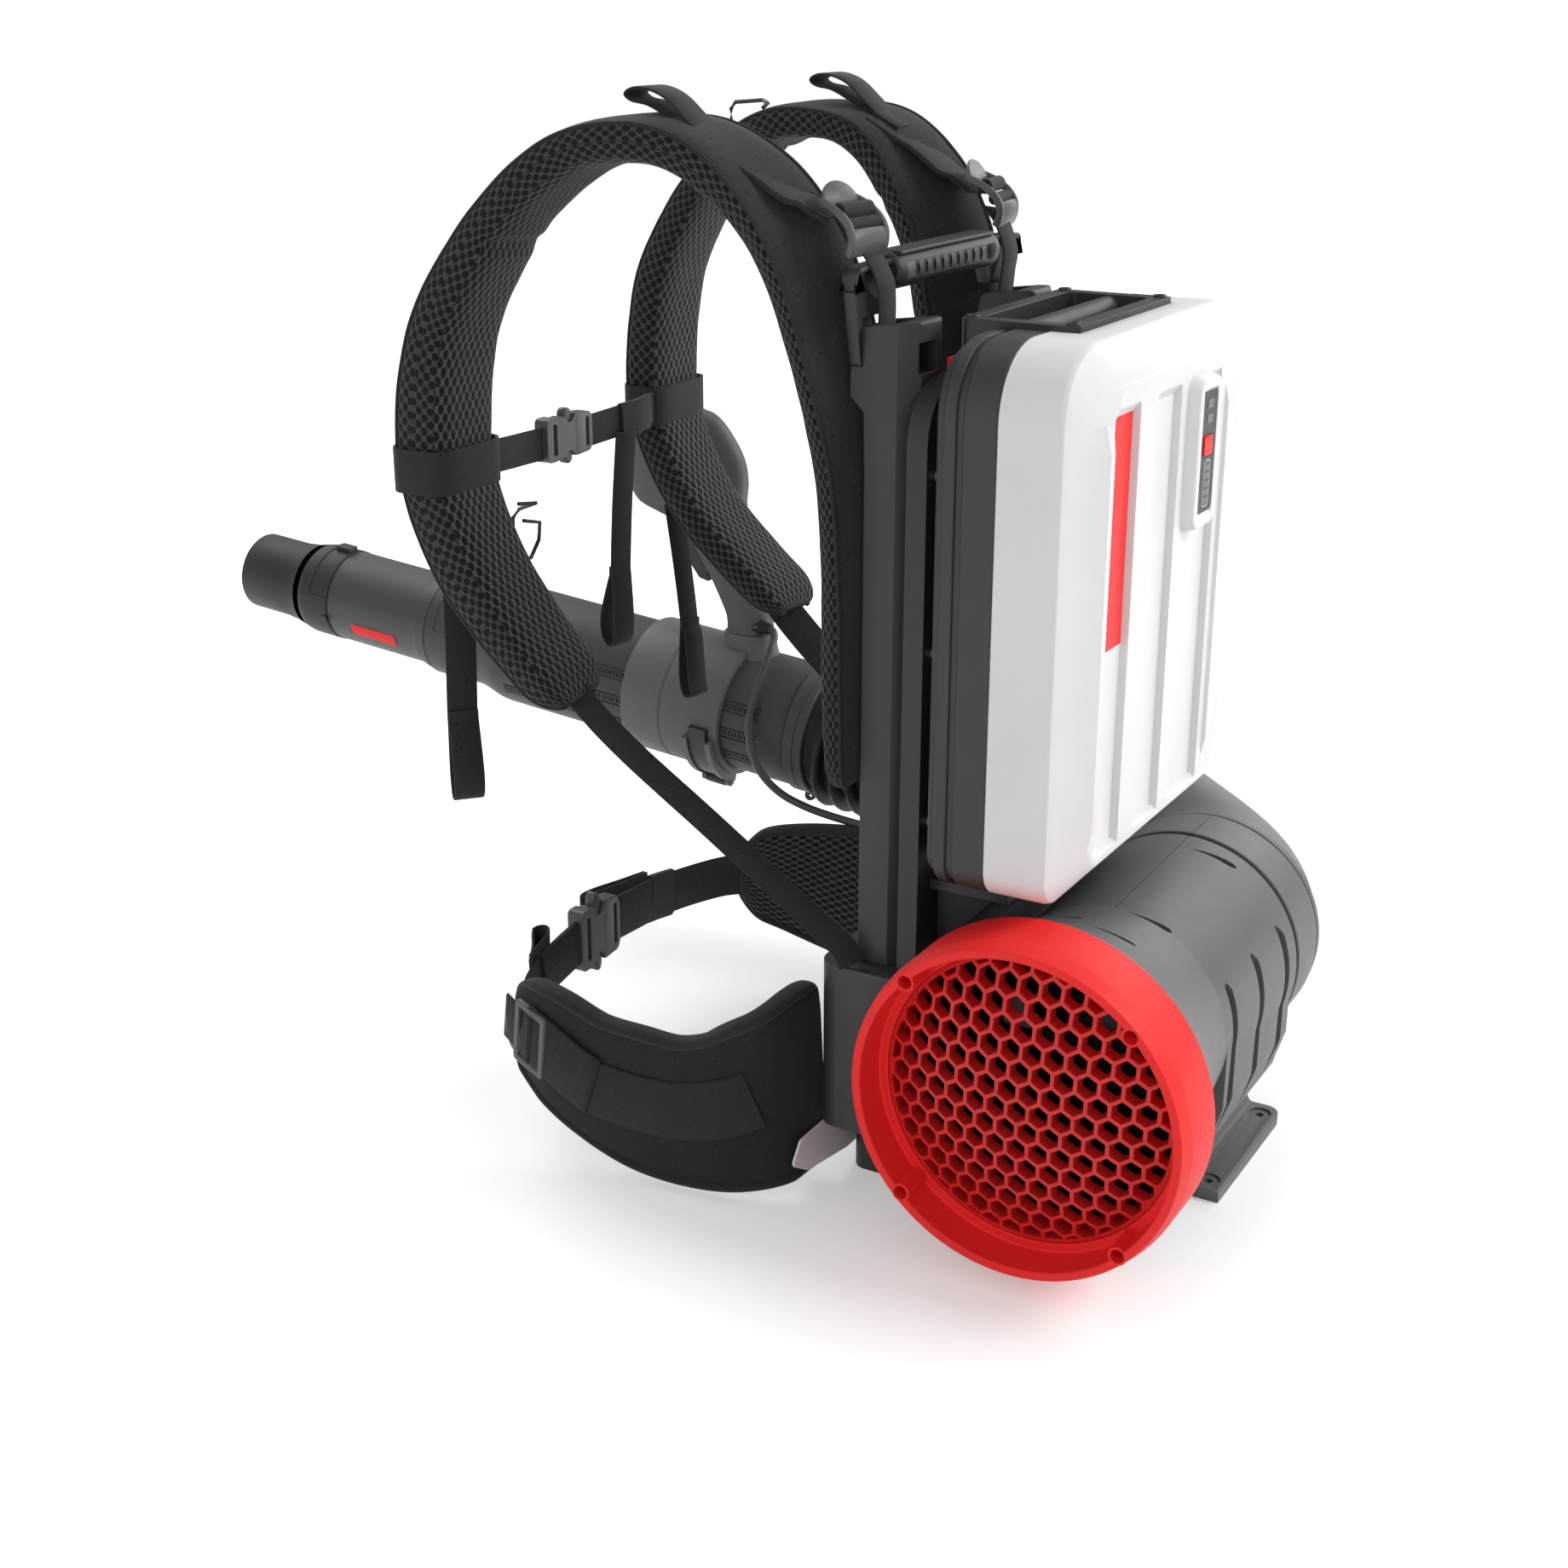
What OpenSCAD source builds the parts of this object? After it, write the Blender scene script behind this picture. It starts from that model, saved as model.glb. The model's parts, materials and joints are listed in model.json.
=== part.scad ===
// Backpack leaf blower: battery pack, back frame with harness, fan unit and turning blower tube.
// X is the wearer's right, Y the way the wearer faces, Z is up. The origin is on the ground under the fan axis.

/* [Fan unit] */
// Height of the fan axis above the ground
fan_z = 136; // [130:1:150]
// Radius of the air duct behind the inlet cone
duct_r = 84; // [80:0.5:86]
// Outer radius of the barrel at its widest end, under the inlet ring
barrel_inlet_r = 118; // [112:1:120]
// Outer radius of the barrel at its waist
barrel_waist_r = 88; // [88:0.5:92]
// Outer radius of the outlet collar
barrel_outlet_r = 91.5; // [90:0.5:94]
// Distance of the barrel's inlet end left of the frame's middle
barrel_inlet_x = 133; // [125:1:140]
// Distance of the waist left of the frame's middle
barrel_waist_x = 15; // [5:1:25]
// Distance of the collar's start right of the frame's middle
collar_x = 138; // [130:1:145]
// Width of the outlet collar
collar_w = 50; // [45:1:55]
// Thickness of the barrel's inlet wall
barrel_wall = 3; // [2.5:0.5:4]
// Depth of the inlet ring along the axis
ring_depth = 55; // [50:1:60]
// How far the inlet ring's rim stands out round the barrel
ring_overhang = 4; // [3.5:0.5:6]
// Width of the ring's wall between its rim and its opening
ring_lip = 9; // [8.5:0.5:10]
// Depth of the step that the grille sits in, behind the ring's front face
ring_step = 28; // [26:1:30]
// Diameter of the sockets that the ring screws sit in
ring_socket_d = 10; // [9:0.5:10.5]
// Thickness of the honeycomb grille
grille_t = 11; // [8:1:13]
// How far the grille's middle bulges out in front of its edge
grille_rise = 20; // [12:1:24]
// Width of one honeycomb cell, wall included
cell_w = 15.6; // [12:0.2:20]
// Height of one honeycomb cell, wall included
cell_h = 19; // [16:0.5:24]
// Wall between two honeycomb cells
cell_wall = 2.6; // [1.5:0.1:4]
// Number of impeller blades
blade_count = 9; // [5:1:12]
// Number of fixed guide vanes
vane_count = 11; // [7:1:13]
// Radius of the motor shaft
shaft_r = 5; // [4:0.25:6]

/* [Foot] */
// Length of the rear foot along X
foot_w = 146; // [140:1:160]
// Distance of the foot's rear edge behind the fan axis
foot_rear = 86; // [80:1:90]
// Thickness of the foot's flange
foot_t = 9; // [7:1:12]
// Distance between the two screw holes of the foot
foot_hole_pitch = 116; // [110:1:120]
// Diameter of the foot's screw holes
foot_hole_d = 6.5; // [5:0.1:8]

/* [Elbow and bellows] */
// Outer radius of the elbow where it meets the collar
elbow_in_r = 88; // [87:0.5:89]
// Outer radius of the elbow's outlet
elbow_out_r = 62; // [60:0.5:63]
// Wall of the elbow
elbow_wall = 3.5; // [3:0.5:4.5]
// Upward turn of the elbow's outlet in degrees
elbow_pitch = 30; // [26:1:32]
// Outer radius of the bellows' ribs
rib_r = 59.5; // [58:0.5:60]
// Outer radius of the bellows between two ribs
valley_r = 53; // [52:0.5:55]
// Radius of the bellows' bore
bellows_bore_r = 50.5; // [50:0.25:51]
// Number of ribs on the bellows
rib_count = 18; // [14:1:20]

/* [Blower tube] */
// Distance of the tube axis right of the frame's middle
tube_x = 252; // [250:1:260]
// Height of the tube axis where it is measured, 500 mm ahead of the fan axis
tube_z = 222; // [218:1:226]
// Upward slope of the tube in degrees
tube_pitch = 5.26; // [4.5:0.01:6]
// Outer radius of the main tube
main_r = 56; // [54.5:0.5:56]
// Outer radius of the main tube's narrow front end
main_tip_r = 48.5; // [47.5:0.5:49]
// Length of the extension tube
extension_l = 159; // [140:1:180]
// Outer radius of the extension tube
extension_r = 44.5; // [43.5:0.5:45.5]
// Length of the nozzle
nozzle_l = 118; // [110:1:160]
// Outer radius of the nozzle's tip, where attachments push on
nozzle_tip_r = 38; // [36:0.5:39]
// Wall of the tubes
tube_wall = 2.5; // [2:0.25:3]
// Radial clearance of the bayonet joints
tube_clear = 0.4; // [0.3:0.05:0.5]

/* [Control handle] */
// Length of the sleeve that slides on the main tube
sleeve_l = 104; // [95:1:110]
// Outer radius of the sleeve
sleeve_r = 62; // [61:0.5:63]
// Width of the grip
grip_w = 34; // [30:1:38]
// Width of the throttle trigger
trigger_w = 12; // [9:1:15]

/* [Battery] */
// Width of the battery
battery_w = 310; // [300:1:312]
// Height of the battery's underside above the ground
battery_z = 271; // [268:1:275]
// Height of the battery
battery_h = 363; // [355:1:365]
// Depth of the light rear shell behind its rim
battery_bulge = 15; // [12:1:18]
// Place of the seam between the rear and the front shell
battery_seam_y = 41; // [36:1:44]
// Place of the front shell's front face
battery_front_y = 86; // [84:0.5:86]
// Radius of the battery's top corners
battery_top_r = 48; // [40:1:55]
// Radius of the battery's bottom corners
battery_low_r = 22; // [15:1:30]
// Wall of the battery's shells
battery_wall = 3; // [2.5:0.5:3.5]
// Width of the tray in the battery's top
tray_w = 162; // [150:1:170]
// Diameter of the carry bar in the tray
carry_bar_d = 18; // [14:1:20]

/* [Back frame] */
// Distance between the outer faces of the two rails
rail_span = 224; // [218:1:228]
// Width of one rail
rail_w = 42; // [38:1:44]
// Height of the rails' tops above the ground
rail_top_z = 637; // [630:1:645]
// Place of the rails' front face
rail_front_y = 156; // [154:0.5:156]
// Width of the base housing
base_w = 260; // [256:1:270]
// Place of the base housing's front face
base_front_y = 180; // [176:1:182]
// Height of the base housing's top above the ground
base_top_z = 185; // [180:1:190]
// Height of the front feet
foot_block_h = 56; // [50:1:60]
// Width of the dock plate
dock_w = 244; // [236:1:250]
// Height of the dock plate's top above the ground
dock_top_z = 600; // [590:1:605]
// Diameter of the carry handle's grip
handle_d = 25; // [22:0.5:28]
// Height of the carry handle's axis above the ground
handle_z = 663; // [660:1:675]

/* [Harness] */
// Width of a shoulder pad
pad_w = 72; // [66:1:74]
// Width of the chest and lifter webbing
webbing_w = 23; // [20:1:25]
// Width of the waist webbing
waist_webbing_w = 38; // [32:1:40]
// Thickness of all webbing
webbing_t = 2; // [1.5:0.1:2.4]
// Height of a hip pad at its back end
hip_pad_h = 118; // [100:1:122]
// Thickness of a hip pad
hip_pad_t = 17; // [14:1:18]

/* [Hidden] */

black = [0.13, 0.13, 0.14];
dark = [0.2, 0.2, 0.21];
grey = [0.32, 0.32, 0.33];
red = [0.85, 0.12, 0.1];
white = [0.93, 0.93, 0.94];
steel = [0.7, 0.71, 0.73];

gap = 0.4;        // clearance between pieces that turn or slide on each other
fit = 0.1;        // clearance of pieces that are pushed together
over = 1;         // how far a cutter runs past the face that it cuts
round_fn = 96;    // sides of a drawn circle

// Fan places along X
inlet_x = -barrel_inlet_x;
waist_x = -barrel_waist_x;
barrel_end_x = collar_x + collar_w;
ring_face_x = inlet_x - ring_depth;
ring_r = barrel_inlet_r + ring_overhang;
ring_mouth_r = ring_r - ring_lip;
ring_screw_half = ring_mouth_r * cos(45);
ring_step_x = ring_face_x + ring_step;
ring_seat_r = ring_mouth_r - 7;
grille_edge_x = ring_step_x + 2;
// Start of the barrel's first curved slot, and the distance to the next
fin_x = -5;
fin_pitch = 54.5;
impeller_x = 0;
impeller_l = 40;
stator_x = 52;
stator_l = 74;
cup_r = 42;
cup_wall = 2.5;
bearing_r = 11;
bearing_w = 8;
bearing_clear = 0.05;
rotor_r = 25;
impeller_r = duct_r - 2;
hub_r = cup_r;

// Elbow and bellows places
spigot_l = 20;
spigot_r = duct_r - gap;
elbow_x = barrel_end_x + gap;
elbow_lean = 2;
elbow_dir = [0, cos(elbow_pitch), sin(elbow_pitch)];
elbow_pivot = [elbow_x, 0, fan_z] + elbow_dir * (elbow_in_r + elbow_lean);
elbow_end = elbow_pivot + [elbow_out_r + elbow_lean, 0, 0];
elbow_tail = 16;
tube_dir = [0, cos(tube_pitch), sin(tube_pitch)];
tube_mid = [tube_x, 500, tube_z];
tube_rear = -102;
cuff_w = 19;
cuff_t = 3;
bellows_start = elbow_end + elbow_dir * elbow_tail;
bellows_end = tube_mid + tube_dir * (tube_rear - 2);

// Tube places along its own axis, from the middle point
flare_start = 216;
flare_end = 251;
main_end = 269;
socket_l = 38;
extension_end = main_end + extension_l;
nozzle_end = extension_end + nozzle_l;
extension_collar_r = main_tip_r + 1;
nozzle_collar_r = extension_r + 0.8;
rack_w = 7;

// Handle places
sleeve_rear = -38;
grip_x = tube_x;
lever_pin = [grip_x, 531, 396];
cruise_pin = [grip_x - grip_w / 2, 540, 440];
grip_z = 292;
switch_y = 512;

// Battery places
battery_rear_y = -18;
battery_top_z = battery_z + battery_h;
plateau_inset = 34;
plateau_top_inset = 28;
rim_y = battery_rear_y + battery_bulge;
tongue_w = 206;
tongue_front_y = 103;
tray_y = 21;
tray_depth = 84;
tray_low = 606;
tray_top = 638;
display_x = 36;
display_z = 545;
display_w = 42;
display_h = 108;
display_proud = 9;

// Frame places
rail_in_x = rail_span / 2 - rail_w;
rail_rear_y = 120;
dock_rear_y = 104.5;
dock_front_y = 120;
base_rear_y = 100;
base_wall = 4;
handle_y = 161;

// Shoulder pad middle line for the right side: x, y, z and thickness
pad_route = [
    [95, 169, 314, 16], [95, 170, 345, 22], [95, 170, 400, 23], [95, 170, 460, 23], [97, 173, 525, 22],
    [99, 180, 570, 21], [103, 190, 613, 21], [109, 205, 664, 23], [115, 228, 707, 24], [121, 262, 737, 24],
    [125, 300, 748, 24], [128, 348, 742, 25], [132, 386, 722, 26], [136, 419, 693, 24], [140, 446, 657, 28],
    [143, 466, 622, 31], [146, 477, 585, 33], [147, 482, 545, 34], [147, 481, 510, 34], [147, 467, 466, 32],
    [146, 445, 427, 29], [145, 412, 393, 27], [145, 384, 369, 25], [144, 367, 356, 15]
];

// Hip pad middle line for the right side: x, y, z and height
hip_route = [
    [104, 192, 80, 0.96], [132, 193, 79, 1], [158, 203, 77, 1], [174, 228, 74, 1.02], [181, 262, 73, 1.03],
    [183, 300, 75, 1.02], [182, 340, 80, 0.95], [178, 378, 88, 0.82], [170, 406, 94, 0.66],
    [163, 422, 97, 0.42]
];

// Control cable from the grip to the base housing
cable_r = 3.5;
cable_route = [
    [grip_x - 12, 454, 301], [grip_x - 12, 438, 301], [235, 429, 299], [224, 424, 292], [209, 424, 274],
    [195, 426, 252], [187, 427, 228],
    [184, 422, 205], [185, 412, 185], [189, 395, 169], [192, 372, 160], [190, 345, 157], [184, 310, 157],
    [172, 268, 159], [157, 225, 161], [147, 190, 162], [138, 172, 162], [131, 168, 162]
];

// ---------- helpers ----------

function unit(v) = v / norm(v);
function mix(a, b, t) = a + (b - a) * t;
function bezier(p, t) =
    p[0] * pow(1 - t, 3) + p[1] * 3 * t * pow(1 - t, 2) + p[2] * 3 * t * t * (1 - t) + p[3] * pow(t, 3);

// One stretch of a smooth curve through b and c
function bow(a, b, c, d, t) =
    0.5 * (2 * b + (c - a) * t + (2 * a - 5 * b + 4 * c - d) * t * t + (3 * b - 3 * c + d - a) * pow(t, 3));

// A smooth curve through every point, with some steps between neighbours
function smooth(points, steps) = [
    for (i = [0:len(points) - 2])
        for (k = [0:steps - 1])
            bow(points[max(i - 1, 0)], points[i], points[i + 1], points[min(i + 2, len(points) - 1)],
                k / steps),
    points[len(points) - 1]
];

function xyz(p) = [p[0], p[1], p[2]];
function heading(points, i) =
    unit(xyz(points[min(i + 1, len(points) - 1)]) - xyz(points[max(i - 1, 0)]));

// Outline with rounded corners, each corner given as [x, y, radius]
function corner(before, point, after, steps) =
    let (
        p = [point[0], point[1]],
        a = unit([before[0], before[1]] - p),
        b = unit([after[0], after[1]] - p),
        half = acos(a * b) / 2,
        c = p + unit(a + b) * point[2] / sin(half),
        from = p + a * point[2] / tan(half) - c,
        to = p + b * point[2] / tan(half) - c,
        turn = 180 - 2 * half
    )
    point[2] == 0 ? [p] : [for (k = [0:steps]) c + (from * sin(turn * (1 - k / steps)) + to * sin(turn * k / steps)) / sin(turn)];
function rounded(points, steps = 6) = [
    for (i = [0:len(points) - 1])
        each corner(points[(i + len(points) - 1) % len(points)], points[i],
            points[(i + 1) % len(points)], steps)
];

// Four cornered outline between two corners, with top and bottom radius
function plate_outline(x0, y0, x1, y1, low_r, top_r) =
    rounded([[x0, y0, low_r], [x1, y0, low_r], [x1, y1, top_r], [x0, y1, top_r]]);

// Ring of points round a centre: the first axis is u, the second is v
function ring_points(c, u, v, a, b, sides, square = 1) = [
    for (k = [0:sides - 1])
        let (t = 360 * (k + 0.5) / sides)
            c + u * a * sign(cos(t)) * pow(abs(cos(t)), square) + v * b * sign(sin(t)) * pow(abs(sin(t)),
                square)
];

// Closed skin over rings of points with flat ends
module skin(rings) {
    n = len(rings[0]);
    last = (len(rings) - 1) * n;
    sides = [
        for (i = [0:len(rings) - 2])
            for (j = [0:n - 1])
                let (k = (j + 1) % n)
                    each [[i * n + j, (i + 1) * n + j, (i + 1) * n + k],
                        [i * n + j, (i + 1) * n + k, i * n + k]]
    ];
    ends = [for (j = [1:n - 2]) each [[0, j, j + 1], [last, last + j + 1, last + j]]];
    polyhedron(points = [for (r = rings) each r], faces = concat(sides, ends));
}

// Closed skin over rings that run out along the outside and back along the inside
module skin_loop(rings) {
    n = len(rings[0]);
    m = len(rings);
    sides = [
        for (i = [0:m - 1])
            for (j = [0:n - 1])
                let (k = (j + 1) % n, o = (i + 1) % m)
                    each [[i * n + j, o * n + j, o * n + k], [i * n + j, o * n + k, i * n + k]]
    ];
    polyhedron(points = [for (r = rings) each r], faces = sides);
}

// Round bar along a route
module round_bar(route, r, sides = 8) {
    rings = [
        for (i = [0:len(route) - 1])
            let (
                d = i == 0 ? unit(route[1] - route[0]) :
                    i == len(route) - 1 ? unit(route[i] - route[i - 1]) : heading(route, i),
                u = unit(cross(abs(d[2]) > 0.95 ? [1, 0, 0] : [0, 0, 1], d)),
                v = cross(d, u)
            )
            ring_points(route[i], u, v, r, r, sides)
    ];
    skin(rings);
}

// Flat strap along a route: across is the direction of its width
module strap(route, width, thick, across) {
    rings = [
        for (i = [0:len(route) - 1])
            let (
                d = heading(route, i),
                v = unit(cross(d, across)),
                u = unit(cross(v, d)),
                a = u * width / 2,
                b = v * thick / 2,
                c = route[i]
            )
            [c - a - b, c + a - b, c + a + b, c - a + b]
    ];
    skin(rings);
}

// Flat outline in the XZ plane, from one Y to another
module slab_y(outline, y0, y1) {
    translate([0, y1, 0]) rotate([90, 0, 0]) linear_extrude(y1 - y0) polygon(outline);
}

// Flat outline in the YZ plane, from one X to another
module slab_x(outline, x0, x1) {
    translate([x0, 0, 0]) rotate([90, 0, 90]) linear_extrude(x1 - x0) polygon(outline);
}

// Flat outline in the XY plane, from one Z to another
module slab_z(outline, z0, z1) {
    translate([0, 0, z0]) linear_extrude(z1 - z0) polygon(outline);
}

module box(low, high) {
    translate(low) cube(high - low);
}

// Turns a solid drawn about Z so that it lies about the fan axis
module on_fan_axis() {
    translate([0, 0, fan_z]) rotate([0, 90, 0]) children();
}

// Puts a solid drawn about Z on the blower tube's axis: local Y then points down
module on_tube_axis() {
    translate(tube_mid) rotate([tube_pitch - 90, 0, 0]) children();
}

module tube_ring(r_out, r_in, z0, z1) {
    rotate_extrude($fn = round_fn) polygon([[r_in, z0], [r_out, z0], [r_out, z1], [r_in, z1]]);
}

module both_sides() {
    children();
    mirror([1, 0, 0]) children();
}

// ---------- fan unit ----------

// Outer profile of the barrel as [radius, x]
function barrel_profile(grow) = [
    [0, inlet_x], [barrel_inlet_r + grow, inlet_x],
    [barrel_inlet_r + grow, inlet_x + 6],
    for (t = [0.25:0.25:0.75])
        [mix(barrel_inlet_r, barrel_waist_r, t) - 18 * t * (1 - t) + grow, mix(inlet_x, waist_x, t)],
    [barrel_waist_r + grow, waist_x], [barrel_outlet_r + grow, collar_x - 5],
    [barrel_outlet_r - 2.5 + grow, collar_x - 5], [barrel_outlet_r - 2.5 + grow, collar_x],
    [barrel_outlet_r + grow, collar_x], [barrel_outlet_r + grow, barrel_end_x - 7],
    [barrel_outlet_r - 1.5 + grow, barrel_end_x - 3], [barrel_outlet_r - 4 + grow, barrel_end_x],
    [0, barrel_end_x]
];

module barrel_outside(grow = 0) {
    on_fan_axis() rotate_extrude($fn = round_fn) polygon(barrel_profile(grow));
}

module barrel_bore() {
    on_fan_axis() rotate_extrude($fn = round_fn) polygon([
        [0, inlet_x - over], [barrel_inlet_r - barrel_wall, inlet_x - over],
            [barrel_inlet_r - barrel_wall, inlet_x + 5.5],
        [mix(barrel_inlet_r, barrel_waist_r, 0.5) - 5 - barrel_wall, mix(inlet_x, waist_x, 0.5)],
        [duct_r, waist_x], [duct_r, barrel_end_x + over], [0, barrel_end_x + over]
    ]);
}

// Deep curved slots across the barrel's rear side
module barrel_fins() {
    fin_from = 238;
    fin_sweep = 65;
    floor_r = duct_r + 2.5;
    for (k = [0:2])
        on_fan_axis() translate([0, 0, fin_x + k * fin_pitch]) rotate([0, 0, fin_from])
            rotate_extrude(angle = fin_sweep, $fn = round_fn)
                polygon([[floor_r, 0], [barrel_outlet_r + over, -2], [barrel_outlet_r + over, 13],
                    [floor_r, 9]]);
}

foot_lugs = [18, 108];
lug_w = 20;
foot_top_z = fan_z - barrel_outlet_r - 5;

module housing_half(front) {
    low = front ? 0 : -ring_r - over;
    high = front ? ring_r + over : 0;
    intersection() {
        difference() {
            union() {
                barrel_outside();
                for (x = foot_lugs)
                    box([x, -44, foot_top_z], [x + lug_w, 34, fan_z - duct_r / 2]);
                for (x = [-20, 60])
                    box([x, duct_r / 2, fan_z - 24], [x + 30, base_rear_y, fan_z + 4]);
            }
            barrel_bore();
            if (!front)
                barrel_fins();
        }
        box([inlet_x - over, low, 0], [barrel_end_x + over, high, 2 * fan_z]);
    }
}

module housing_rear_half() {
    color(grey) housing_half(false);
}

module housing_front_half() {
    color(grey) housing_half(true);
}

// Turns a shape to each of the four ring screws
module at_ring_screws() {
    for (y = [-1, 1])
        for (z = [-1, 1])
            translate([0, y * ring_screw_half, fan_z + z * ring_screw_half]) rotate([0, 90, 0]) children();
}

module intake_ring() {
    spigot_out_r = barrel_inlet_r - barrel_wall - fit;
    ledge_x = grille_edge_x + grille_t + fit;
    boss_r = ring_socket_d / 2 + 1.5;
    color(red) difference() {
        union() {
            on_fan_axis() rotate_extrude($fn = round_fn) polygon([
                [ring_mouth_r, ring_face_x], [ring_r - 3, ring_face_x], [ring_r, ring_face_x + 13],
                [ring_r, inlet_x], [spigot_out_r, inlet_x], [spigot_out_r, inlet_x + 5],
                [ring_seat_r - 4, inlet_x + 5], [ring_seat_r - 4, ledge_x], [ring_seat_r, ledge_x],
                [ring_seat_r, ring_step_x], [ring_mouth_r - 1, ring_step_x]
            ]);
            at_ring_screws() translate([0, 0, ring_face_x + 0.5])
                cylinder(r = boss_r, h = ring_depth - 4.5, $fn = 48);
        }
        at_ring_screws() {
            translate([0, 0, ring_face_x - over]) cylinder(d = ring_socket_d, h = 22 + over, $fn = 48);
            translate([0, 0, ring_face_x]) cylinder(d = 4.6, h = ring_depth + over, $fn = 32);
        }
    }
}

// Honeycomb that bulges out towards the front, like a shallow dome
module intake_grille() {
    grille_r = ring_seat_r - fit;
    rim_w = 3;
    columns = floor(grille_r / cell_w);
    rows = floor(grille_r / (0.75 * cell_h));
    half_w = (cell_w - cell_wall) / 2;
    half_h = (cell_h - cell_wall * 1.15) / 2;
    dome_r = (grille_r * grille_r + grille_rise * grille_rise) / (2 * grille_rise);
    front_x = grille_edge_x - grille_rise;
    color(red) on_fan_axis() intersection() {
        translate([0, 0, front_x]) linear_extrude(grille_rise + grille_t) difference() {
            circle(r = grille_r, $fn = round_fn);
            for (row = [-rows:rows])
                for (column = [-columns - 1:columns + 1]) {
                    y = (column + (abs(row) % 2) / 2) * cell_w;
                    z = row * cell_h * 0.75;
                    if (norm([abs(y) + half_w, abs(z) + half_h]) < grille_r + 2)
                        intersection() {
                            circle(r = grille_r - rim_w, $fn = round_fn);
                            translate([z, y]) polygon([
                                [half_h, 0], [half_h / 2, half_w], [-half_h / 2, half_w],
                                [-half_h, 0], [-half_h / 2, -half_w], [half_h / 2, -half_w]
                            ]);
                        }
                }
        }
        difference() {
            translate([0, 0, front_x + dome_r]) sphere(r = dome_r, $fn = round_fn);
            translate([0, 0, front_x + dome_r + grille_t]) sphere(r = dome_r, $fn = round_fn);
        }
    }
}

module ring_screws() {
    color(steel) at_ring_screws() translate([0, 0, ring_face_x + 22]) difference() {
        union() {
            translate([0, 0, -3]) cylinder(r = 3.8, h = 3, $fn = 32);
            cylinder(r = 2.1, h = ring_depth - 23, $fn = 32);
        }
        translate([0, 0, -3 - over]) cylinder(r = 1.8, h = 1.8 + over, $fn = 6);
    }
}

module rear_foot() {
    hole_y = -foot_rear + 13;
    color(dark) difference() {
        union() {
            slab_x(rounded([
                [-foot_rear, 0, 0], [52, 0, 0], [52, foot_t, 2], [30, foot_top_z, 3],
                [-44, foot_top_z, 3], [-foot_rear + 26, foot_t, 4], [-foot_rear, foot_t, 2]
            ]), 0, foot_w);
            box([-30, -40, 0], [0, 52, foot_t]);
        }
        for (x = [6:34:6 + 34 * 3])
            box([x + 3, -42, foot_t], [x + 29, 26, foot_top_z - 4]);
        for (x = [foot_w / 2 - foot_hole_pitch / 2, foot_w / 2 + foot_hole_pitch / 2])
            translate([x, hole_y, -over]) cylinder(d = foot_hole_d, h = foot_t + 2 * over, $fn = 32);
    }
}

module stator_duct() {
    outer = duct_r - fit;
    color(dark) on_fan_axis() translate([0, 0, stator_x]) union() {
        tube_ring(outer, outer - 2.5, 0, stator_l);
        tube_ring(cup_r, cup_r - cup_wall, 0, stator_l);
        tube_ring(cup_r, bearing_r + fit, 0, 5);
        tube_ring(bearing_r + fit + 3, bearing_r + fit, 0, 5 + bearing_w);
        tube_ring(cup_r, bearing_r + fit, stator_l - 5, stator_l);
        tube_ring(bearing_r + fit + 3, bearing_r + fit, stator_l - 5 - bearing_w, stator_l);
        for (a = [0:360 / vane_count:359])
            rotate([0, 0, a]) translate([cup_r - 1, -1.25, 8])
                cube([outer - cup_r - 0.5, 2.5, stator_l - 20]);
    }
}

module motor_bearings() {
    color(steel) on_fan_axis() for (x = [stator_x + 5, stator_x + stator_l - 5 - bearing_w])
        translate([0, 0, x]) tube_ring(bearing_r, shaft_r + bearing_clear, 0, bearing_w);
}

module motor_stator() {
    color([0.55, 0.35, 0.2]) on_fan_axis() translate([0, 0, stator_x + 16])
        tube_ring(cup_r - cup_wall - fit, rotor_r + 0.6, 0, stator_l - 32);
}

module motor_rotor() {
    color(steel) on_fan_axis() {
        translate([0, 0, impeller_x + 4])
            cylinder(r = shaft_r, h = stator_x + stator_l - impeller_x - 4, $fn = round_fn);
        translate([0, 0, stator_x + 18]) cylinder(r = rotor_r, h = stator_l - 36, $fn = round_fn);
    }
}

module impeller() {
    nose = 30;
    color(black) on_fan_axis() difference() {
        union() {
            rotate_extrude($fn = round_fn) polygon([
                [0, impeller_x - nose], [14, impeller_x - nose + 5], [27, impeller_x - nose + 15],
                [36, impeller_x - 4], [hub_r, impeller_x + 12], [hub_r, impeller_x + impeller_l + 6],
                [0, impeller_x + impeller_l + 6]
            ]);
            intersection() {
                for (a = [0:360 / blade_count:359])
                    rotate([0, 0, a]) translate([0, 0, impeller_x + 24]) rotate([52, 0, 0])
                        translate([hub_r - 12, -1.5, -27]) cube([impeller_r, 3, 54]);
                translate([0, 0, impeller_x]) cylinder(r = impeller_r, h = impeller_l, $fn = round_fn);
            }
        }
        translate([0, 0, impeller_x + 4]) cylinder(r = shaft_r + 0.02, h = impeller_l + 10, $fn = round_fn);
    }
}

// ---------- elbow and bellows ----------

elbow_steps = 12;
elbow_sides = 36;

// Ring of the elbow at a turn of 0 to 1 with a radius smaller by the inset
function elbow_ring(t, inset) =
    let (
        r = mix(elbow_in_r, elbow_out_r, t * (2 + 2 * t - 2 * t * t) / 2),
        out = -elbow_dir * cos(90 * t) + [1, 0, 0] * sin(90 * t),
        side = [0, -sin(elbow_pitch), cos(elbow_pitch)]
    )
    ring_points(elbow_pivot + out * (r + elbow_lean), side, out, r - inset, r - inset, elbow_sides);

function elbow_rings(inset) = [
    for (k = [0:elbow_steps]) elbow_ring(k / elbow_steps, inset),
    [for (p = elbow_ring(1, inset)) p + elbow_dir * elbow_tail]
];

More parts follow.
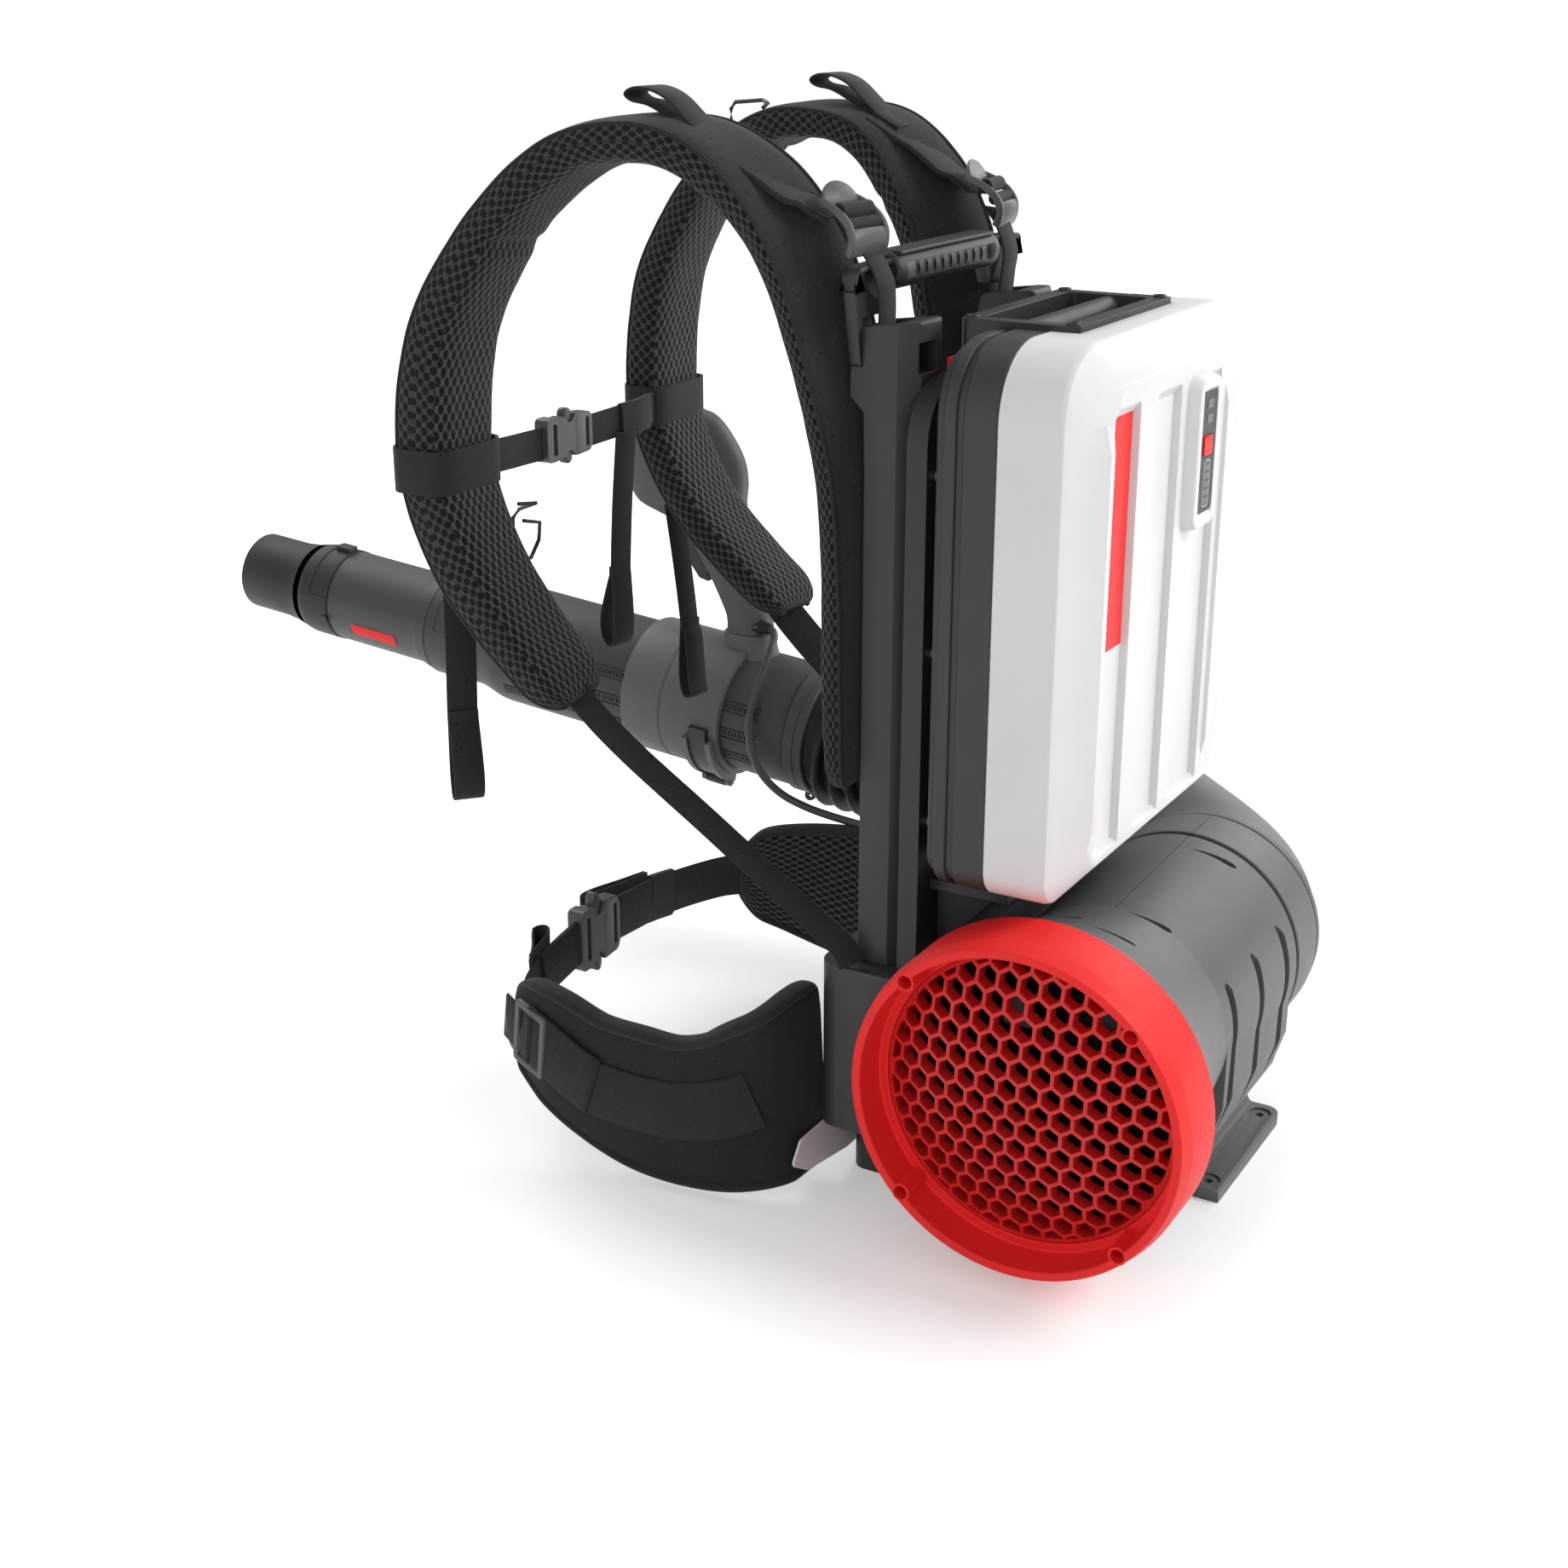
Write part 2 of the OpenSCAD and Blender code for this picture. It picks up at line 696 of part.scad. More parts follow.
module elbow() {
    inner = elbow_rings(elbow_wall);
    color(grey) {
        skin_loop(concat(elbow_rings(0), [for (i = [len(inner) - 1:-1:0]) inner[i]]));
        on_fan_axis() tube_ring(spigot_r, elbow_in_r - elbow_wall - 4, barrel_end_x - spigot_l,
            elbow_x + 2.5);
    }
}

bellows_curve = [
    bellows_start, bellows_start + elbow_dir * 100, bellows_end - tube_dir * 110, bellows_end
];

// Ring across the bellows at a place of 0 to 1
function bellows_ring(t, r, sides) =
    let (d = unit(bezier(bellows_curve, min(t + 0.01, 1)) - bezier(bellows_curve, max(t - 0.01, 0))))
    ring_points(bezier(bellows_curve, t), [1, 0, 0], cross(d, [1, 0, 0]), r, r, sides);

module bellows() {
    sides = 24;
    start = 0.06;
    end = 0.93;
    ribs = [
        for (k = [0:rib_count - 1])
            let (t = mix(start, end, (k + 0.3) / rib_count), u = mix(start, end, (k + 0.8) / rib_count))
                each [bellows_ring(t, rib_r, sides), bellows_ring(u, valley_r, sides)]
    ];
    inside = [for (k = [12:-1:0]) bellows_ring(k / 12, bellows_bore_r, sides)];
    root_r = elbow_out_r - elbow_wall - gap;
    root = -elbow_dir * 10;
    color(dark) skin_loop(concat(
        [[for (p = bellows_ring(0, root_r, sides)) p + root], bellows_ring(0, root_r, sides)],
        [bellows_ring(start, valley_r, sides)],
        ribs,
        [bellows_ring(1, valley_r + 1, sides)],
        inside,
        [[for (p = bellows_ring(0, bellows_bore_r, sides)) p + root]]
    ));
}

module bellows_rear_clamp() {
    color(black) translate(bellows_start) rotate([elbow_pitch - 90, 0, 0]) difference() {
        translate([0, 0, -elbow_tail + 3]) cylinder(r = elbow_out_r + 3, h = elbow_tail + 4, $fn = round_fn);
        translate([0, 0, -elbow_tail - over])
            cylinder(r = elbow_out_r + fit, h = 2 * elbow_tail + 10, $fn = round_fn);
    }
}

module bellows_front_clamp() {
    lug_r = 5;
    color(black) on_tube_axis() difference() {
        union() {
            tube_ring(valley_r + 1 + gap + cuff_t, valley_r + 1 + gap, tube_rear - cuff_w - 1, tube_rear - 1);
            rotate([0, 0, 100]) translate([valley_r + cuff_t + 6, 2, tube_rear - cuff_w / 2])
                rotate([90, 0, 0])
                cylinder(r = lug_r, h = 4, $fn = 48);
            rotate([0, 0, 100]) translate([valley_r + cuff_t, -2, tube_rear - cuff_w / 2 - lug_r])
                cube([6, 4, 2 * lug_r]);
        }
        rotate([0, 0, 100]) translate([valley_r + cuff_t + 6, 5, tube_rear - cuff_w / 2]) rotate([90, 0, 0])
            cylinder(r = 2.2, h = 10, $fn = 32);
    }
}

// ---------- blower tube ----------

// Four grooves along the main tube for the handle's rack
module rack_grooves() {
    for (a = [150, 175, 200, 330])
        rotate([0, 0, a]) translate([main_r - 1.2, -rack_w / 2, tube_rear + 30]) cube([5, rack_w, 230]);
}

module main_tube() {
    spigot = bellows_bore_r - 2 * gap;
    front_spigot = main_tip_r - tube_wall - tube_clear;
    color(dark) on_tube_axis() union() {
        difference() {
            rotate_extrude($fn = round_fn) polygon([
                [spigot - tube_wall, tube_rear - 13], [spigot, tube_rear - 13], [spigot, tube_rear],
                [main_r, tube_rear], [main_r, flare_start], [main_tip_r, flare_end], [main_tip_r, main_end],
                [front_spigot, main_end], [front_spigot, main_end + socket_l],
                [front_spigot - tube_wall, main_end + socket_l], [front_spigot - tube_wall, flare_end],
                [main_r - tube_wall - 1.5, flare_start], [main_r - tube_wall - 1.5, tube_rear + 8],
                [spigot - tube_wall, tube_rear + 4]
            ]);
            rack_grooves();
        }
        rotate([0, 0, -90]) translate([front_spigot - 1, -3, main_end + 14]) cube([3, 6, 8]);
    }
}

// Tube with a collar over the piece behind it and a spigot for the piece ahead
module extension_tube() {
    bore = extension_collar_r - tube_wall;
    spigot = extension_r - tube_wall - tube_clear;
    z = main_end + gap;
    color(dark) on_tube_axis() difference() {
        rotate_extrude($fn = round_fn) polygon([
            [bore, z], [extension_collar_r, z], [extension_collar_r, z + 31], [extension_r + 0.5, z + 50],
            [extension_r, extension_end], [spigot, extension_end], [spigot, extension_end + socket_l],
            [spigot - tube_wall, extension_end + socket_l], [spigot - tube_wall, z + 62],
            [bore, z + socket_l + 6]
        ]);
        bayonet_slot(bore, main_end);
    }
}

// Slot for the lock nub: it leaves the twist free
module bayonet_slot(bore, z) {
    arc_block(bore - 3, bore + 0.8, z - over, z + 25, -120, -85);
}

module nozzle() {
    bore = nozzle_collar_r - tube_wall;
    z = extension_end + gap;
    end = nozzle_end;
    color(dark) on_tube_axis() rotate_extrude($fn = round_fn) polygon([
        [bore, z], [nozzle_collar_r, z], [nozzle_collar_r, z + 31], [nozzle_tip_r + 2.5, z + 50],
        [nozzle_tip_r, end - 45], [nozzle_tip_r, end], [nozzle_tip_r - tube_wall, end],
        [nozzle_tip_r - tube_wall, z + 60], [bore, z + socket_l + 4]
    ]);
}

// ---------- control handle ----------

// Ring segment about the tube axis, angles from the wearer's right towards the ground
module arc_block(r_in, r_out, z0, z1, from, to) {
    rotate([0, 0, from]) rotate_extrude(angle = to - from, $fn = round_fn)
        polygon([[r_in, z0], [r_out, z0], [r_out, z1], [r_in, z1]]);
}

lever_from = 112;
lever_to = 176;
lever_z = sleeve_rear + 9;
lever_w = 18;
pin_at = 108;
pin_out = sleeve_r + 8;

module handle_carriage() {
    color(dark) difference() {
        union() {
            on_tube_axis() {
                tube_ring(sleeve_r, main_r + gap, sleeve_rear, sleeve_rear + sleeve_l);
                arc_block(sleeve_r - 0.5, sleeve_r + 7, lever_z - 6, lever_z - gap, lever_from - 9,
                    lever_to - 10);
                arc_block(sleeve_r - 0.5, sleeve_r + 7, lever_z + lever_w + gap, lever_z + lever_w + 6,
                    lever_from - 9, lever_to - 10);
                rotate([0, 0, pin_at]) translate([pin_out, 0, lever_z - 5])
                    cylinder(r = 2.5, h = lever_w + 10, $fn = 32);
                for (z = [lever_z - 5.5, lever_z + lever_w + gap + 0.5])
                    rotate([0, 0, pin_at]) translate([pin_out - 1, 0, z]) cylinder(r = 5, h = 4.6, $fn = 32);
            }
            slab_x(rounded([
                [439, 255, 0], [524, 262, 0], [520, 286, 3], [496, grip_z, 3], [439, grip_z, 3]
            ]), grip_x - grip_w / 2 - 2, grip_x + grip_w / 2 + 2);
        }
        on_tube_axis() translate([0, 0, sleeve_rear - 30])
            cylinder(r = main_r + gap, h = sleeve_l + 60, $fn = round_fn);
    }
}

grip_outline = rounded([
    [443, grip_z, 0], [484, grip_z, 0], [484, 307, 12], [503, 346, 30], [530, 388, 10], [575, 396, 10],
    [589, 421, 10], [588, 448, 12], [562, 478, 12], [500, 486, 8], [479, 462, 8], [466, 440, 8],
    [470, 410, 20], [455, 345, 30], [443, 318, 20]
], 4);

module grip_block(x0, x1) {
    difference() {
        slab_x(grip_outline, x0, x1);
        // slot for the trigger
        slab_x([[478, 322], [530, 322], [552, 380], [552, 408], [512, 408], [492, 372]],
            grip_x - trigger_w / 2 - gap, grip_x + trigger_w / 2 + gap);
        translate([x0 - over, lever_pin[1], lever_pin[2]]) rotate([0, 90, 0])
            cylinder(r = 2, h = x1 - x0 + 2 * over, $fn = 32);
        // pocket for the stop switch in the top of the head
        box([grip_x - 8, switch_y, 470], [grip_x + 8, switch_y + 26, 495]);
        // cable outlet at the rear of the grip's foot
        translate([grip_x - 12, 458, 301]) rotate([90, 0, 0]) cylinder(r = cable_r + gap, h = 40, $fn = 32);
    }
}

module left_grip_shell() {
    color(grey) difference() {
        grip_block(grip_x - grip_w / 2, grip_x);
        translate(cruise_pin - [over, 0, 0]) rotate([0, 90, 0]) cylinder(r = 3, h = 6 + over, $fn = 32);
    }
}

module right_grip_shell() {
    color(grey) grip_block(grip_x, grip_x + grip_w / 2);
}

module throttle_trigger() {
    color(black) union() {
        slab_x(rounded([[502, 333, 2], [514, 336, 3], [537, 366, 6], [546, 388, 4], [540, 405, 4],
            [520, 405, 6]]),
            grip_x - trigger_w / 2, grip_x + trigger_w / 2);
        translate(lever_pin - [grip_w / 2 - 1, 0, 0]) rotate([0, 90, 0])
            cylinder(r = 1.95, h = grip_w - 2, $fn = 32);
    }
}

module cruise_lever() {
    color(black) translate(cruise_pin) rotate([0, -90, 0]) union() {
        translate([0, 0, gap]) cylinder(r = 9, h = 4, $fn = 48);
        translate([0, 0, -5]) cylinder(r = 2.95, h = 7, $fn = 32);
        translate([0, -4, gap]) cube([24, 8, 4]);
    }
}

module stop_switch() {
    color(red) box([grip_x - 8 + gap, switch_y + gap, 473], [grip_x + 8 - gap, switch_y + 26 - gap, 487]);
}

module clamp_lever() {
    color(black) on_tube_axis() difference() {
        union() {
            arc_block(sleeve_r + gap, sleeve_r + 5, lever_z, lever_z + lever_w, lever_from, lever_to);
            rotate([0, 0, pin_at]) translate([pin_out, 0, lever_z]) cylinder(r = 5, h = lever_w, $fn = 32);
            arc_block(sleeve_r + 2.5, sleeve_r + 5.5, lever_z + 0.5, lever_z + lever_w - 0.5,
                pin_at + 1.5, lever_from + 3);
        }
        rotate([0, 0, pin_at]) translate([pin_out, 0, lever_z - over])
            cylinder(r = 2.55, h = lever_w + 2 * over, $fn = 32);
    }
}

module control_cable() {
    color(black) round_bar(smooth(cable_route, 2), cable_r, 8);
}

// ---------- battery ----------

// Outline of the battery seen from the rear, drawn in by an inset
function battery_outline(inset, steps = 8) = rounded([
    [-battery_w / 2 + inset, battery_z + inset, battery_low_r - min(inset, 8)],
    [battery_w / 2 - inset, battery_z + inset, battery_low_r - min(inset, 8)],
    [battery_w / 2 - inset, battery_top_z - inset, battery_top_r - min(inset, 16)],
    [-battery_w / 2 + inset, battery_top_z - inset, battery_top_r - min(inset, 16)]
], steps);

// Flat part of the battery's rear face, with cut corners, drawn in by an inset
function plateau_outline(inset) =
    let (
        x = battery_w / 2 - plateau_inset - inset,
        low = battery_z + plateau_top_inset - 8 + inset,
        high = battery_top_z - plateau_top_inset - inset
    )
    [
        [-x + 14, low], [x - 14, low], [x, low + 16], [x, high - 34],
        [x - 24, high], [-x + 24, high], [-x, high - 34], [-x, low + 16]
    ];

// Space for the tray in the battery's top
module tray_space(grow = 0) {
    box([-tray_w / 2 - grow, tray_y - grow, tray_low - grow],
        [tray_w / 2 + grow, tray_y + tray_depth + 20, battery_top_z + 20]);
}

// Upright channels pressed into the rear face: left side, right side
channels = [[-89, -62], [-51, -15], [21, 56]];
channel_depth = 5;
rear_ridge = 5;

module battery_rear_shell() {
    color(white) difference() {
        union() {
            slab_y(battery_outline(0), rim_y, battery_seam_y);
            hull() {
                slab_y(battery_outline(4), rim_y - 1, rim_y + 1);
                slab_y(plateau_outline(0), battery_rear_y, battery_rear_y + 1);
            }
            for (x = [-119, 90])
                slab_x([
                    [battery_rear_y - rear_ridge, 330], [battery_rear_y - rear_ridge, 566],
                    [battery_rear_y + 1, 578], [battery_rear_y + 1, 318]
                ], x, x + 22);
        }
        slab_y(battery_outline(battery_wall), rim_y + 4, battery_seam_y + over);
        slab_y(plateau_outline(battery_wall), battery_rear_y + battery_wall + channel_depth, rim_y + 5);
        for (c = channels)
            slab_z([
                [c[0], battery_rear_y - over], [c[1] + 8, battery_rear_y - over],
                [c[1], battery_rear_y + channel_depth], [c[0] + 4, battery_rear_y + channel_depth]
            ], battery_z + plateau_top_inset - 4, battery_top_z - plateau_top_inset - 4);
        tray_space(gap);
    }
}

module battery_front_shell() {
    band_y = 65;
    color(dark) difference() {
        union() {
            slab_y(battery_outline(0), battery_seam_y, band_y);
            slab_y(battery_outline(3), band_y - over, band_y + 5);
            slab_y(battery_outline(1), band_y + 4, 79);
            slab_y(battery_outline(7), 78, battery_front_y);
            slab_y(plate_outline(-tongue_w / 2, battery_z + 24, tongue_w / 2, 580, 8, 20),
                battery_front_y - over, tongue_front_y);
        }
        slab_y(battery_outline(battery_wall), battery_seam_y - over, band_y - 3);
        slab_y(battery_outline(10), band_y - 4, battery_front_y - 3);
        slab_y(plate_outline(-tongue_w / 2 + 3, battery_z + 27, tongue_w / 2 - 3, 577, 5, 17),
            battery_front_y - 4, tongue_front_y - 3);
        tray_space(gap);
        box([-42, 50, battery_z - over], [42, 82, battery_z + 22]);
    }
}

module battery_tray() {
    wall = 12;
    bar_y = tray_y + 42;
    bar_z = tray_top - carry_bar_d / 2 - 1;
    color(black) union() {
        difference() {
            slab_z(rounded([
                [-tray_w / 2, tray_y, 4], [tray_w / 2, tray_y, 4],
                [tray_w / 2, tray_y + tray_depth, 8], [-tray_w / 2, tray_y + tray_depth, 8]
            ]), tray_low, tray_top);
            slab_z(rounded([
                [-tray_w / 2 + wall, tray_y + wall, 6], [tray_w / 2 - wall, tray_y + wall, 6],
                [tray_w / 2 - wall, tray_y + tray_depth - wall, 6],
                    [-tray_w / 2 + wall, tray_y + tray_depth - wall, 6]
            ]), tray_low + 3, tray_top + over);
        }
        translate([-tray_w / 2 + wall - 2, bar_y, bar_z]) rotate([0, 90, 0])
            cylinder(d = carry_bar_d, h = tray_w - 2 * wall + 4, $fn = 48);
    }
}

module cell_block() {
    color([0.25, 0.4, 0.55]) box([-120, rim_y + 4.2, battery_z + 30], [120, 80, tray_low - 8]);
}

module display_bezel() {
    y = battery_rear_y;
    color(white) difference() {
        slab_y(plate_outline(display_x - display_w / 2, display_z - display_h / 2, display_x + display_w / 2,
            display_z + display_h / 2, 10, 10), y - display_proud, y - fit);
        slab_y(plate_outline(display_x - 10, display_z - 44, display_x + 10, display_z + 44, 5, 5),
            y - display_proud - over, y - display_proud + 1);
        slab_y(plate_outline(display_x - 8, display_z - 4, display_x + 8, display_z + 10, 2, 2),
            y - display_proud - over, y - display_proud + 6);
    }
}

module display_button() {
    y = battery_rear_y - display_proud;
    color(red) slab_y(plate_outline(display_x - 8 + gap, display_z - 4 + gap, display_x + 8 - gap,
        display_z + 10 - gap, 2, 2), y - 0.5, y + 4);
}

// ---------- back frame ----------

module base_housing() {
    outline = rounded([
        [-base_w / 2, base_rear_y, 4], [base_w / 2, base_rear_y, 4],
        [base_w / 2, base_front_y, 16], [-base_w / 2, base_front_y, 16]
    ]);
    color(dark) difference() {
        slab_z(outline, foot_block_h, base_top_z);
        box([-base_w / 2 + base_wall + 4, 124, foot_block_h + base_wall],
            [base_w / 2 - base_wall - 4, base_front_y - base_wall, base_top_z - base_wall]);
        box([-10, base_rear_y + base_wall, foot_block_h + base_wall],
            [base_w / 2 - base_wall, 125, base_top_z - base_wall]);
        barrel_outside(gap);
        on_fan_axis() translate([0, 0, ring_face_x])
            cylinder(r = ring_r + 2, h = ring_depth + 2, $fn = round_fn);
        // cable inlet
        translate([base_w / 2 - 10, 168, 162]) rotate([0, 90, 0])
            cylinder(r = cable_r + gap, h = 20, $fn = 32);
    }
}

module base_feet() {
    color(black) both_sides()
        slab_z(rounded([[40, 118, 4], [88, 118, 4], [88, 172, 10], [40, 172, 4]]), 0, foot_block_h);
}

// Side view of a rail
rail_profile = rounded([
    [rail_rear_y, base_top_z, 0], [rail_front_y, base_top_z, 0], [rail_front_y, 534, 4],
    [rail_front_y + 1, 577, 4],
    [rail_front_y + 11, 586, 3], [rail_front_y + 11, 602, 4], [rail_front_y + 4, rail_top_z - 5, 4],
    [rail_rear_y, rail_top_z, 3]
], 4);
rail_plan = [
    [rail_in_x + 4, rail_rear_y], [rail_in_x + rail_w - 10, rail_rear_y],
        [rail_in_x + rail_w, rail_rear_y + 13],
    [rail_in_x + rail_w, rail_front_y + 20], [rail_in_x, rail_front_y + 20], [rail_in_x, rail_rear_y + 4]
];

module rail() {
    slot_y = [135, 152];
    difference() {
        intersection() {
            slab_x(rail_profile, rail_in_x, rail_in_x + rail_w);
            slab_z(rail_plan, base_top_z, rail_top_z);
        }
        box([rail_in_x + 7, slot_y[0], rail_top_z - 40],
            [rail_in_x + rail_w - 7, slot_y[1], rail_top_z + over]);
        box([rail_in_x + 9, rail_rear_y - over, rail_top_z - 34],
            [rail_in_x + rail_w - 9, slot_y[0] + over, rail_top_z - 14]);
        box([rail_in_x + 12, rail_rear_y - over, 330], [rail_in_x + rail_w - 14, rail_rear_y + 8, 560]);
    }
}

module left_rail() {
    color(dark) mirror([1, 0, 0]) rail();
}

module right_rail() {
    color(dark) rail();
}

module dock_plate() {
    half = dock_w / 2;
    shelf_z = battery_z - 16;
    color(black) difference() {
        union() {
            slab_y(plate_outline(-half, base_top_z, half, dock_top_z, 4, 40), dock_rear_y, dock_front_y);
            box([-half + 20, 46, shelf_z - 8], [half - 20, dock_rear_y + 1, shelf_z]);
            for (x = [-90, 84])
                slab_x([[56, shelf_z - 7], [dock_rear_y + 1, shelf_z - 60],
                    [dock_rear_y + 1, shelf_z - 7]], x, x + 6);
        }
        // pocket for the latch
        box([-70 - gap, 106, dock_top_z - 24], [70 + gap, dock_front_y - 1.5, dock_top_z + over]);
        box([-12, 106, dock_top_z - 42], [12, dock_front_y - 1.5, dock_top_z - 20]);
    }
}

module battery_latch() {
    color(red) box([-70, 106.5, dock_top_z - 12], [70, 118, dock_top_z + 10]);
}

module latch_spring() {
    turns = 7;
    wire_r = 0.8;
    coil_r = 4;
    low = dock_top_z - 42;
    high = dock_top_z - 12;
    steps = 8;
    route = [
        for (k = [0:turns * steps])
            let (a = 360 * k / steps, t = k / (turns * steps))
                [coil_r * cos(a), 112 + coil_r * sin(a), mix(low + wire_r, high - wire_r, t)]
    ];
    color(steel) round_bar(route, wire_r, 6);
}

module dock_connector() {
    shelf_z = battery_z - 16;
    color(black) union() {
        box([-38, 54, shelf_z], [38, 78, battery_z - 1]);
        for (x = [-26:13:26])
            box([x - 1, 60, shelf_z + 2], [x + 1, 72, battery_z + 16]);
    }
}

module controller_board() {
    color([0.1, 0.35, 0.2]) union() {
        box([-70, 132, foot_block_h + base_wall], [70, 134, 160]);
        box([-50, 134, 80], [-20, 150, 120]);
        for (x = [0:18:36])
            translate([x + 10, 134, 130]) rotate([-90, 0, 0]) cylinder(r = 7, h = 24, $fn = 32);
    }
}

module carry_handle() {
    bar = 150;
    bracket_x = rail_span / 2 + 26;
    bracket_z = 606;
    color(black) difference() {
        union() {
            translate([-bar / 2, handle_y, handle_z]) rotate([0, 90, 0])
                cylinder(d = handle_d, h = bar, $fn = 64);
            both_sides() {
                slab_y(rounded([
                    [bar / 2 - 8, handle_z - 8, 0], [bar / 2 - 8, handle_z + 9, 0],
                    [bracket_x, handle_z + 7, 6],
                    [bracket_x, handle_z - 8, 10], [rail_span / 2 + 2, bracket_z, 3],
                    [rail_span / 2, bracket_z, 0],
                    [rail_span / 2, rail_top_z + 1, 0], [bar / 2 + 2, rail_top_z + 1, 4]
                ]), handle_y - 3, handle_y + 5);
            }
        }
        // finger grooves under the grip
        for (x = [-54:12:54])
            translate([x, handle_y, handle_z - handle_d / 2 - 3]) rotate([90, 0, 0])
                cylinder(r = 5, h = 40, center = true, $fn = 32);
    }
}

module frame_screws() {
    color(steel) both_sides() for (z = [300, 420, 540])
        translate([rail_span / 2 - 4.4, dock_rear_y - 3, z]) rotate([-90, 0, 0])
            cylinder(r = 4, h = 3, $fn = 32);
}

// ---------- harness ----------

// Shoulder pad: swollen section that thins towards its edges, with a sewn fold
module shoulder_pad() {
    line = smooth(pad_route, 2);
    rings = [
        for (i = [0:len(line) - 1])
            let (
                d = heading(line, i),
                u = [1, 0, 0],
                v = unit(cross(d, u)),
                w = unit(cross(v, d)),
                tip = min(1, 0.62 + 0.38 * min(i, len(line) - 1 - i) / 3),
                fold = abs(i - 27) < 1 ? 0.86 : 1
            )
            ring_points(xyz(line[i]), w, v, pad_w / 2 * tip, line[i][3] / 2 * fold, 20, 0.55)
    ];
    skin(rings);
}

module left_shoulder_pad() {
    color(black) mirror([1, 0, 0]) shoulder_pad();
}

module right_shoulder_pad() {
    color(black) shoulder_pad();
}

lifter_route = [
    [122, 290, 764], [120, 262, 754], [113, 232, 738], [106, 206, 718], [101, 181, 697], [98, 162, 683],
    [95, 149, 664], [92, 144, 645], [91, 143.5, 620], [91, 143.5, 603]
];

module load_lifter_webbing() {
    color(black) both_sides() strap(smooth(lifter_route, 2), webbing_w, webbing_t, [1, 0, 0]);
}

// Frame buckle that the lifter webbing runs over
module lifter_buckles() {
    color(dark) both_sides() translate([101.5, 179, 700]) rotate([38, 0, 8]) difference() {
        box([-18, -21, 0], [18, 21, 5]);
        for (y = [-15, 5])
            box([-14, y, -over], [14, y + 10, 5 + over]);
    }
}

sternum_z = 518;
sternum_y = 470;
band_h = 32;

module sternum_band() {
    edge = 147;
    inner = plate_outline(edge - pad_w / 2 - 1, 460, edge + pad_w / 2 + 1, 502, 14, 14);
    outer = plate_outline(edge - pad_w / 2 - 1 - webbing_t, 460 - webbing_t,
        edge + pad_w / 2 + 1 + webbing_t, 502 + webbing_t, 15, 15);
    translate([0, 0, sternum_z - 18]) linear_extrude(band_h) difference() {
        polygon(outer);
        polygon(inner);
    }
}

module left_sternum_strap() {
    color(black) union() {
        mirror([1, 0, 0]) sternum_band();
        strap([[-110, sternum_y, sternum_z], [-78, sternum_y - 3, sternum_z - 2],
            [-48, sternum_y - 4, sternum_z - 3]],
            webbing_w, webbing_t, [0, 0, 1]);
    }
}

tail_route = [
    [32, 459, 512], [32, 456, 490], [32, 451, 440], [32, 446, 390], [32, 443, 345], [32, 438, 331],
    [32, 433, 336], [32, 435, 352]
];

module right_sternum_strap() {
    color(black) union() {
        sternum_band();
        strap([[110, sternum_y, sternum_z], [60, sternum_y - 3, sternum_z - 2],
            [12, sternum_y - 4, sternum_z - 3]],
            webbing_w, webbing_t, [0, 0, 1]);
        strap(tail_route, webbing_w - 2, webbing_t, [1, 0, 0]);
    }
}

buckle_y = sternum_y - 4;

module sternum_buckle_socket() {
    color(dark) difference() {
        slab_y(plate_outline(-47, sternum_z - 20, -11, sternum_z + 14, 5, 5), buckle_y - 6, buckle_y + 6);
        box([-51, buckle_y - 1.6, sternum_z - 16], [-40, buckle_y + 1.6, sternum_z + 10]);
        box([-28, buckle_y - 3.4, sternum_z - 16], [-10, buckle_y + 3.4, sternum_z + 10]);
    }
}

module sternum_buckle_plug() {
    color(dark) union() {
        difference() {
            slab_y(plate_outline(-10.6, sternum_z - 17, 12, sternum_z + 11, 4, 4), buckle_y - 5,
                buckle_y + 5);
            box([2, buckle_y - 1.6, sternum_z - 15], [15, buckle_y + 1.6, sternum_z + 9]);
        }
        for (z = [sternum_z - 15, sternum_z - 5.5, sternum_z + 4])
            box([-26, buckle_y - 3, z], [-10, buckle_y + 3, z + 5]);
    }
}

lower_route = [[143, 354, 342], [140, 322, 316], [136, 266, 277], [131, 210, 236], [128, 175, 210],
    [126, 160, 199], [126, 153, 187]];
pad_tail_route = [
    [158, 473, 428], [158, 465, 400], [158, 461, 350], [158, 459, 300], [158, 458, 275], [158, 452, 266],
    [158, 446, 272], [158, 449, 300], [158, 455, 325]
];

module lower_strap_webbing() {
    color(black) both_sides() {
        strap(lower_route, webbing_w, webbing_t, [1, 0, 0.35]);
        strap(pad_tail_route, webbing_w, webbing_t, [1, 0, 0]);
    }
}

// Hip pad: a tall swollen panel that curves round the wearer's hip
module hip_pad() {
    line = smooth(hip_route, 3);
    rings = [
        for (i = [0:len(line) - 1])
            let (
                d = heading(line, i),
                up = [0, 0, 1],
                v = unit(cross(d, up)),
                w = unit(cross(v, d)),
                tip = min(1, 0.7 + 0.3 * min(i, len(line) - 1 - i) / 3)
            )
            ring_points(xyz(line[i]), w, v, hip_pad_h / 2 * line[i][3], hip_pad_t / 2 * tip, 20, 0.5)
    ];
    skin(rings);
}

module left_hip_pad() {
    color(black) mirror([1, 0, 0]) hip_pad();
}

module right_hip_pad() {
    color(black) hip_pad();
}

module hip_stiffener() {
    color(white) slab_y(rounded([
        [-162, 34, 4], [-140, 20, 6], [-80, 10, 6], [80, 10, 6], [140, 20, 6], [162, 34, 4],
        [150, foot_block_h - 6, 4], [-150, foot_block_h - 6, 4]
    ]), base_front_y, base_front_y + 2);
}

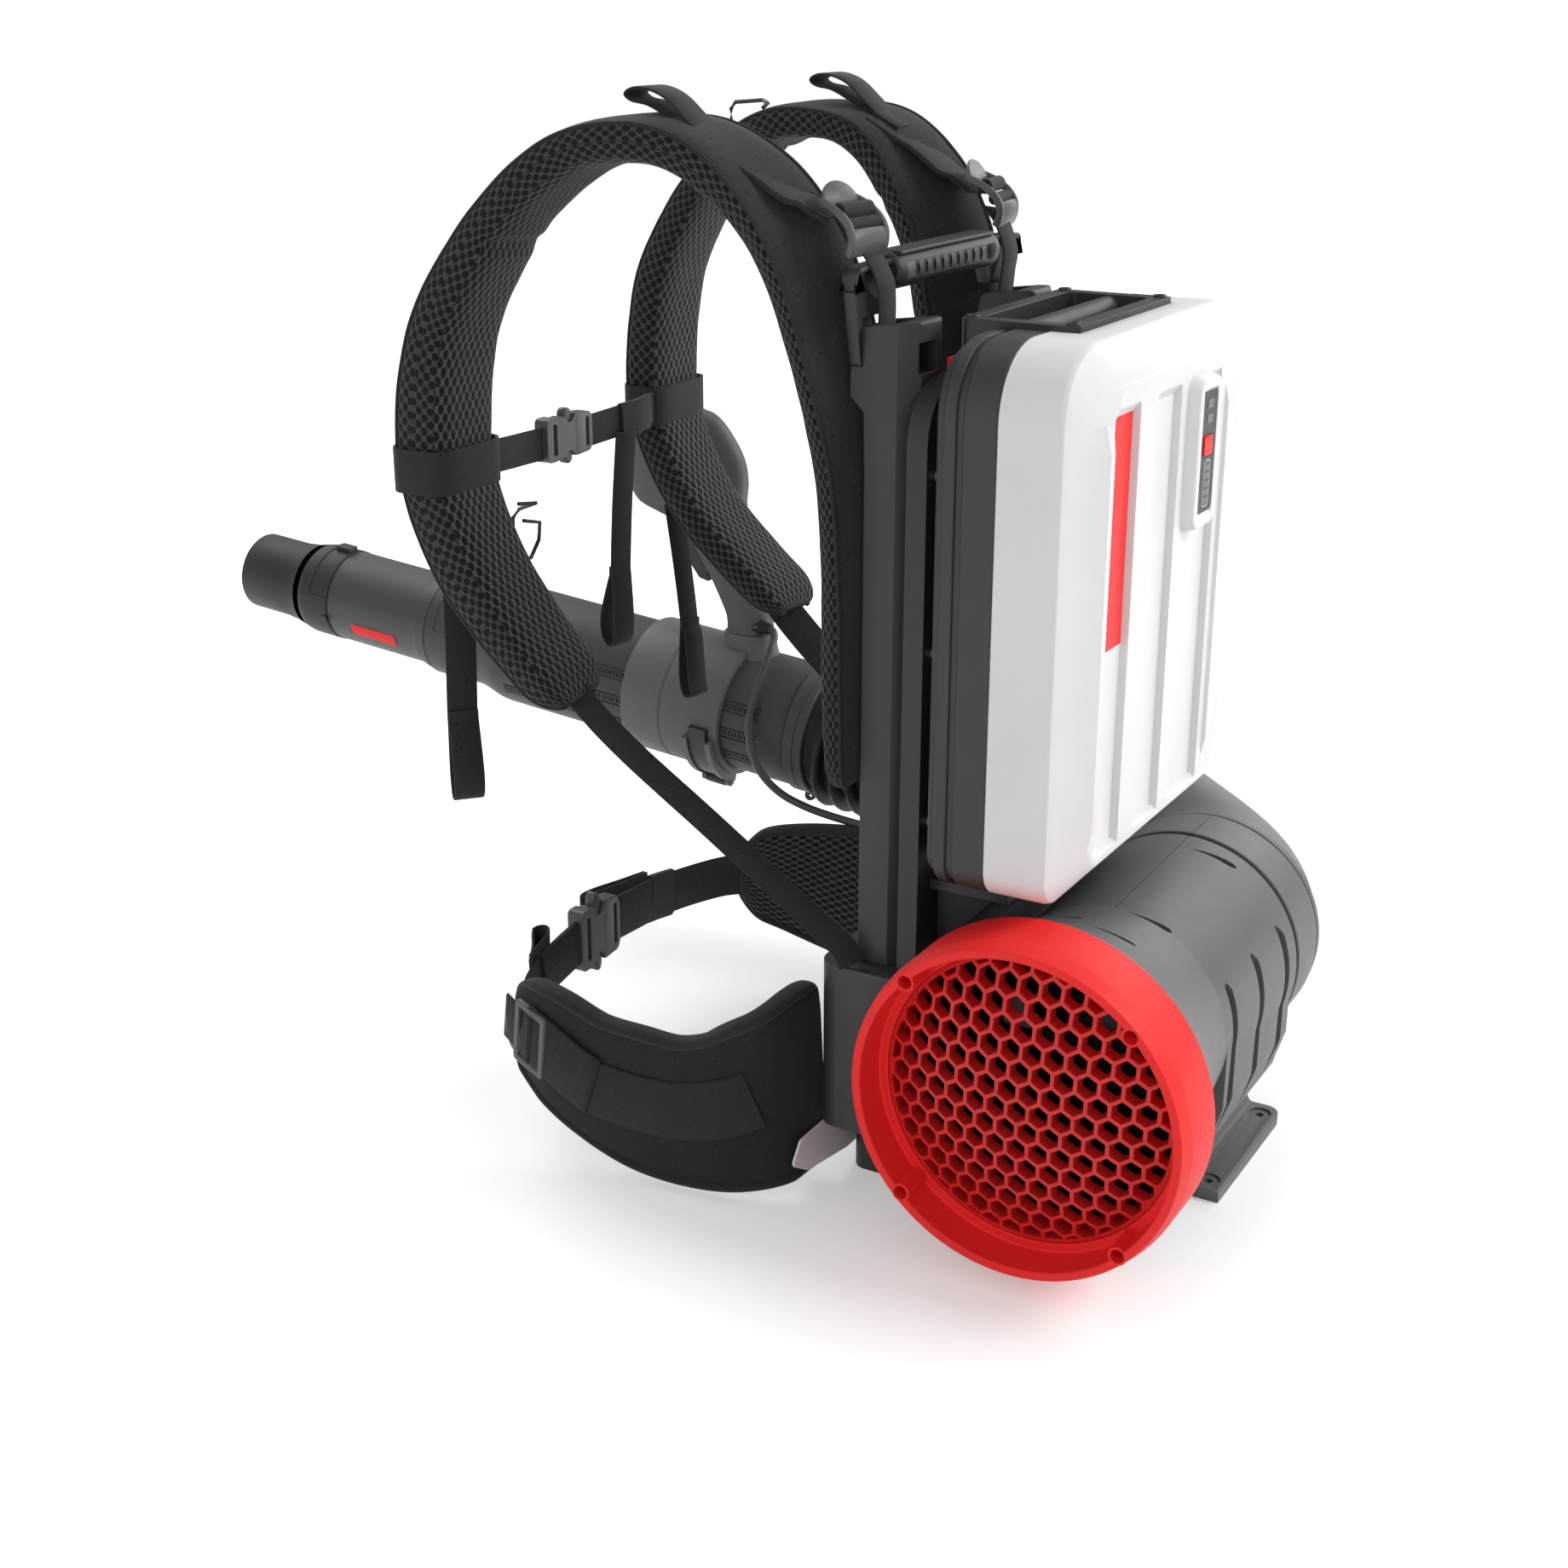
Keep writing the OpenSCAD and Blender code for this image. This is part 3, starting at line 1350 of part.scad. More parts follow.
hip_left_route = [
    [-152, 430, 97], [-132, 443, 100], [-104, 452, 106], [-74, 454, 112], [-47, 452, 118]
];
hip_right_route = [[8, 452, 118], [46, 454, 115], [84, 453, 108], [120, 446, 101], [150, 432, 97]];

module left_hip_webbing() {
    color(black) strap(hip_left_route, waist_webbing_w, webbing_t, [0, 0, 1]);
}

module right_hip_webbing() {
    color(black) strap(hip_right_route, waist_webbing_w, webbing_t, [0, 0, 1]);
}

waist_y = 452;
waist_z = 118;

module hip_buckle_socket() {
    color(dark) difference() {
        slab_y(plate_outline(-46, waist_z - 26, -14, waist_z + 26, 7, 7), waist_y - 7, waist_y + 7);
        box([-50, waist_y - 1.8, waist_z - 21], [-38, waist_y + 1.8, waist_z + 21]);
        box([-32, waist_y - 4.4, waist_z - 21], [-13, waist_y + 4.4, waist_z + 21]);
    }
}

module hip_buckle_plug() {
    color(dark) union() {
        difference() {
            slab_y(plate_outline(-13.6, waist_z - 23, 9, waist_z + 23, 6, 6), waist_y - 6, waist_y + 6);
            box([-1, waist_y - 1.8, waist_z - 20.5], [12, waist_y + 1.8, waist_z + 20.5]);
        }
        for (z = [waist_z - 20, waist_z - 5, waist_z + 10])
            box([-31, waist_y - 4, z], [-13, waist_y + 4, z + 10]);
    }
}

left_hook_route = [
    [-108, 444, 482], [-92, 440, 480], [-90, 457, 473], [-90, 463, 466], [-90, 464, 446], [-90, 458, 437],
    [-90, 448, 437], [-90, 440, 452], [-92, 437, 466], [-108, 440, 470]
];
right_hook_route = [
    [113, 366, 751], [120, 366, 754], [122, 372, 756], [122, 396, 754], [122, 400, 749],
    [121, 399, 741], [113, 397, 737]
];

module wire_hooks() {
    color(steel) {
        round_bar(left_hook_route, 1.6, 8);
        round_bar(right_hook_route, 1.6, 8);
    }
}

base_housing();
base_feet();
left_rail();
right_rail();
dock_plate();
dock_connector();
controller_board();
carry_handle();
frame_screws();
intake_ring();
intake_grille();
ring_screws();
housing_rear_half();
housing_front_half();
rear_foot();
stator_duct();
motor_stator();
motor_bearings();
impeller();
motor_rotor();
elbow();
bellows();
bellows_rear_clamp();
bellows_front_clamp();
main_tube();
extension_tube();
nozzle();
handle_carriage();
left_grip_shell();
right_grip_shell();
clamp_lever();
throttle_trigger();
cruise_lever();
stop_switch();
control_cable();
battery_rear_shell();
battery_front_shell();
battery_tray();
cell_block();
display_bezel();
display_button();
battery_latch();
latch_spring();
left_shoulder_pad();
right_shoulder_pad();
load_lifter_webbing();
lifter_buckles();
left_sternum_strap();
right_sternum_strap();
sternum_buckle_socket();
sternum_buckle_plug();
lower_strap_webbing();
left_hip_pad();
right_hip_pad();
hip_stiffener();
left_hip_webbing();
right_hip_webbing();
hip_buckle_socket();
hip_buckle_plug();
wire_hooks();
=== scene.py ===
"""Looks of the backpack leaf blower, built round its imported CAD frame. Places are in millimetres in the
part's own frame: X the wearer's right, Y the way the wearer faces, Z up."""

import json
import math

import bmesh
import bpy
from mathutils import Euler, Matrix, Vector
from mathutils.noise import noise
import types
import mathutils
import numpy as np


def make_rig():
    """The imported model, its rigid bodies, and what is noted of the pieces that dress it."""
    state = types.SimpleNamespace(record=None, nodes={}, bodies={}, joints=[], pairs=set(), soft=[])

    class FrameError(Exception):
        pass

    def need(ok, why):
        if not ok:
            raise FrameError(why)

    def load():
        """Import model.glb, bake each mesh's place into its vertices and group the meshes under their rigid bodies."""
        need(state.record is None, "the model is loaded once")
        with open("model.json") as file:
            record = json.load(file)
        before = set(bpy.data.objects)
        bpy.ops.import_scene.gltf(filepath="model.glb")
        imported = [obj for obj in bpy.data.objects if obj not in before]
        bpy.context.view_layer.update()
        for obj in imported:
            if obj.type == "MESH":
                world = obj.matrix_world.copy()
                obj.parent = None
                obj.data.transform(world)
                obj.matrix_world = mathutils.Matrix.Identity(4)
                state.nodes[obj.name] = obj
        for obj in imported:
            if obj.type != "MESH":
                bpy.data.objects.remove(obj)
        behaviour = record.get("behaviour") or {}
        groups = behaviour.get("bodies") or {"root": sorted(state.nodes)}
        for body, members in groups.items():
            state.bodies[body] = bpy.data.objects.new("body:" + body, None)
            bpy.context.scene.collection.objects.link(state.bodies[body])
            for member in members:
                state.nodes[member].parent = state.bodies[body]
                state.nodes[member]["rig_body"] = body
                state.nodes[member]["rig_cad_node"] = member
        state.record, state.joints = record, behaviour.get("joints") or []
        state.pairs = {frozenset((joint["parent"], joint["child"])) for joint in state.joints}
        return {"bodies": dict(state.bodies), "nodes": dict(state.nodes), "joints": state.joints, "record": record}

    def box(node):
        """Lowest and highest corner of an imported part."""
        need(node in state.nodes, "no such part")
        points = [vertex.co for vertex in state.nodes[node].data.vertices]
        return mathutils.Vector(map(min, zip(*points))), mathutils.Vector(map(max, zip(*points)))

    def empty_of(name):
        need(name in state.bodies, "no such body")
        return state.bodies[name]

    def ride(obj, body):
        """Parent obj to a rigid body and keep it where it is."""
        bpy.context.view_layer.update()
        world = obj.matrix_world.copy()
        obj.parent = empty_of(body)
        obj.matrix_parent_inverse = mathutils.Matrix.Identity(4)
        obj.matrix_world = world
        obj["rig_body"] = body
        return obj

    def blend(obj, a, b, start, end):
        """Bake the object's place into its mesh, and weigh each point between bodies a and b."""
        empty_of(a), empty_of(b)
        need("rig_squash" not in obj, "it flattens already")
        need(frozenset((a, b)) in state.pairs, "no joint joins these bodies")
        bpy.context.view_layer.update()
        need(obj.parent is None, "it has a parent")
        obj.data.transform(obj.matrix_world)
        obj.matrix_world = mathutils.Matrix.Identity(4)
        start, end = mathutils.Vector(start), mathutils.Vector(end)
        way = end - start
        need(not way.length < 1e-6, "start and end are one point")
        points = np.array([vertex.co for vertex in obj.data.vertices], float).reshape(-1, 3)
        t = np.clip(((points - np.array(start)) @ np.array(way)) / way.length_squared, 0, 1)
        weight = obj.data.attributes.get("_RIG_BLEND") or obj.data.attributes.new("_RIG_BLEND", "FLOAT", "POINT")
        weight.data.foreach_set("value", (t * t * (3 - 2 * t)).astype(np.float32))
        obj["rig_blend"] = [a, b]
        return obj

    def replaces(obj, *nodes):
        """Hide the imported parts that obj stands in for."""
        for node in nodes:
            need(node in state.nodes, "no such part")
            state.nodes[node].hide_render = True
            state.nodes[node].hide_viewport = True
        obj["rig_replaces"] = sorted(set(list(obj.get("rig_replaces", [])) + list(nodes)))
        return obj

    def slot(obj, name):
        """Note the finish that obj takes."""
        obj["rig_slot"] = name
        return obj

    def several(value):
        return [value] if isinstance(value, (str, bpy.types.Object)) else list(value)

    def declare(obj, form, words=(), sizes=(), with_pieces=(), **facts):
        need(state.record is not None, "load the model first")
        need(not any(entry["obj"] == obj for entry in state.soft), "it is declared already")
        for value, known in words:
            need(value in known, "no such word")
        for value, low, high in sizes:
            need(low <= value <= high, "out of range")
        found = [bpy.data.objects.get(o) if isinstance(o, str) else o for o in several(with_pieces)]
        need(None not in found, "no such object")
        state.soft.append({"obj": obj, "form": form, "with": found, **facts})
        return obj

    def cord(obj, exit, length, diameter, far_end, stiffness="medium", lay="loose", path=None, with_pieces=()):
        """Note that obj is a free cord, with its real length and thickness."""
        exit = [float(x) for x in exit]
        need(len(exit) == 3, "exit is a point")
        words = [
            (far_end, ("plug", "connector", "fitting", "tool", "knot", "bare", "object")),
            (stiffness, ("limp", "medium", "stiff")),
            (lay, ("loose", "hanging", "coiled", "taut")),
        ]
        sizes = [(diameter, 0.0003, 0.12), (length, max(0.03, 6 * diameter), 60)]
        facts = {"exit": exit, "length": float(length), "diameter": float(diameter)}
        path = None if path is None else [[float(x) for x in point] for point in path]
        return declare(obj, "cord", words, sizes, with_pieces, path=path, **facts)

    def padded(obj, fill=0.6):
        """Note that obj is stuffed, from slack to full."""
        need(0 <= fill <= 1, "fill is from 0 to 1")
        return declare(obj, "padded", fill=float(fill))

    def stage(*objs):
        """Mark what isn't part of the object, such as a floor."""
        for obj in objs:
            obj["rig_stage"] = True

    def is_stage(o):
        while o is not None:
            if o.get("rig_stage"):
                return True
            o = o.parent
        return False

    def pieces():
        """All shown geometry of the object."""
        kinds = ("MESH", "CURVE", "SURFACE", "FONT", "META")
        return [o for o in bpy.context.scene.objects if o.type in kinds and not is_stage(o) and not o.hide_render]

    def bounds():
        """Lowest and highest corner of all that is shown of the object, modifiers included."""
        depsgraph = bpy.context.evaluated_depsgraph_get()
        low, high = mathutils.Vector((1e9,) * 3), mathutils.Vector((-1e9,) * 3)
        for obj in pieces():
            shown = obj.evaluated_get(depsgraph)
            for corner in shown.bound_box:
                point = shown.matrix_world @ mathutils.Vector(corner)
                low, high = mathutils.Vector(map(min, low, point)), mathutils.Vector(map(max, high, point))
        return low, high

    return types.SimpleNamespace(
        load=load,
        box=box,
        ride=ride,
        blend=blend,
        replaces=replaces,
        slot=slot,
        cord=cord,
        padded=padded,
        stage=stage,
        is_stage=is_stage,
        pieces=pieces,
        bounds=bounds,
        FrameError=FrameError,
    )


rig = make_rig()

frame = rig.load()
cad_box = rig.bounds()

MM = 0.001
X, Y, Z = Vector((1, 0, 0)), Vector((0, 1, 0)), Vector((0, 0, 1))


# ---------------------------------------------------------------- numbers

def low(node):
    """Lowest corner of a CAD node in millimetres."""
    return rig.box(node)[0] / MM


def high(node):
    """Highest corner of a CAD node in millimetres."""
    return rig.box(node)[1] / MM


def mix(a, b, t):
    return a + (b - a) * t


def turned(degrees):
    """Cosine and sine of an angle in degrees."""
    return math.cos(math.radians(degrees)), math.sin(math.radians(degrees))


def smooth_step(t):
    t = min(max(t, 0.0), 1.0)
    return t * t * (3 - 2 * t)


def power(value, exponent):
    """A power of the value's size that keeps its sign: below 1 it makes a circle squarer."""
    return math.copysign(abs(value) ** exponent, value)


def end_round(distance, reach):
    """0 at an end and 1 from some reach on, rising as a quarter circle."""
    return math.sqrt(max(0.0, 1 - (1 - min(1, distance / reach)) ** 2))


def smooth_path(points, steps):
    """A smooth curve through every point, with some steps between neighbours. Points may carry more numbers."""
    path = []
    count = len(points)
    for i in range(count - 1):
        a, b, c, d = (points[min(max(k, 0), count - 1)] for k in (i - 1, i, i + 1, i + 2))
        for k in range(steps):
            t = k / steps
            path.append(tuple(
                0.5 * (2 * q + (r - p) * t + (2 * p - 5 * q + 4 * r - s) * t * t
                       + (3 * q - 3 * r + s - p) * t ** 3)
                for p, q, r, s in zip(a, b, c, d)))
    path.append(tuple(points[-1]))
    return path


def place(point):
    return Vector(point[:3])


def heading(path, i):
    return (place(path[min(i + 1, len(path) - 1)]) - place(path[max(i - 1, 0)])).normalized()


def distances(path):
    """Length of the path up to each of its points."""
    run = [0.0]
    for a, b in zip(path, path[1:]):
        run.append(run[-1] + (place(b) - place(a)).length)
    return run


def rounded(points, steps=6):
    """Flat outline with rounded corners, each corner given as (x, y, radius)."""
    outline = []
    count = len(points)
    for i, (x, y, radius) in enumerate(points):
        p = Vector((x, y))
        if radius == 0:
            outline.append(p)
            continue
        a = (Vector(points[i - 1][:2]) - p).normalized()
        b = (Vector(points[(i + 1) % count][:2]) - p).normalized()
        half = math.acos(max(-1, min(1, a.dot(b)))) / 2
        centre = p + (a + b).normalized() * radius / math.sin(half)
        start = p + a * radius / math.tan(half) - centre
        end = p + b * radius / math.tan(half) - centre
        turn = math.pi - 2 * half
        for k in range(steps + 1):
            t = k / steps
            arm = start * math.sin(turn * (1 - t)) + end * math.sin(turn * t)
            outline.append(centre + arm / math.sin(turn))
    return outline


def rectangle(x0, y0, x1, y1, low_r, top_r, steps=10):
    return rounded([(x0, y0, low_r), (x1, y0, low_r), (x1, y1, top_r), (x0, y1, top_r)], steps)


def oval(x, y, half_x, half_y, angles):
    """Points of an ellipse, or of an arc of one, at the angles given in degrees."""
    return [(x + half_x * turned(a)[0], y + half_y * turned(a)[1]) for a in angles]


# ---------------------------------------------------------------- meshes

def new_object(name, points, faces):
    mesh = bpy.data.meshes.new(name)
    mesh.from_pydata([tuple(Vector(p) * MM) for p in points], [], faces)
    mesh.update()
    obj = bpy.data.objects.new(name, mesh)
    bpy.context.scene.collection.objects.link(obj)
    return obj


def tidy(obj):
    """Merges doubled points and turns the faces outward."""
    bm = bmesh.new()
    bm.from_mesh(obj.data)
    bmesh.ops.remove_doubles(bm, verts=bm.verts, dist=0.00001)
    bmesh.ops.recalc_face_normals(bm, faces=bm.faces)
    bm.to_mesh(obj.data)
    bm.free()
    return obj


def shade(obj, angle=35):
    obj.data.shade_smooth()
    obj.data.set_sharp_from_angle(angle=math.radians(angle))
    return obj


def bevel(obj, width, segments=3, angle=30):
    """Rounds every edge sharper than an angle."""
    modifier = obj.modifiers.new("bevel", "BEVEL")
    modifier.width = width * MM
    modifier.segments = segments
    modifier.limit_method = "ANGLE"
    modifier.angle_limit = math.radians(angle)
    modifier.harden_normals = True
    modifier.use_clamp_overlap = True
    return obj


def applied(obj):
    """Turns the object's modifiers into its own mesh."""
    bpy.context.view_layer.update()
    graph = bpy.context.evaluated_depsgraph_get()
    mesh = bpy.data.meshes.new_from_object(obj.evaluated_get(graph))
    obj.modifiers.clear()
    obj.data = mesh
    return obj


def boolean(obj, cutters, operation="DIFFERENCE"):
    """Cuts the cutters from obj, or joins them to it, and removes them."""
    for cutter in cutters:
        modifier = obj.modifiers.new("boolean", "BOOLEAN")
        modifier.operation = operation
        modifier.solver = "EXACT"
        modifier.object = cutter
    applied(obj)
    for cutter in cutters:
        bpy.data.objects.remove(cutter)
    return obj


def joined(name, parts):
    """One object that holds several, with their materials kept."""
    for part in parts:
        if part.modifiers:
            applied(part)
    mesh = bpy.data.meshes.new(name)
    bm = bmesh.new()
    looks = []
    for part in parts:
        slots = list(part.data.materials) or [None]
        part.data.transform(part.matrix_world)
        first = len(bm.faces)
        bm.from_mesh(part.data)
        bm.faces.ensure_lookup_table()
        for look in slots:
            if look not in looks:
                looks.append(look)
        for face in bm.faces[first:]:
            face.material_index = looks.index(slots[min(face.material_index, len(slots) - 1)])
    bm.to_mesh(mesh)
    bm.free()
    for look in looks:
        mesh.materials.append(look)
    for part in parts:
        bpy.data.objects.remove(part)
    obj = bpy.data.objects.new(name, mesh)
    bpy.context.scene.collection.objects.link(obj)
    return obj


def loft(name, rings, caps=True, loop=False):
    """Skin over closed rings of points. Its UV map holds the lengths round and along the skin, in metres."""
    sides = len(rings[0])
    points = [p for ring in rings for p in ring]
    spans = len(rings) if loop else len(rings) - 1
    faces = []
    for i in range(spans):
        a, b = i * sides, (i + 1) % len(rings) * sides
        for j in range(sides):
            k = (j + 1) % sides
            faces.append((a + j, b + j, b + k, a + k))
    if caps and not loop:
        faces.append(tuple(range(sides)))
        faces.append(tuple(reversed(range((len(rings) - 1) * sides, len(rings) * sides))))
    obj = new_object(name, points, faces)
    along = [0.0]
    for i in range(spans):
        a, b = rings[i], rings[(i + 1) % len(rings)]
        along.append(along[-1] + sum((Vector(q) - Vector(p)).length for p, q in zip(a, b)) / sides)
    widest = max(rings, key=lambda r: sum((Vector(r[j]) - Vector(r[j - 1])).length for j in range(sides)))
    around = [0.0]
    for j in range(sides):
        around.append(around[-1] + (Vector(widest[(j + 1) % sides]) - Vector(widest[j])).length)
    layer = obj.data.uv_layers.new(name="cloth").data
    for index in range(spans * sides):
        i, j = divmod(index, sides)
        corners = ((around[j], along[i]), (around[j], along[i + 1]),
                   (around[j + 1], along[i + 1]), (around[j + 1], along[i]))
        for k, (u, v) in enumerate(corners):
            layer[index * 4 + k].uv = (u * MM, v * MM)
    return obj


def prism(name, outline, axis, start, end):
    """Flat outline drawn out along an axis: 'x' takes (y, z) points, 'y' takes (x, z) and 'z' takes (x, y)."""
    spread = {
        "x": lambda p, d: (d, p[0], p[1]),
        "y": lambda p, d: (p[0], d, p[1]),
        "z": lambda p, d: (p[0], p[1], d),
    }
    count = len(outline)
    points = [spread[axis](p, start) for p in outline] + [spread[axis](p, end) for p in outline]
    faces = [tuple(range(count)), tuple(reversed(range(count, 2 * count)))]
    faces += [(i, i + count, (i + 1) % count + count, (i + 1) % count) for i in range(count)]
    return tidy(new_object(name, points, faces))


def block(name, a, b):
    return prism(name, [(a[0], a[1]), (b[0], a[1]), (b[0], b[1]), (a[0], b[1])], "z", a[2], b[2])


def circle_ring(centre, u, v, radius, sides):
    ring = []
    for k in range(sides):
        c, s = turned(360 * (k + 0.5) / sides)
        ring.append(centre + u * radius * c + v * radius * s)
    return ring


def lathe(name, profile, origin, axis, sides=96, closed=True):
    """Turned body: the profile is (radius, distance along the axis), and a closed one ends where it starts."""
    axis = Vector(axis).normalized()
    u = axis.cross(Y if abs(axis.y) < 0.9 else X).normalized()
    v = axis.cross(u)
    rings = [circle_ring(Vector(origin) + axis * d, u, v, r, sides) for r, d in profile]
    return tidy(loft(name, rings, caps=not closed, loop=closed))


def rod(name, start, end, radius, sides=32):
    start, end = Vector(start), Vector(end)
    return lathe(name, [(radius, 0), (radius, (end - start).length)], start, end - start, sides, closed=False)


def tube(name, path, radius, sides=16):
    """Round bar along a path, with the section turned as little as can be."""
    rings = []
    u = None
    for i, point in enumerate(path):
        d = heading(path, i)
        if u is None:
            u = d.cross(X if abs(d.x) < 0.9 else Y).normalized()
        u = (u - d * u.dot(d)).normalized()
        rings.append(circle_ring(place(point), u, d.cross(u), radius, sides))
    return loft(name, rings)


EDGE_STEPS = 3


def strap(name, path, width, thick, across):
    """Flat webbing along a path, with rounded edges. Across is the direction of its width. A point may
    carry its own width as a fourth number."""
    rings = []
    for i, point in enumerate(path):
        d = heading(path, i)
        out = d.cross(Vector(across)).normalized()
        side = out.cross(d).normalized()
        wide = point[3] if len(point) > 3 else width
        a, b = wide / 2 - thick / 2, thick / 2
        ring = []
        for turn, sign in ((-90, 1), (90, -1)):
            for k in range(EDGE_STEPS + 1):
                c, s = turned(turn + 180 * k / EDGE_STEPS)
                ring.append(place(point) + side * (sign * a + b * c) + out * b * s)
        rings.append(ring)
    return loft(name, rings)


def dressed(obj, look):
    obj.data.materials.clear()
    obj.data.materials.append(look)
    return obj


def mirrored(obj):
    """Mirrors a mesh in the frame's middle plane."""
    obj.data.transform(Matrix.Scale(-1, 4, X))
    obj.data.flip_normals()
    return obj


def piece(obj, body, slot, look, *nodes):
    """Gives a piece its body, slot and look, unless it has one, and hides the CAD nodes it stands for."""
    if look is not None and not any(obj.data.materials):
        dressed(obj, look)
    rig.ride(obj, body)
    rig.slot(obj, slot)
    if nodes:
        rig.replaces(obj, *nodes)
    return obj


def cad_copy(node, width=0.8, segments=2, angle=30, smooth=35):
    """A copy of a CAD node with flat faces made whole and its sharp edges rounded."""
    obj = frame["nodes"][node].copy()
    obj.data = obj.data.copy()
    obj.parent = None
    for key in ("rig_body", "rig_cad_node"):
        del obj[key]
    obj.name = obj.data.name = node + "_finished"
    bpy.context.scene.collection.objects.link(obj)
    bm = bmesh.new()
    bm.from_mesh(obj.data)
    bmesh.ops.remove_doubles(bm, verts=bm.verts, dist=0.000005)
    bmesh.ops.dissolve_limit(
        bm, angle_limit=math.radians(0.6), use_dissolve_boundaries=False, verts=bm.verts, edges=bm.edges)
    bm.to_mesh(obj.data)
    bm.free()
    obj.data.materials.clear()
    shade(obj, smooth)
    if width:
        bevel(obj, width, segments, angle)
    return obj


# ---------------------------------------------------------------- materials

class Look:
    """A node material that is built step by step round one Principled shader."""

    def __init__(self, name, roughness, **sockets):
        self.material = bpy.data.materials.new(name)
        self.material.use_nodes = True
        self.tree = self.material.node_tree
        self.shader = self.tree.nodes["Principled BSDF"]
        self.shader.inputs["Roughness"].default_value = roughness
        for socket, value in sockets.items():
            self.shader.inputs[socket.replace("_", " ")].default_value = value
        self.height = None

    def node(self, kind, **settings):
        node = self.tree.nodes.new("ShaderNode" + kind)
        for key, value in settings.items():
            setattr(node, key, value)
        return node

    def feed(self, socket, value):
        if hasattr(value, "is_output"):
            self.tree.links.new(value, socket)
        else:
            socket.default_value = value

    def math(self, operation, a, b=0.0, c=0.0, clamp=False):
        node = self.node("Math", operation=operation, use_clamp=clamp)
        for socket, value in zip(node.inputs, (a, b, c)):
            self.feed(socket, value)
        return node.outputs[0]

    def place(self):
        return self.node("TexCoord").outputs["Object"]

    def uv(self):
        node = self.node("UVMap", uv_map="cloth")
        split = self.node("SeparateXYZ")
        self.tree.links.new(node.outputs[0], split.inputs[0])
        return split.outputs[0], split.outputs[1]

    def noise(self, scale, detail=2.0, rough=0.5):
        node = self.node("TexNoise")
        self.feed(node.inputs["Vector"], self.place())
        node.inputs["Scale"].default_value = scale
        node.inputs["Detail"].default_value = detail
        node.inputs["Roughness"].default_value = rough
        return node.outputs["Fac"]

    def ramp(self, value, low, high):
        """0 below low, 1 above high."""
        node = self.node("MapRange")
        self.feed(node.inputs["Value"], value)
        node.inputs["From Min"].default_value = low
        node.inputs["From Max"].default_value = high
        return node.outputs["Result"]

    def blend(self, factor, dark, light):
        node = self.node("Mix", data_type="RGBA")
        self.feed(node.inputs["Factor"], factor)
        for socket, colour in ((node.inputs[6], dark), (node.inputs[7], light)):
            self.feed(socket, colour if hasattr(colour, "is_output") else (*colour, 1.0))
        return node.outputs[2]

    def colour(self, value):
        self.feed(self.shader.inputs["Base Color"], value)
        return self

    def rough(self, factor, low, high):
        node = self.node("MapRange")
        self.feed(node.inputs["Value"], factor)
        node.inputs["To Min"].default_value = low
        node.inputs["To Max"].default_value = high
        self.feed(self.shader.inputs["Roughness"], node.outputs["Result"])
        return self

    def bump(self, height, depth, strength=1.0):
        node = self.node("Bump")
        node.inputs["Strength"].default_value = strength
        node.inputs["Distance"].default_value = depth * MM
        self.feed(node.inputs["Height"], height)
        if self.height is not None:
            self.feed(node.inputs["Normal"], self.height)
        self.height = node.outputs["Normal"]
        self.feed(self.shader.inputs["Normal"], self.height)
        return self

    def edges(self):
        """Near 1 on outer edges, from the shape's own curvature."""
        return self.ramp(self.node("NewGeometry").outputs["Pointiness"], 0.52, 0.6)


def plastic(name, colour, roughness, grain=0.05, sheen_level=0.45, edge=0.25):
    """Moulded plastic: fine spark-eroded grain, faint tone changes and a painted highlight that lightens the outer
    edges.
    """
    look = Look(name, roughness, Specular_IOR_Level=sheen_level)
    lighter = tuple(min(1.0, c * 1.12 + 0.002) for c in colour)
    # painted highlight: outer edges, found from the shape's curvature, take a lighter copy of the colour, by the share
    # edge
    edge_highlight = tuple(min(1.0, c * (1 + edge) + 0.01 * edge) for c in colour)
    base = look.blend(look.noise(14, 3), colour, lighter)
    look.colour(look.blend(look.edges(), base, edge_highlight))
    look.rough(look.noise(60, 4), roughness - 0.06, roughness + 0.06)
    look.bump(look.noise(1500, 2, 0.6), grain, 0.35)
    look.bump(look.noise(40, 2), 0.04, 0.1)
    return look.material


def woven(name, colour, thread=1.1, specks=0.5):
    """Close twill of a pad's outer cover, with stray dark threads."""
    look = Look(name, 0.85, Sheen_Weight=0.12, Specular_IOR_Level=0.25)
    look.shader.inputs["Sheen Roughness"].default_value = 0.5
    u, v = look.uv()
    step = 2 * math.pi / (thread * MM)
    diagonal = look.math("MULTIPLY", look.math("ADD", u, v), step)
    counter = look.math("MULTIPLY", look.math("SUBTRACT", u, v), step * 0.5)
    warp = look.math("SINE", diagonal)
    weft = look.math("SINE", counter)
    pattern = look.math("MULTIPLY_ADD", look.math("MULTIPLY", warp, weft), 0.5, 0.5)
    dark = tuple(c * 0.72 for c in colour)
    base = look.blend(pattern, dark, colour)
    cloudy = look.blend(look.noise(35, 3), tuple(c * 0.9 for c in colour), tuple(c * 1.15 for c in colour))
    mixed = look.node("Mix", data_type="RGBA")
    mixed.inputs["Factor"].default_value = 0.5
    look.feed(mixed.inputs[6], base)
    look.feed(mixed.inputs[7], cloudy)
    speck = look.ramp(look.noise(420, 0), 0.74 - 0.02 * specks, 0.78)
    look.colour(look.blend(speck, mixed.outputs[2], tuple(c * 0.25 for c in colour)))
    look.bump(pattern, 0.25, 0.6)
    look.bump(look.noise(900, 2), 0.1, 0.3)
    return look.material


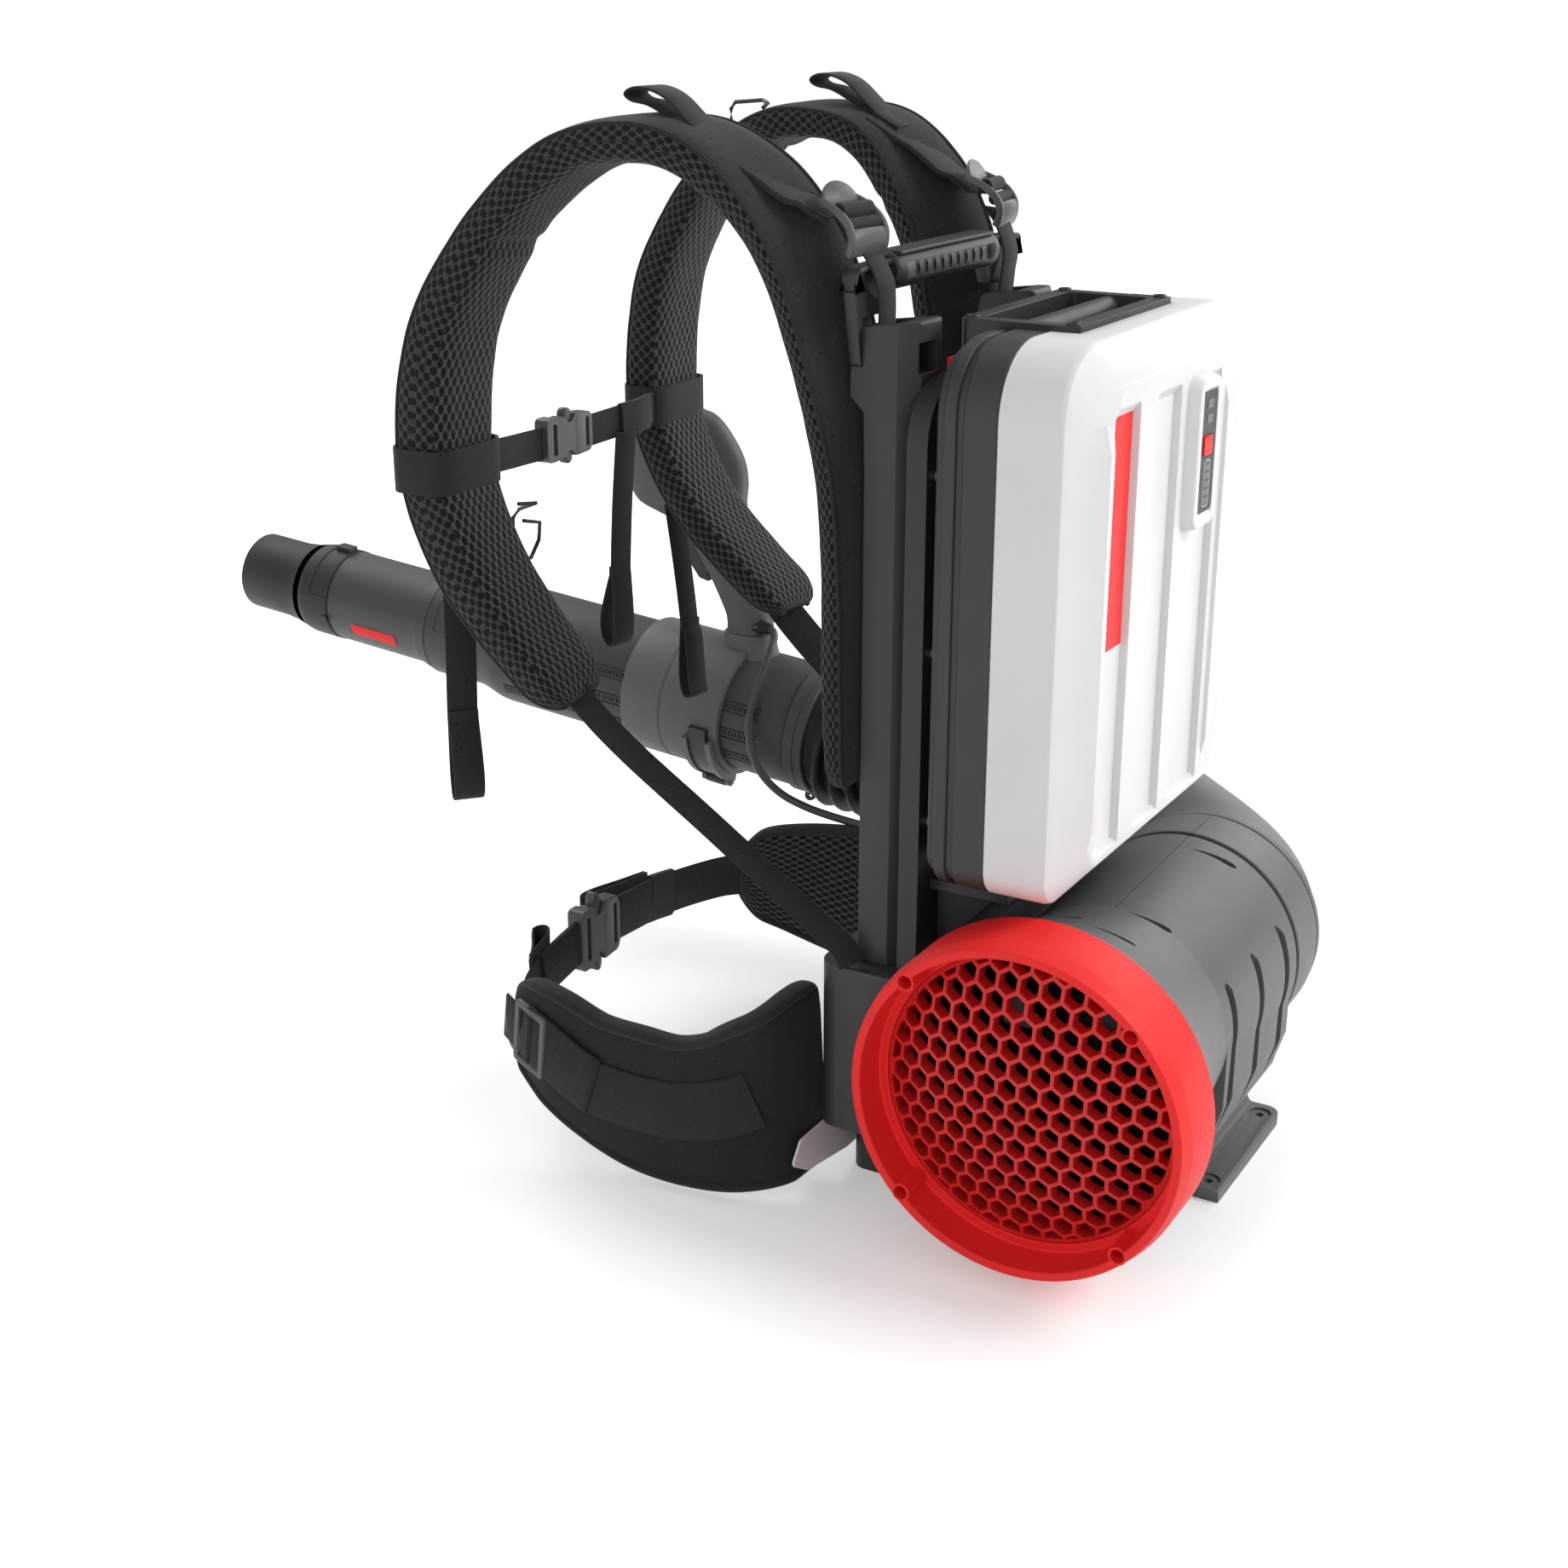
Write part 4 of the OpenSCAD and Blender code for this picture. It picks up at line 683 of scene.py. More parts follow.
def webbing(name, colour, rib=1.3):
    """Flat woven webbing: close ribs across its width and a fine herringbone."""
    look = Look(name, 0.8, Sheen_Weight=0.12, Specular_IOR_Level=0.3)
    u, v = look.uv()
    ribs = look.math("SINE", look.math("MULTIPLY", v, 2 * math.pi / (rib * MM)))
    zigzag = look.math("PINGPONG", u, 2.4 * MM)
    bone = look.math("SINE", look.math("MULTIPLY", look.math("ADD", zigzag, v), 2 * math.pi / (0.9 * MM)))
    pattern = look.math("MULTIPLY_ADD", look.math("ADD", ribs, bone), 0.25, 0.5)
    base = look.blend(pattern, tuple(c * 0.75 for c in colour), tuple(c * 1.15 for c in colour))
    speck = look.ramp(look.noise(520, 0), 0.73, 0.77)
    look.colour(look.blend(speck, base, tuple(c * 0.25 for c in colour)))
    look.bump(pattern, 0.22, 0.6)
    look.bump(look.noise(700, 2), 0.1, 0.3)
    return look.material


def spacer_mesh(name, net, pitch_u, pitch_v, hole, deep):
    """Air mesh: a knitted net of round holes in staggered rows, the holes coloured near-black as painted shade for
    their depth.
    """
    look = Look(name, 0.9, Sheen_Weight=0.15, Specular_IOR_Level=0.2)
    u, v = look.uv()
    wobble = look.math("MULTIPLY_ADD", look.noise(90, 1), 0.9 * MM, -0.45 * MM)
    u = look.math("ADD", u, wobble)
    v = look.math("SUBTRACT", v, wobble)
    shortest = None
    for shift in (0.0, 0.5):
        a = look.math("FRACT", look.math("MULTIPLY_ADD", u, 1 / (pitch_u * MM), 100 + shift))
        b = look.math("FRACT", look.math("MULTIPLY_ADD", v, 1 / (pitch_v * MM), 100 + shift))
        a = look.math("MULTIPLY", look.math("SUBTRACT", a, 0.5), pitch_u)
        b = look.math("MULTIPLY", look.math("SUBTRACT", b, 0.5), pitch_v * hole[0] / hole[1])
        distance = look.math("SQRT", look.math("ADD", look.math("POWER", a, 2.0), look.math("POWER", b, 2.0)))
        shortest = distance if shortest is None else look.math("MINIMUM", shortest, distance)
    cover = look.ramp(shortest, hole[0] * 0.5 - 0.25, hole[0] * 0.5 + 0.25)
    fuzz = look.blend(look.noise(800, 2), tuple(c * 0.8 for c in net), tuple(c * 1.2 for c in net))
    # painted shade: inside the holes the colour is deep, a near-black that stands for the shade down in them
    look.colour(look.blend(cover, deep, fuzz))
    rim = look.ramp(shortest, hole[0] * 0.5 - 0.9, hole[0] * 0.5 + 0.6)
    look.bump(rim, 0.9, 0.9)
    look.bump(look.noise(900, 2), 0.12, 0.4)
    return look.material


def metal(name, colour, roughness):
    look = Look(name, roughness, Metallic=1.0)
    look.colour(look.blend(look.noise(120, 3), colour, tuple(min(1, c * 1.15) for c in colour)))
    look.rough(look.noise(300, 3), roughness - 0.08, roughness + 0.1)
    look.bump(look.noise(900, 2), 0.02, 0.3)
    return look.material


DARK = plastic("dark_moulded", (0.029, 0.029, 0.030), 0.5)
BLACK = plastic("black_moulded", (0.019, 0.019, 0.020), 0.48)
TUBE = plastic("tube_moulded", (0.052, 0.052, 0.053), 0.55, sheen_level=0.4)
SLEEVE = plastic("sleeve_moulded", (0.115, 0.115, 0.117), 0.55)
TIP = plastic("nozzle_moulded", (0.030, 0.030, 0.031), 0.58, sheen_level=0.3)
HOUSING = plastic("housing_moulded", (0.115, 0.115, 0.117), 0.5)
GRIP = plastic("grip_moulded", (0.085, 0.085, 0.087), 0.55)
BUCKLE = plastic("buckle_moulded", (0.084, 0.084, 0.087), 0.42)
RED = plastic("red_moulded", (0.88, 0.024, 0.023), 0.48, sheen_level=0.25, edge=0.08)
RED_DEEP = plastic("red_grille", (0.62, 0.020, 0.018), 0.45, edge=0.2)
WHITE = plastic("white_moulded", (0.76, 0.76, 0.77), 0.4, grain=0.03, edge=0.02)
WINDOW = plastic("display_window", (0.045, 0.045, 0.047), 0.42, grain=0.0, sheen_level=0.2, edge=0.0)
ICON = plastic("display_marks", (0.16, 0.16, 0.165), 0.5, grain=0.0, edge=0.0)
ICON_LINE = plastic("display_outline", (0.62, 0.62, 0.63), 0.5, grain=0.0, edge=0.0)
RUBBER = plastic("bellows_rubber", (0.016, 0.016, 0.017), 0.5, grain=0.02, sheen_level=0.25, edge=0.3)
CABLE = plastic("cable_sheath", (0.060, 0.060, 0.062), 0.36, grain=0.01, edge=0.0)
# painted shade: a near-black look for the sheet inside the barrel's duct
INNER_SHADE = plastic("painted_inner_shade", (0.006, 0.006, 0.006), 0.8, grain=0.0, edge=0.0)
STEEL = metal("zinc_steel", (0.55, 0.55, 0.57), 0.35)
COPPER = metal("winding_copper", (0.55, 0.27, 0.14), 0.4)
WIRE = plastic("coated_wire", (0.030, 0.030, 0.031), 0.3, grain=0.0)
BOARD = plastic("circuit_board", (0.02, 0.10, 0.05), 0.5)
COVER = woven("pad_cover", (0.035, 0.035, 0.036))
HIP_COVER = woven("hip_cover", (0.018, 0.018, 0.019), thread=1.5, specks=0.1)
BINDING = webbing("edge_binding", (0.020, 0.020, 0.021), rib=0.9)
WEB = webbing("flat_webbing", (0.020, 0.020, 0.021))
# the last colour of each spacer mesh is the painted shade in its holes
SIDE_MESH = spacer_mesh("side_mesh", (0.056, 0.056, 0.058), 9.6, 9.6, (5.8, 5.8), (0.006, 0.006, 0.006))
KEEPER = spacer_mesh("keeper_weave", (0.046, 0.046, 0.048), 3.4, 3.4, (1.7, 1.7), (0.016, 0.016, 0.016))
INNER_MESH = spacer_mesh("inner_mesh", (0.080, 0.080, 0.082), 7.4, 13.0, (4.6, 7.6), (0.006, 0.006, 0.006))


# ---------------------------------------------------------------- camera, floor and light

def stage():
    scene = bpy.context.scene
    scene.view_settings.view_transform = "Standard"
    camera = bpy.data.objects.new("camera", bpy.data.cameras.new("camera"))
    camera.data.lens = 50
    camera.data.sensor_width = 36
    camera.data.sensor_fit = "HORIZONTAL"
    camera.data.clip_start = 0.05
    azimuth, elevation = -59.793, 20.281
    camera.location = Vector((-1362.35, -511.15, 841.88)) * MM
    camera.rotation_euler = Euler((math.radians(90 - elevation), 0, math.radians(azimuth)))
    scene.collection.objects.link(camera)
    scene.camera = camera

    floor = new_object("floor", [(-6000, -6000, 0), (6000, -6000, 0), (6000, 6000, 0), (-6000, 6000, 0)],
                       [(0, 1, 2, 3)])
    look = Look("floor", 0.9, Specular_IOR_Level=0.1)
    look.colour((0.86, 0.86, 0.86, 1))
    glow = look.node("Emission")
    seen = look.node("LightPath")
    rays = look.math("MAXIMUM", seen.outputs["Is Camera Ray"], look.math(
        "MAXIMUM", seen.outputs["Is Glossy Ray"], seen.outputs["Is Transmission Ray"]))
    far = look.node("VectorMath", operation="LENGTH")
    look.feed(far.inputs[0], look.place())
    look.feed(glow.inputs["Strength"], look.math("MULTIPLY", rays, look.ramp(far.outputs["Value"], -0.6, 1.9)))
    both = look.node("AddShader")
    output = look.tree.nodes["Material Output"]
    look.tree.links.new(look.shader.outputs[0], both.inputs[0])
    look.tree.links.new(glow.outputs[0], both.inputs[1])
    look.tree.links.new(both.outputs[0], output.inputs["Surface"])
    floor.data.materials.append(look.material)
    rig.stage(floor)

    world = bpy.data.worlds.new("studio")
    scene.world = world
    world.use_nodes = True
    tree = world.node_tree
    background = tree.nodes["Background"]
    background.inputs["Color"].default_value = (1, 1, 1, 1)
    path = tree.nodes.new("ShaderNodeLightPath")
    direct = tree.nodes.new("ShaderNodeMath")
    direct.operation = "MAXIMUM"
    tree.links.new(path.outputs["Is Camera Ray"], direct.inputs[0])
    tree.links.new(path.outputs["Is Transmission Ray"], direct.inputs[1])
    strength = tree.nodes.new("ShaderNodeMapRange")
    tree.links.new(direct.outputs[0], strength.inputs["Value"])
    strength.inputs["To Min"].default_value = 0.42
    strength.inputs["To Max"].default_value = 1.0
    tree.links.new(strength.outputs["Result"], background.inputs["Strength"])

    lamps = (
        ("key", (900, -2300, 2300), 1600, 62),
        ("fill", (-2600, 300, 1500), 2000, 14.5),
        ("back", (900, 2300, 2100), 1500, 28),
        ("side", (2400, -300, 1300), 1500, 18),
    )
    for name, spot, size, power in lamps:
        lamp = bpy.data.lights.new(name, "AREA")
        lamp.size = size * MM
        lamp.energy = power
        obj = bpy.data.objects.new(name, lamp)
        obj.location = Vector(spot) * MM
        aim = Vector((50, 250, 330)) * MM - obj.location
        obj.rotation_euler = aim.to_track_quat("-Z", "Y").to_euler()
        scene.collection.objects.link(obj)


stage()


# ---------------------------------------------------------------- control cable (a free cord)

CABLE_R = 3.5
CABLE_ROUTE = [
    (240, 454, 301), (240, 438, 301), (235, 429, 299), (224, 424, 292), (209, 424, 274), (195, 426, 252),
    (187, 427, 228), (184, 422, 205), (185, 412, 185), (189, 395, 169), (192, 372, 160), (190, 345, 157),
    (184, 310, 157), (172, 268, 159), (157, 225, 161), (147, 190, 162), (138, 172, 162), (131, 168, 162),
]


def control_cable():
    """The cable in three stretches: each bends across one joint, and the next leaves from the one before."""
    steps = 6
    path = smooth_path(CABLE_ROUTE, steps)
    cuts = (0, 7 * steps, 12 * steps, len(path) - 1)
    bodies = (("handle", "tube"), ("tube", "elbow"), ("elbow", "frame"))
    for k, (first, second) in enumerate(bodies):
        stretch = path[cuts[k]:cuts[k + 1] + 1]
        obj = shade(tube(f"control_cable_{k + 1}", stretch, CABLE_R, 20))
        obj.data.materials.append(CABLE)
        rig.slot(obj, "rubber")
        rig.blend(obj, first, second, place(stretch[0]) * MM, place(stretch[-1]) * MM)
        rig.cord(obj, exit=place(stretch[0]) * MM, length=distances(stretch)[-1] * MM, diameter=2 * CABLE_R * MM,
                far_end="object", stiffness="stiff", lay="taut", path=[place(p) * MM for p in stretch])
        if k == 0:
            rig.replaces(obj, "control_cable")


control_cable()


# ---------------------------------------------------------------- fan unit

FAN_Z = 136
RING_FACE = low("intake_ring").x
RING_BACK = -133
BARREL_END = high("housing_rear_half").x


def fan_lathe(name, profile, sides=128, closed=True):
    """Turned body about the fan axis: the profile is (radius, x)."""
    return lathe(name, profile, (0, 0, FAN_Z), X, sides, closed)


RING_R, RING_LIP, RING_STEP, SEAT_R = 122, 9, 28, 106
SOCKET_R, SOCKET_DEEP = 5, 22
DUCT_R, WAIST_X = 84, -15


def intake_ring():
    """Red ring: flat lip, chamfered rim, a wall down to the step that holds the grille, four screw sockets."""
    mouth, step = RING_R - RING_LIP, RING_FACE + RING_STEP
    spigot = RING_R - 8.4
    profile = [
        (mouth - 0.1, RING_FACE + 0.8), (mouth + 0.7, RING_FACE), (RING_R - 3.8, RING_FACE),
        (RING_R - 2.9, RING_FACE + 0.6), (RING_R - 0.3, RING_FACE + 12), (RING_R, RING_FACE + 14.5),
        (RING_R, RING_BACK - 0.8), (RING_R - 0.8, RING_BACK),
        (spigot, RING_BACK), (spigot, RING_BACK + 4), (SEAT_R - 4, RING_BACK + 4), (SEAT_R - 4, step + 14),
        (SEAT_R, step + 13.5), (SEAT_R, step + 0.8), (SEAT_R + 0.8, step), (mouth - 2.2, step),
        (mouth - 1, step - 1.2),
    ]
    ring = fan_lathe("intake_ring_shell", profile, 160)
    bosses, holes = [], []
    for quarter in range(4):
        c, s = turned(45 + 90 * quarter)
        start = Vector((RING_FACE + 0.4, mouth * c, FAN_Z + mouth * s))
        bosses.append(rod("boss", start, start + X * 49, SOCKET_R + 1.6, 48))
        holes.append(rod("hole", start - X * 4, start + X * SOCKET_DEEP, SOCKET_R, 48))
    boolean(ring, bosses, "UNION")
    boolean(ring, holes)
    shade(ring, 28)
    bevel(ring, 0.6, 3, 40)
    piece(ring, "frame", "red_plastic", RED, "intake_ring")


CELL_W, CELL_H, CELL_WALL = 15.6, 19.0, 2.6
GRILLE_R, GRILLE_RISE, GRILLE_T, GRILLE_RIM = SEAT_R - 0.4, 20, 11, 3


def within_circle(corners, radius):
    """The part of a convex outline that lies inside a circle about the origin, or nothing."""
    inside = [k for k, p in enumerate(corners) if p.length < radius]
    if not inside:
        return []
    first = next((k for k in inside if k - 1 not in inside and (k - 1) % len(corners) not in inside), inside[0])
    corners = corners[first:] + corners[:first]
    outline, exit_at = [], None
    for k, p in enumerate(corners):
        q = corners[(k + 1) % len(corners)]
        if p.length < radius:
            outline.append(p)
        if (p.length < radius) != (q.length < radius):
            near, far = (p, q) if p.length < radius else (q, p)
            for _ in range(30):
                middle = (near + far) / 2
                near, far = (middle, far) if middle.length < radius else (near, middle)
            if exit_at is None:
                exit_at = near
                outline.append(near)
            else:
                for t in (0.2, 0.4, 0.6, 0.8):
                    outline.append(exit_at.lerp(near, t).normalized() * radius)
                outline.append(near)
    return outline


def honeycomb():
    """Domed grille of deep hexagon cells, cut off at its rim, with softened front edges."""
    edge_x = RING_FACE + RING_STEP + 2
    dome_r = (GRILLE_R ** 2 + GRILLE_RISE ** 2) / (2 * GRILLE_RISE)

    def dome(r):
        return edge_x - GRILLE_RISE + dome_r - math.sqrt(dome_r ** 2 - r * r)

    steps = 14
    radii = [0.01] + [GRILLE_R * k / steps for k in range(1, steps + 1)]
    profile = [(r, dome(r)) for r in radii] + [(r, dome(r) + GRILLE_T) for r in reversed(radii)]
    slab = fan_lathe("honeycomb_grille", profile, 96)
    half_w, half_h = (CELL_W - CELL_WALL) / 2, (CELL_H - CELL_WALL * 1.15) / 2
    hexagon = ((0, half_h), (half_w, half_h / 2), (half_w, -half_h / 2),
               (0, -half_h), (-half_w, -half_h / 2), (-half_w, half_h / 2))
    cells = []
    rows, columns = int(GRILLE_R / (0.75 * CELL_H)) + 1, int(GRILLE_R / CELL_W) + 1
    for row in range(-rows, rows + 1):
        for column in range(-columns - 1, columns + 2):
            centre = Vector(((column + (abs(row) % 2) / 2) * CELL_W, row * CELL_H * 0.75))
            outline = within_circle([centre + Vector(p) for p in hexagon], GRILLE_R - GRILLE_RIM)
            if len(outline) >= 4:
                cells.append(prism("cell", [(p.x, p.y + FAN_Z) for p in outline], "x",
                                   edge_x - GRILLE_RISE - 2, edge_x + GRILLE_T + 2))
    boolean(slab, [joined("cells", cells)])
    shade(slab, 25)
    bevel(slab, 0.55, 2, 40)
    piece(slab, "frame", "red_plastic", RED_DEEP, "intake_grille")


def scoop(x, from_angle, to_angle, radius):
    """Cutter for one teardrop slot across the barrel's top: sharp at its start, round and deep at its end."""
    rings = []
    steps = 18
    for k in range(steps + 1):
        t = k / steps
        c, s = turned(mix(from_angle, to_angle, t))
        swell = (0.02 + t) ** 0.75 * math.sqrt(max(0.0, 1 - max(0.0, (t - 0.72) / 0.285) ** 2))
        half, deep = 4.6 * swell + 0.05, 11.0 * swell + 0.05
        out = Vector((0, -s, c))
        centre = Vector((x + 5 * t, 0, FAN_Z)) + out * (radius + 3)
        rings.append([centre - X * half, centre + X * half, centre + X * half - out * (3 + deep),
                      centre - X * half * 0.1 - out * (3 + deep * 0.9)])
    return tidy(loft("scoop", rings))


SLOT_X, SLOT_PITCH = -5, 54.5


def rear_slot(x):
    """Cutter for one deep slot round the barrel's rear: pointed at both ends, its left flank a soft facet."""
    rings = []
    steps = 40
    for k in range(steps + 1):
        c, s = turned(mix(57, 136, k / steps))
        out = Vector((0, -s, c))
        fade = smooth_step(min(k, steps - k) / 6)
        floor_r, top_r = mix(93, DUCT_R - 0.15, fade), 124
        centre = Vector((x, 0, FAN_Z))
        rings.append([
            centre + X * mix(0, -4.5, fade) + out * top_r, centre + X * mix(0.4, 13.5, fade) + out * top_r,
            centre + X * mix(0.3, 12, fade) + out * floor_r, centre + X * mix(0.1, 3.5, fade) + out * floor_r])
    return tidy(loft("slot", rings))


def barrel():
    """Fan housing in two halves, with scoops, deep rear slots, a collar groove and the parting line, and a near-black
    sheet of painted shade inside its duct.
    """
    inlet, waist, outlet, wall = 118, 88, 91.5, 4
    neck = 20
    profile = [(inlet - 0.8, RING_BACK + 0.2), (inlet, RING_BACK + 1), (inlet, RING_BACK + 6)]
    cone = []
    for k in range(1, neck):
        t = k / neck
        cone.append((mix(inlet, waist, t) - 18 * t * (1 - t), mix(RING_BACK + 6, WAIST_X, t)))
    profile += cone
    profile += [(waist, WAIST_X), (mix(waist, outlet, 0.5), 60), (outlet - 0.2, 132), (outlet - 0.8, 132.8),
                (outlet - 3, 133), (outlet - 3, 138), (outlet - 0.8, 138.2), (outlet, 139), (outlet, 179),
                (outlet - 1.2, 184), (outlet - 4, 187.6), (outlet - 6.4, 187.8), (DUCT_R, 187.8), (DUCT_R, WAIST_X)]
    profile += [(r - wall, x) for r, x in reversed(cone)]
    profile += [(inlet - wall, RING_BACK + 6), (inlet - wall, RING_BACK + 0.2)]
    shell = fan_lathe("fan_housing", profile, 160)
    lugs = [block("lug", (x, -46, 37), (x + 20, 36, 64)) for x in (18, 108)]
    lugs += [block("arm", (x, 60, FAN_Z - 22), (x + 30, 101, FAN_Z + 2)) for x in (-20, 60)]
    lugs.append(prism("shoulder", rounded([
        (-10, 48, 0), (-54, 48, 4), (-79, 53, 3), (-88, 84, 8), (-88, 136, 6), (-60, 180, 0), (-10, 180, 0)]),
        "x", -12, 131))
    inside = fan_lathe("inside", [(0.01, WAIST_X), (DUCT_R + 0.1, WAIST_X), (DUCT_R + 0.1, 180), (0.01, 180)], 160)
    for lug in lugs:
        lug.modifiers.new("trim", "BOOLEAN").object = inside
        applied(lug)
    bpy.data.objects.remove(inside)
    cutters = [scoop(110, 6, 29, 91), scoop(-21, 7, 29, 89), scoop(-88, 4, 24, 104), scoop(-71, -15, -3, 99)]
    cutters += [rear_slot(SLOT_X + SLOT_PITCH * k) for k in range(3)]
    boolean(shell, lugs, "UNION")
    boolean(shell, cutters)
    boolean(shell, [block("seam", (RING_BACK - 4, -0.35, FAN_Z + 86.5), (BARREL_END + 2, 0.35, FAN_Z + 124)),
                    block("seam_low", (RING_BACK - 4, -0.35, 8), (BARREL_END + 2, 0.35, FAN_Z - 86.5))])
    shade(shell, 30)
    normals = shell.modifiers.new("normals", "WEIGHTED_NORMAL")
    normals.keep_sharp = True
    normals.weight = 100
    piece(shell, "frame", "grey_plastic", HOUSING, "housing_rear_half", "housing_front_half")
    # painted shade: a near-black sheet just inside the duct's wall, seen where the slots and scoops cut through,
    # stands for the shade inside the barrel
    skin = [(r - wall - 0.2, x) for r, x in cone] + [(DUCT_R - 0.2, WAIST_X), (DUCT_R - 0.2, 166)]
    shade_sheet = fan_lathe("duct_shade_sheet", skin + [(r - 0.4, x) for r, x in reversed(skin)], 96)
    piece(shade(shade_sheet), "frame", "dark_plastic", INNER_SHADE)


FOOT_HOLES, SINK_R, SINK_Z, FOOT_CORNER = (15, 131), 8.6, 7.4, 12


def foot():
    """Foot under the barrel, its flange's holes sunk for screw heads and its corners rounded."""
    obj = cad_copy("rear_foot", 0)
    corner, far = low("rear_foot"), high("rear_foot")
    sink = [(0.01, SINK_Z), (SINK_R, SINK_Z), (SINK_R, 30), (0.01, 30)]
    cutters = [lathe("sink", sink, (x, corner.y + 13, 0), Z, 40, closed=False) for x in FOOT_HOLES]
    r = FOOT_CORNER
    for x, side in ((corner.x, 1), (far.x, -1)):
        outline = [(x - side * 2, corner.y - 2), (x + side * r, corner.y - 2)]
        for k in range(7):
            c, s = turned(90 * k / 6)
            outline.append((x + side * (r - r * s), corner.y + r - r * c))
        outline.append((x - side * 2, corner.y + r))
        cutters.append(prism("corner", outline, "z", -2, 20))
    boolean(obj, cutters)
    shade(obj, 30)
    bevel(obj, 0.9, 3, 40)
    piece(obj, "frame", "dark_plastic", HOUSING, "rear_foot")


def fan_inside():
    for node, body, slot, look in (
            ("stator_duct", "frame", "dark_plastic", BLACK), ("motor_stator", "frame", "copper", COPPER),
            ("motor_bearings", "frame", "steel", STEEL), ("impeller", "fan", "black_plastic", BLACK),
            ("motor_rotor", "fan", "steel", STEEL), ("ring_screws", "frame", "steel", STEEL),
            ("controller_board", "frame", "circuit", BOARD)):
        piece(cad_copy(node, 0), body, slot, look, node)


intake_ring()
honeycomb()
barrel()
foot()
fan_inside()


# ---------------------------------------------------------------- elbow, bellows and tube

PITCH = math.radians(5.26)
TUBE_DIR = Vector((0, math.cos(PITCH), math.sin(PITCH)))
TUBE_DOWN = Vector((0, math.sin(PITCH), -math.cos(PITCH)))
TUBE_MID = Vector((252, 500, 222))
ELBOW_C, ELBOW_S = turned(30)
ELBOW_DIR = Vector((0, ELBOW_C, ELBOW_S))
ELBOW_IN, ELBOW_OUT, ELBOW_LEAN, ELBOW_TAIL = 88, 62, 2, 16
ELBOW_X = BARREL_END + 0.4
ELBOW_PIVOT = Vector((ELBOW_X, 0, FAN_Z)) + ELBOW_DIR * (ELBOW_IN + ELBOW_LEAN)
ELBOW_END = ELBOW_PIVOT + X * (ELBOW_OUT + ELBOW_LEAN)
BELLOWS_START = ELBOW_END + ELBOW_DIR * ELBOW_TAIL
TUBE_REAR, TUBE_R = -102, 56


def at_tube(distance):
    return TUBE_MID + TUBE_DIR * distance


def round_tube(radius, angle, distance):
    """Point about the tube's axis, angle from the wearer's right towards the ground."""
    c, s = turned(angle)
    return at_tube(distance) + X * radius * c + TUBE_DOWN * radius * s


def tube_lathe(name, profile, sides=128, closed=True):
    return lathe(name, profile, TUBE_MID, TUBE_DIR, sides, closed)


def tube_arc(name, r_in, r_out, start, end, from_angle, to_angle):
    """Ring segment about the tube's axis."""
    count = max(4, round(abs(to_angle - from_angle) / 4))
    rings = []
    for k in range(count + 1):
        angle = mix(from_angle, to_angle, k / count)
        rings.append([round_tube(r_in, angle, start), round_tube(r_out, angle, start),
                      round_tube(r_out, angle, end), round_tube(r_in, angle, end)])
    return tidy(loft(name, rings))


def elbow():
    """Bend from the barrel into the tube, with a flange, the spigot in the barrel and the clamp's stops."""
    steps, sides = 28, 72
    side = Vector((0, -ELBOW_S, ELBOW_C))
    rings = []
    for k in range(steps + 1):
        t = k / steps
        r = mix(ELBOW_IN, ELBOW_OUT, t * (2 + 2 * t - 2 * t * t) / 2)
        c, s = turned(90 * t)
        out = -ELBOW_DIR * c + X * s
        centre = ELBOW_PIVOT + out * (r + ELBOW_LEAN)
        if k == 0:
            rings.append(circle_ring(centre, side, out, r - 2.5, sides))
        rings.append(circle_ring(centre, side, out, r, sides))
    rings.append([p + ELBOW_DIR * ELBOW_TAIL for p in rings[-1]])
    shell = tidy(loft("elbow_shell", rings, caps=False))
    solid = shell.modifiers.new("wall", "SOLIDIFY")
    solid.thickness = 3.5 * MM
    solid.offset = -1
    applied(shell)
    flange = lathe("flange", [(ELBOW_IN - 8, 0), (ELBOW_IN + 0.8, 0), (ELBOW_IN + 1.6, 1), (ELBOW_IN + 1.6, 6),
                              (ELBOW_IN + 0.6, 7), (ELBOW_IN - 8, 7)], (ELBOW_X, 0, FAN_Z), X, 128)
    spigot = lathe("spigot", [(83.4, -19), (83.4, 2), (78, 2), (78, -19)], (ELBOW_X, 0, FAN_Z), X, 96)
    ribs = []
    for k in range(3):
        c, s = turned(150 + 60 * k)
        spot = BELLOWS_START - ELBOW_DIR * 10 + X * (ELBOW_OUT + 1) * c + side * (ELBOW_OUT + 1) * s
        ribs.append(rod("stop", spot, spot + ELBOW_DIR * 5, 3))
    obj = joined("elbow_body", [shell, flange, spigot] + ribs)
    shade(obj, 30)
    piece(obj, "elbow", "grey_plastic", HOUSING, "elbow")


def bezier(p, t):
    return p[0] * (1 - t) ** 3 + p[1] * 3 * t * (1 - t) ** 2 + p[2] * 3 * t * t * (1 - t) + p[3] * t ** 3


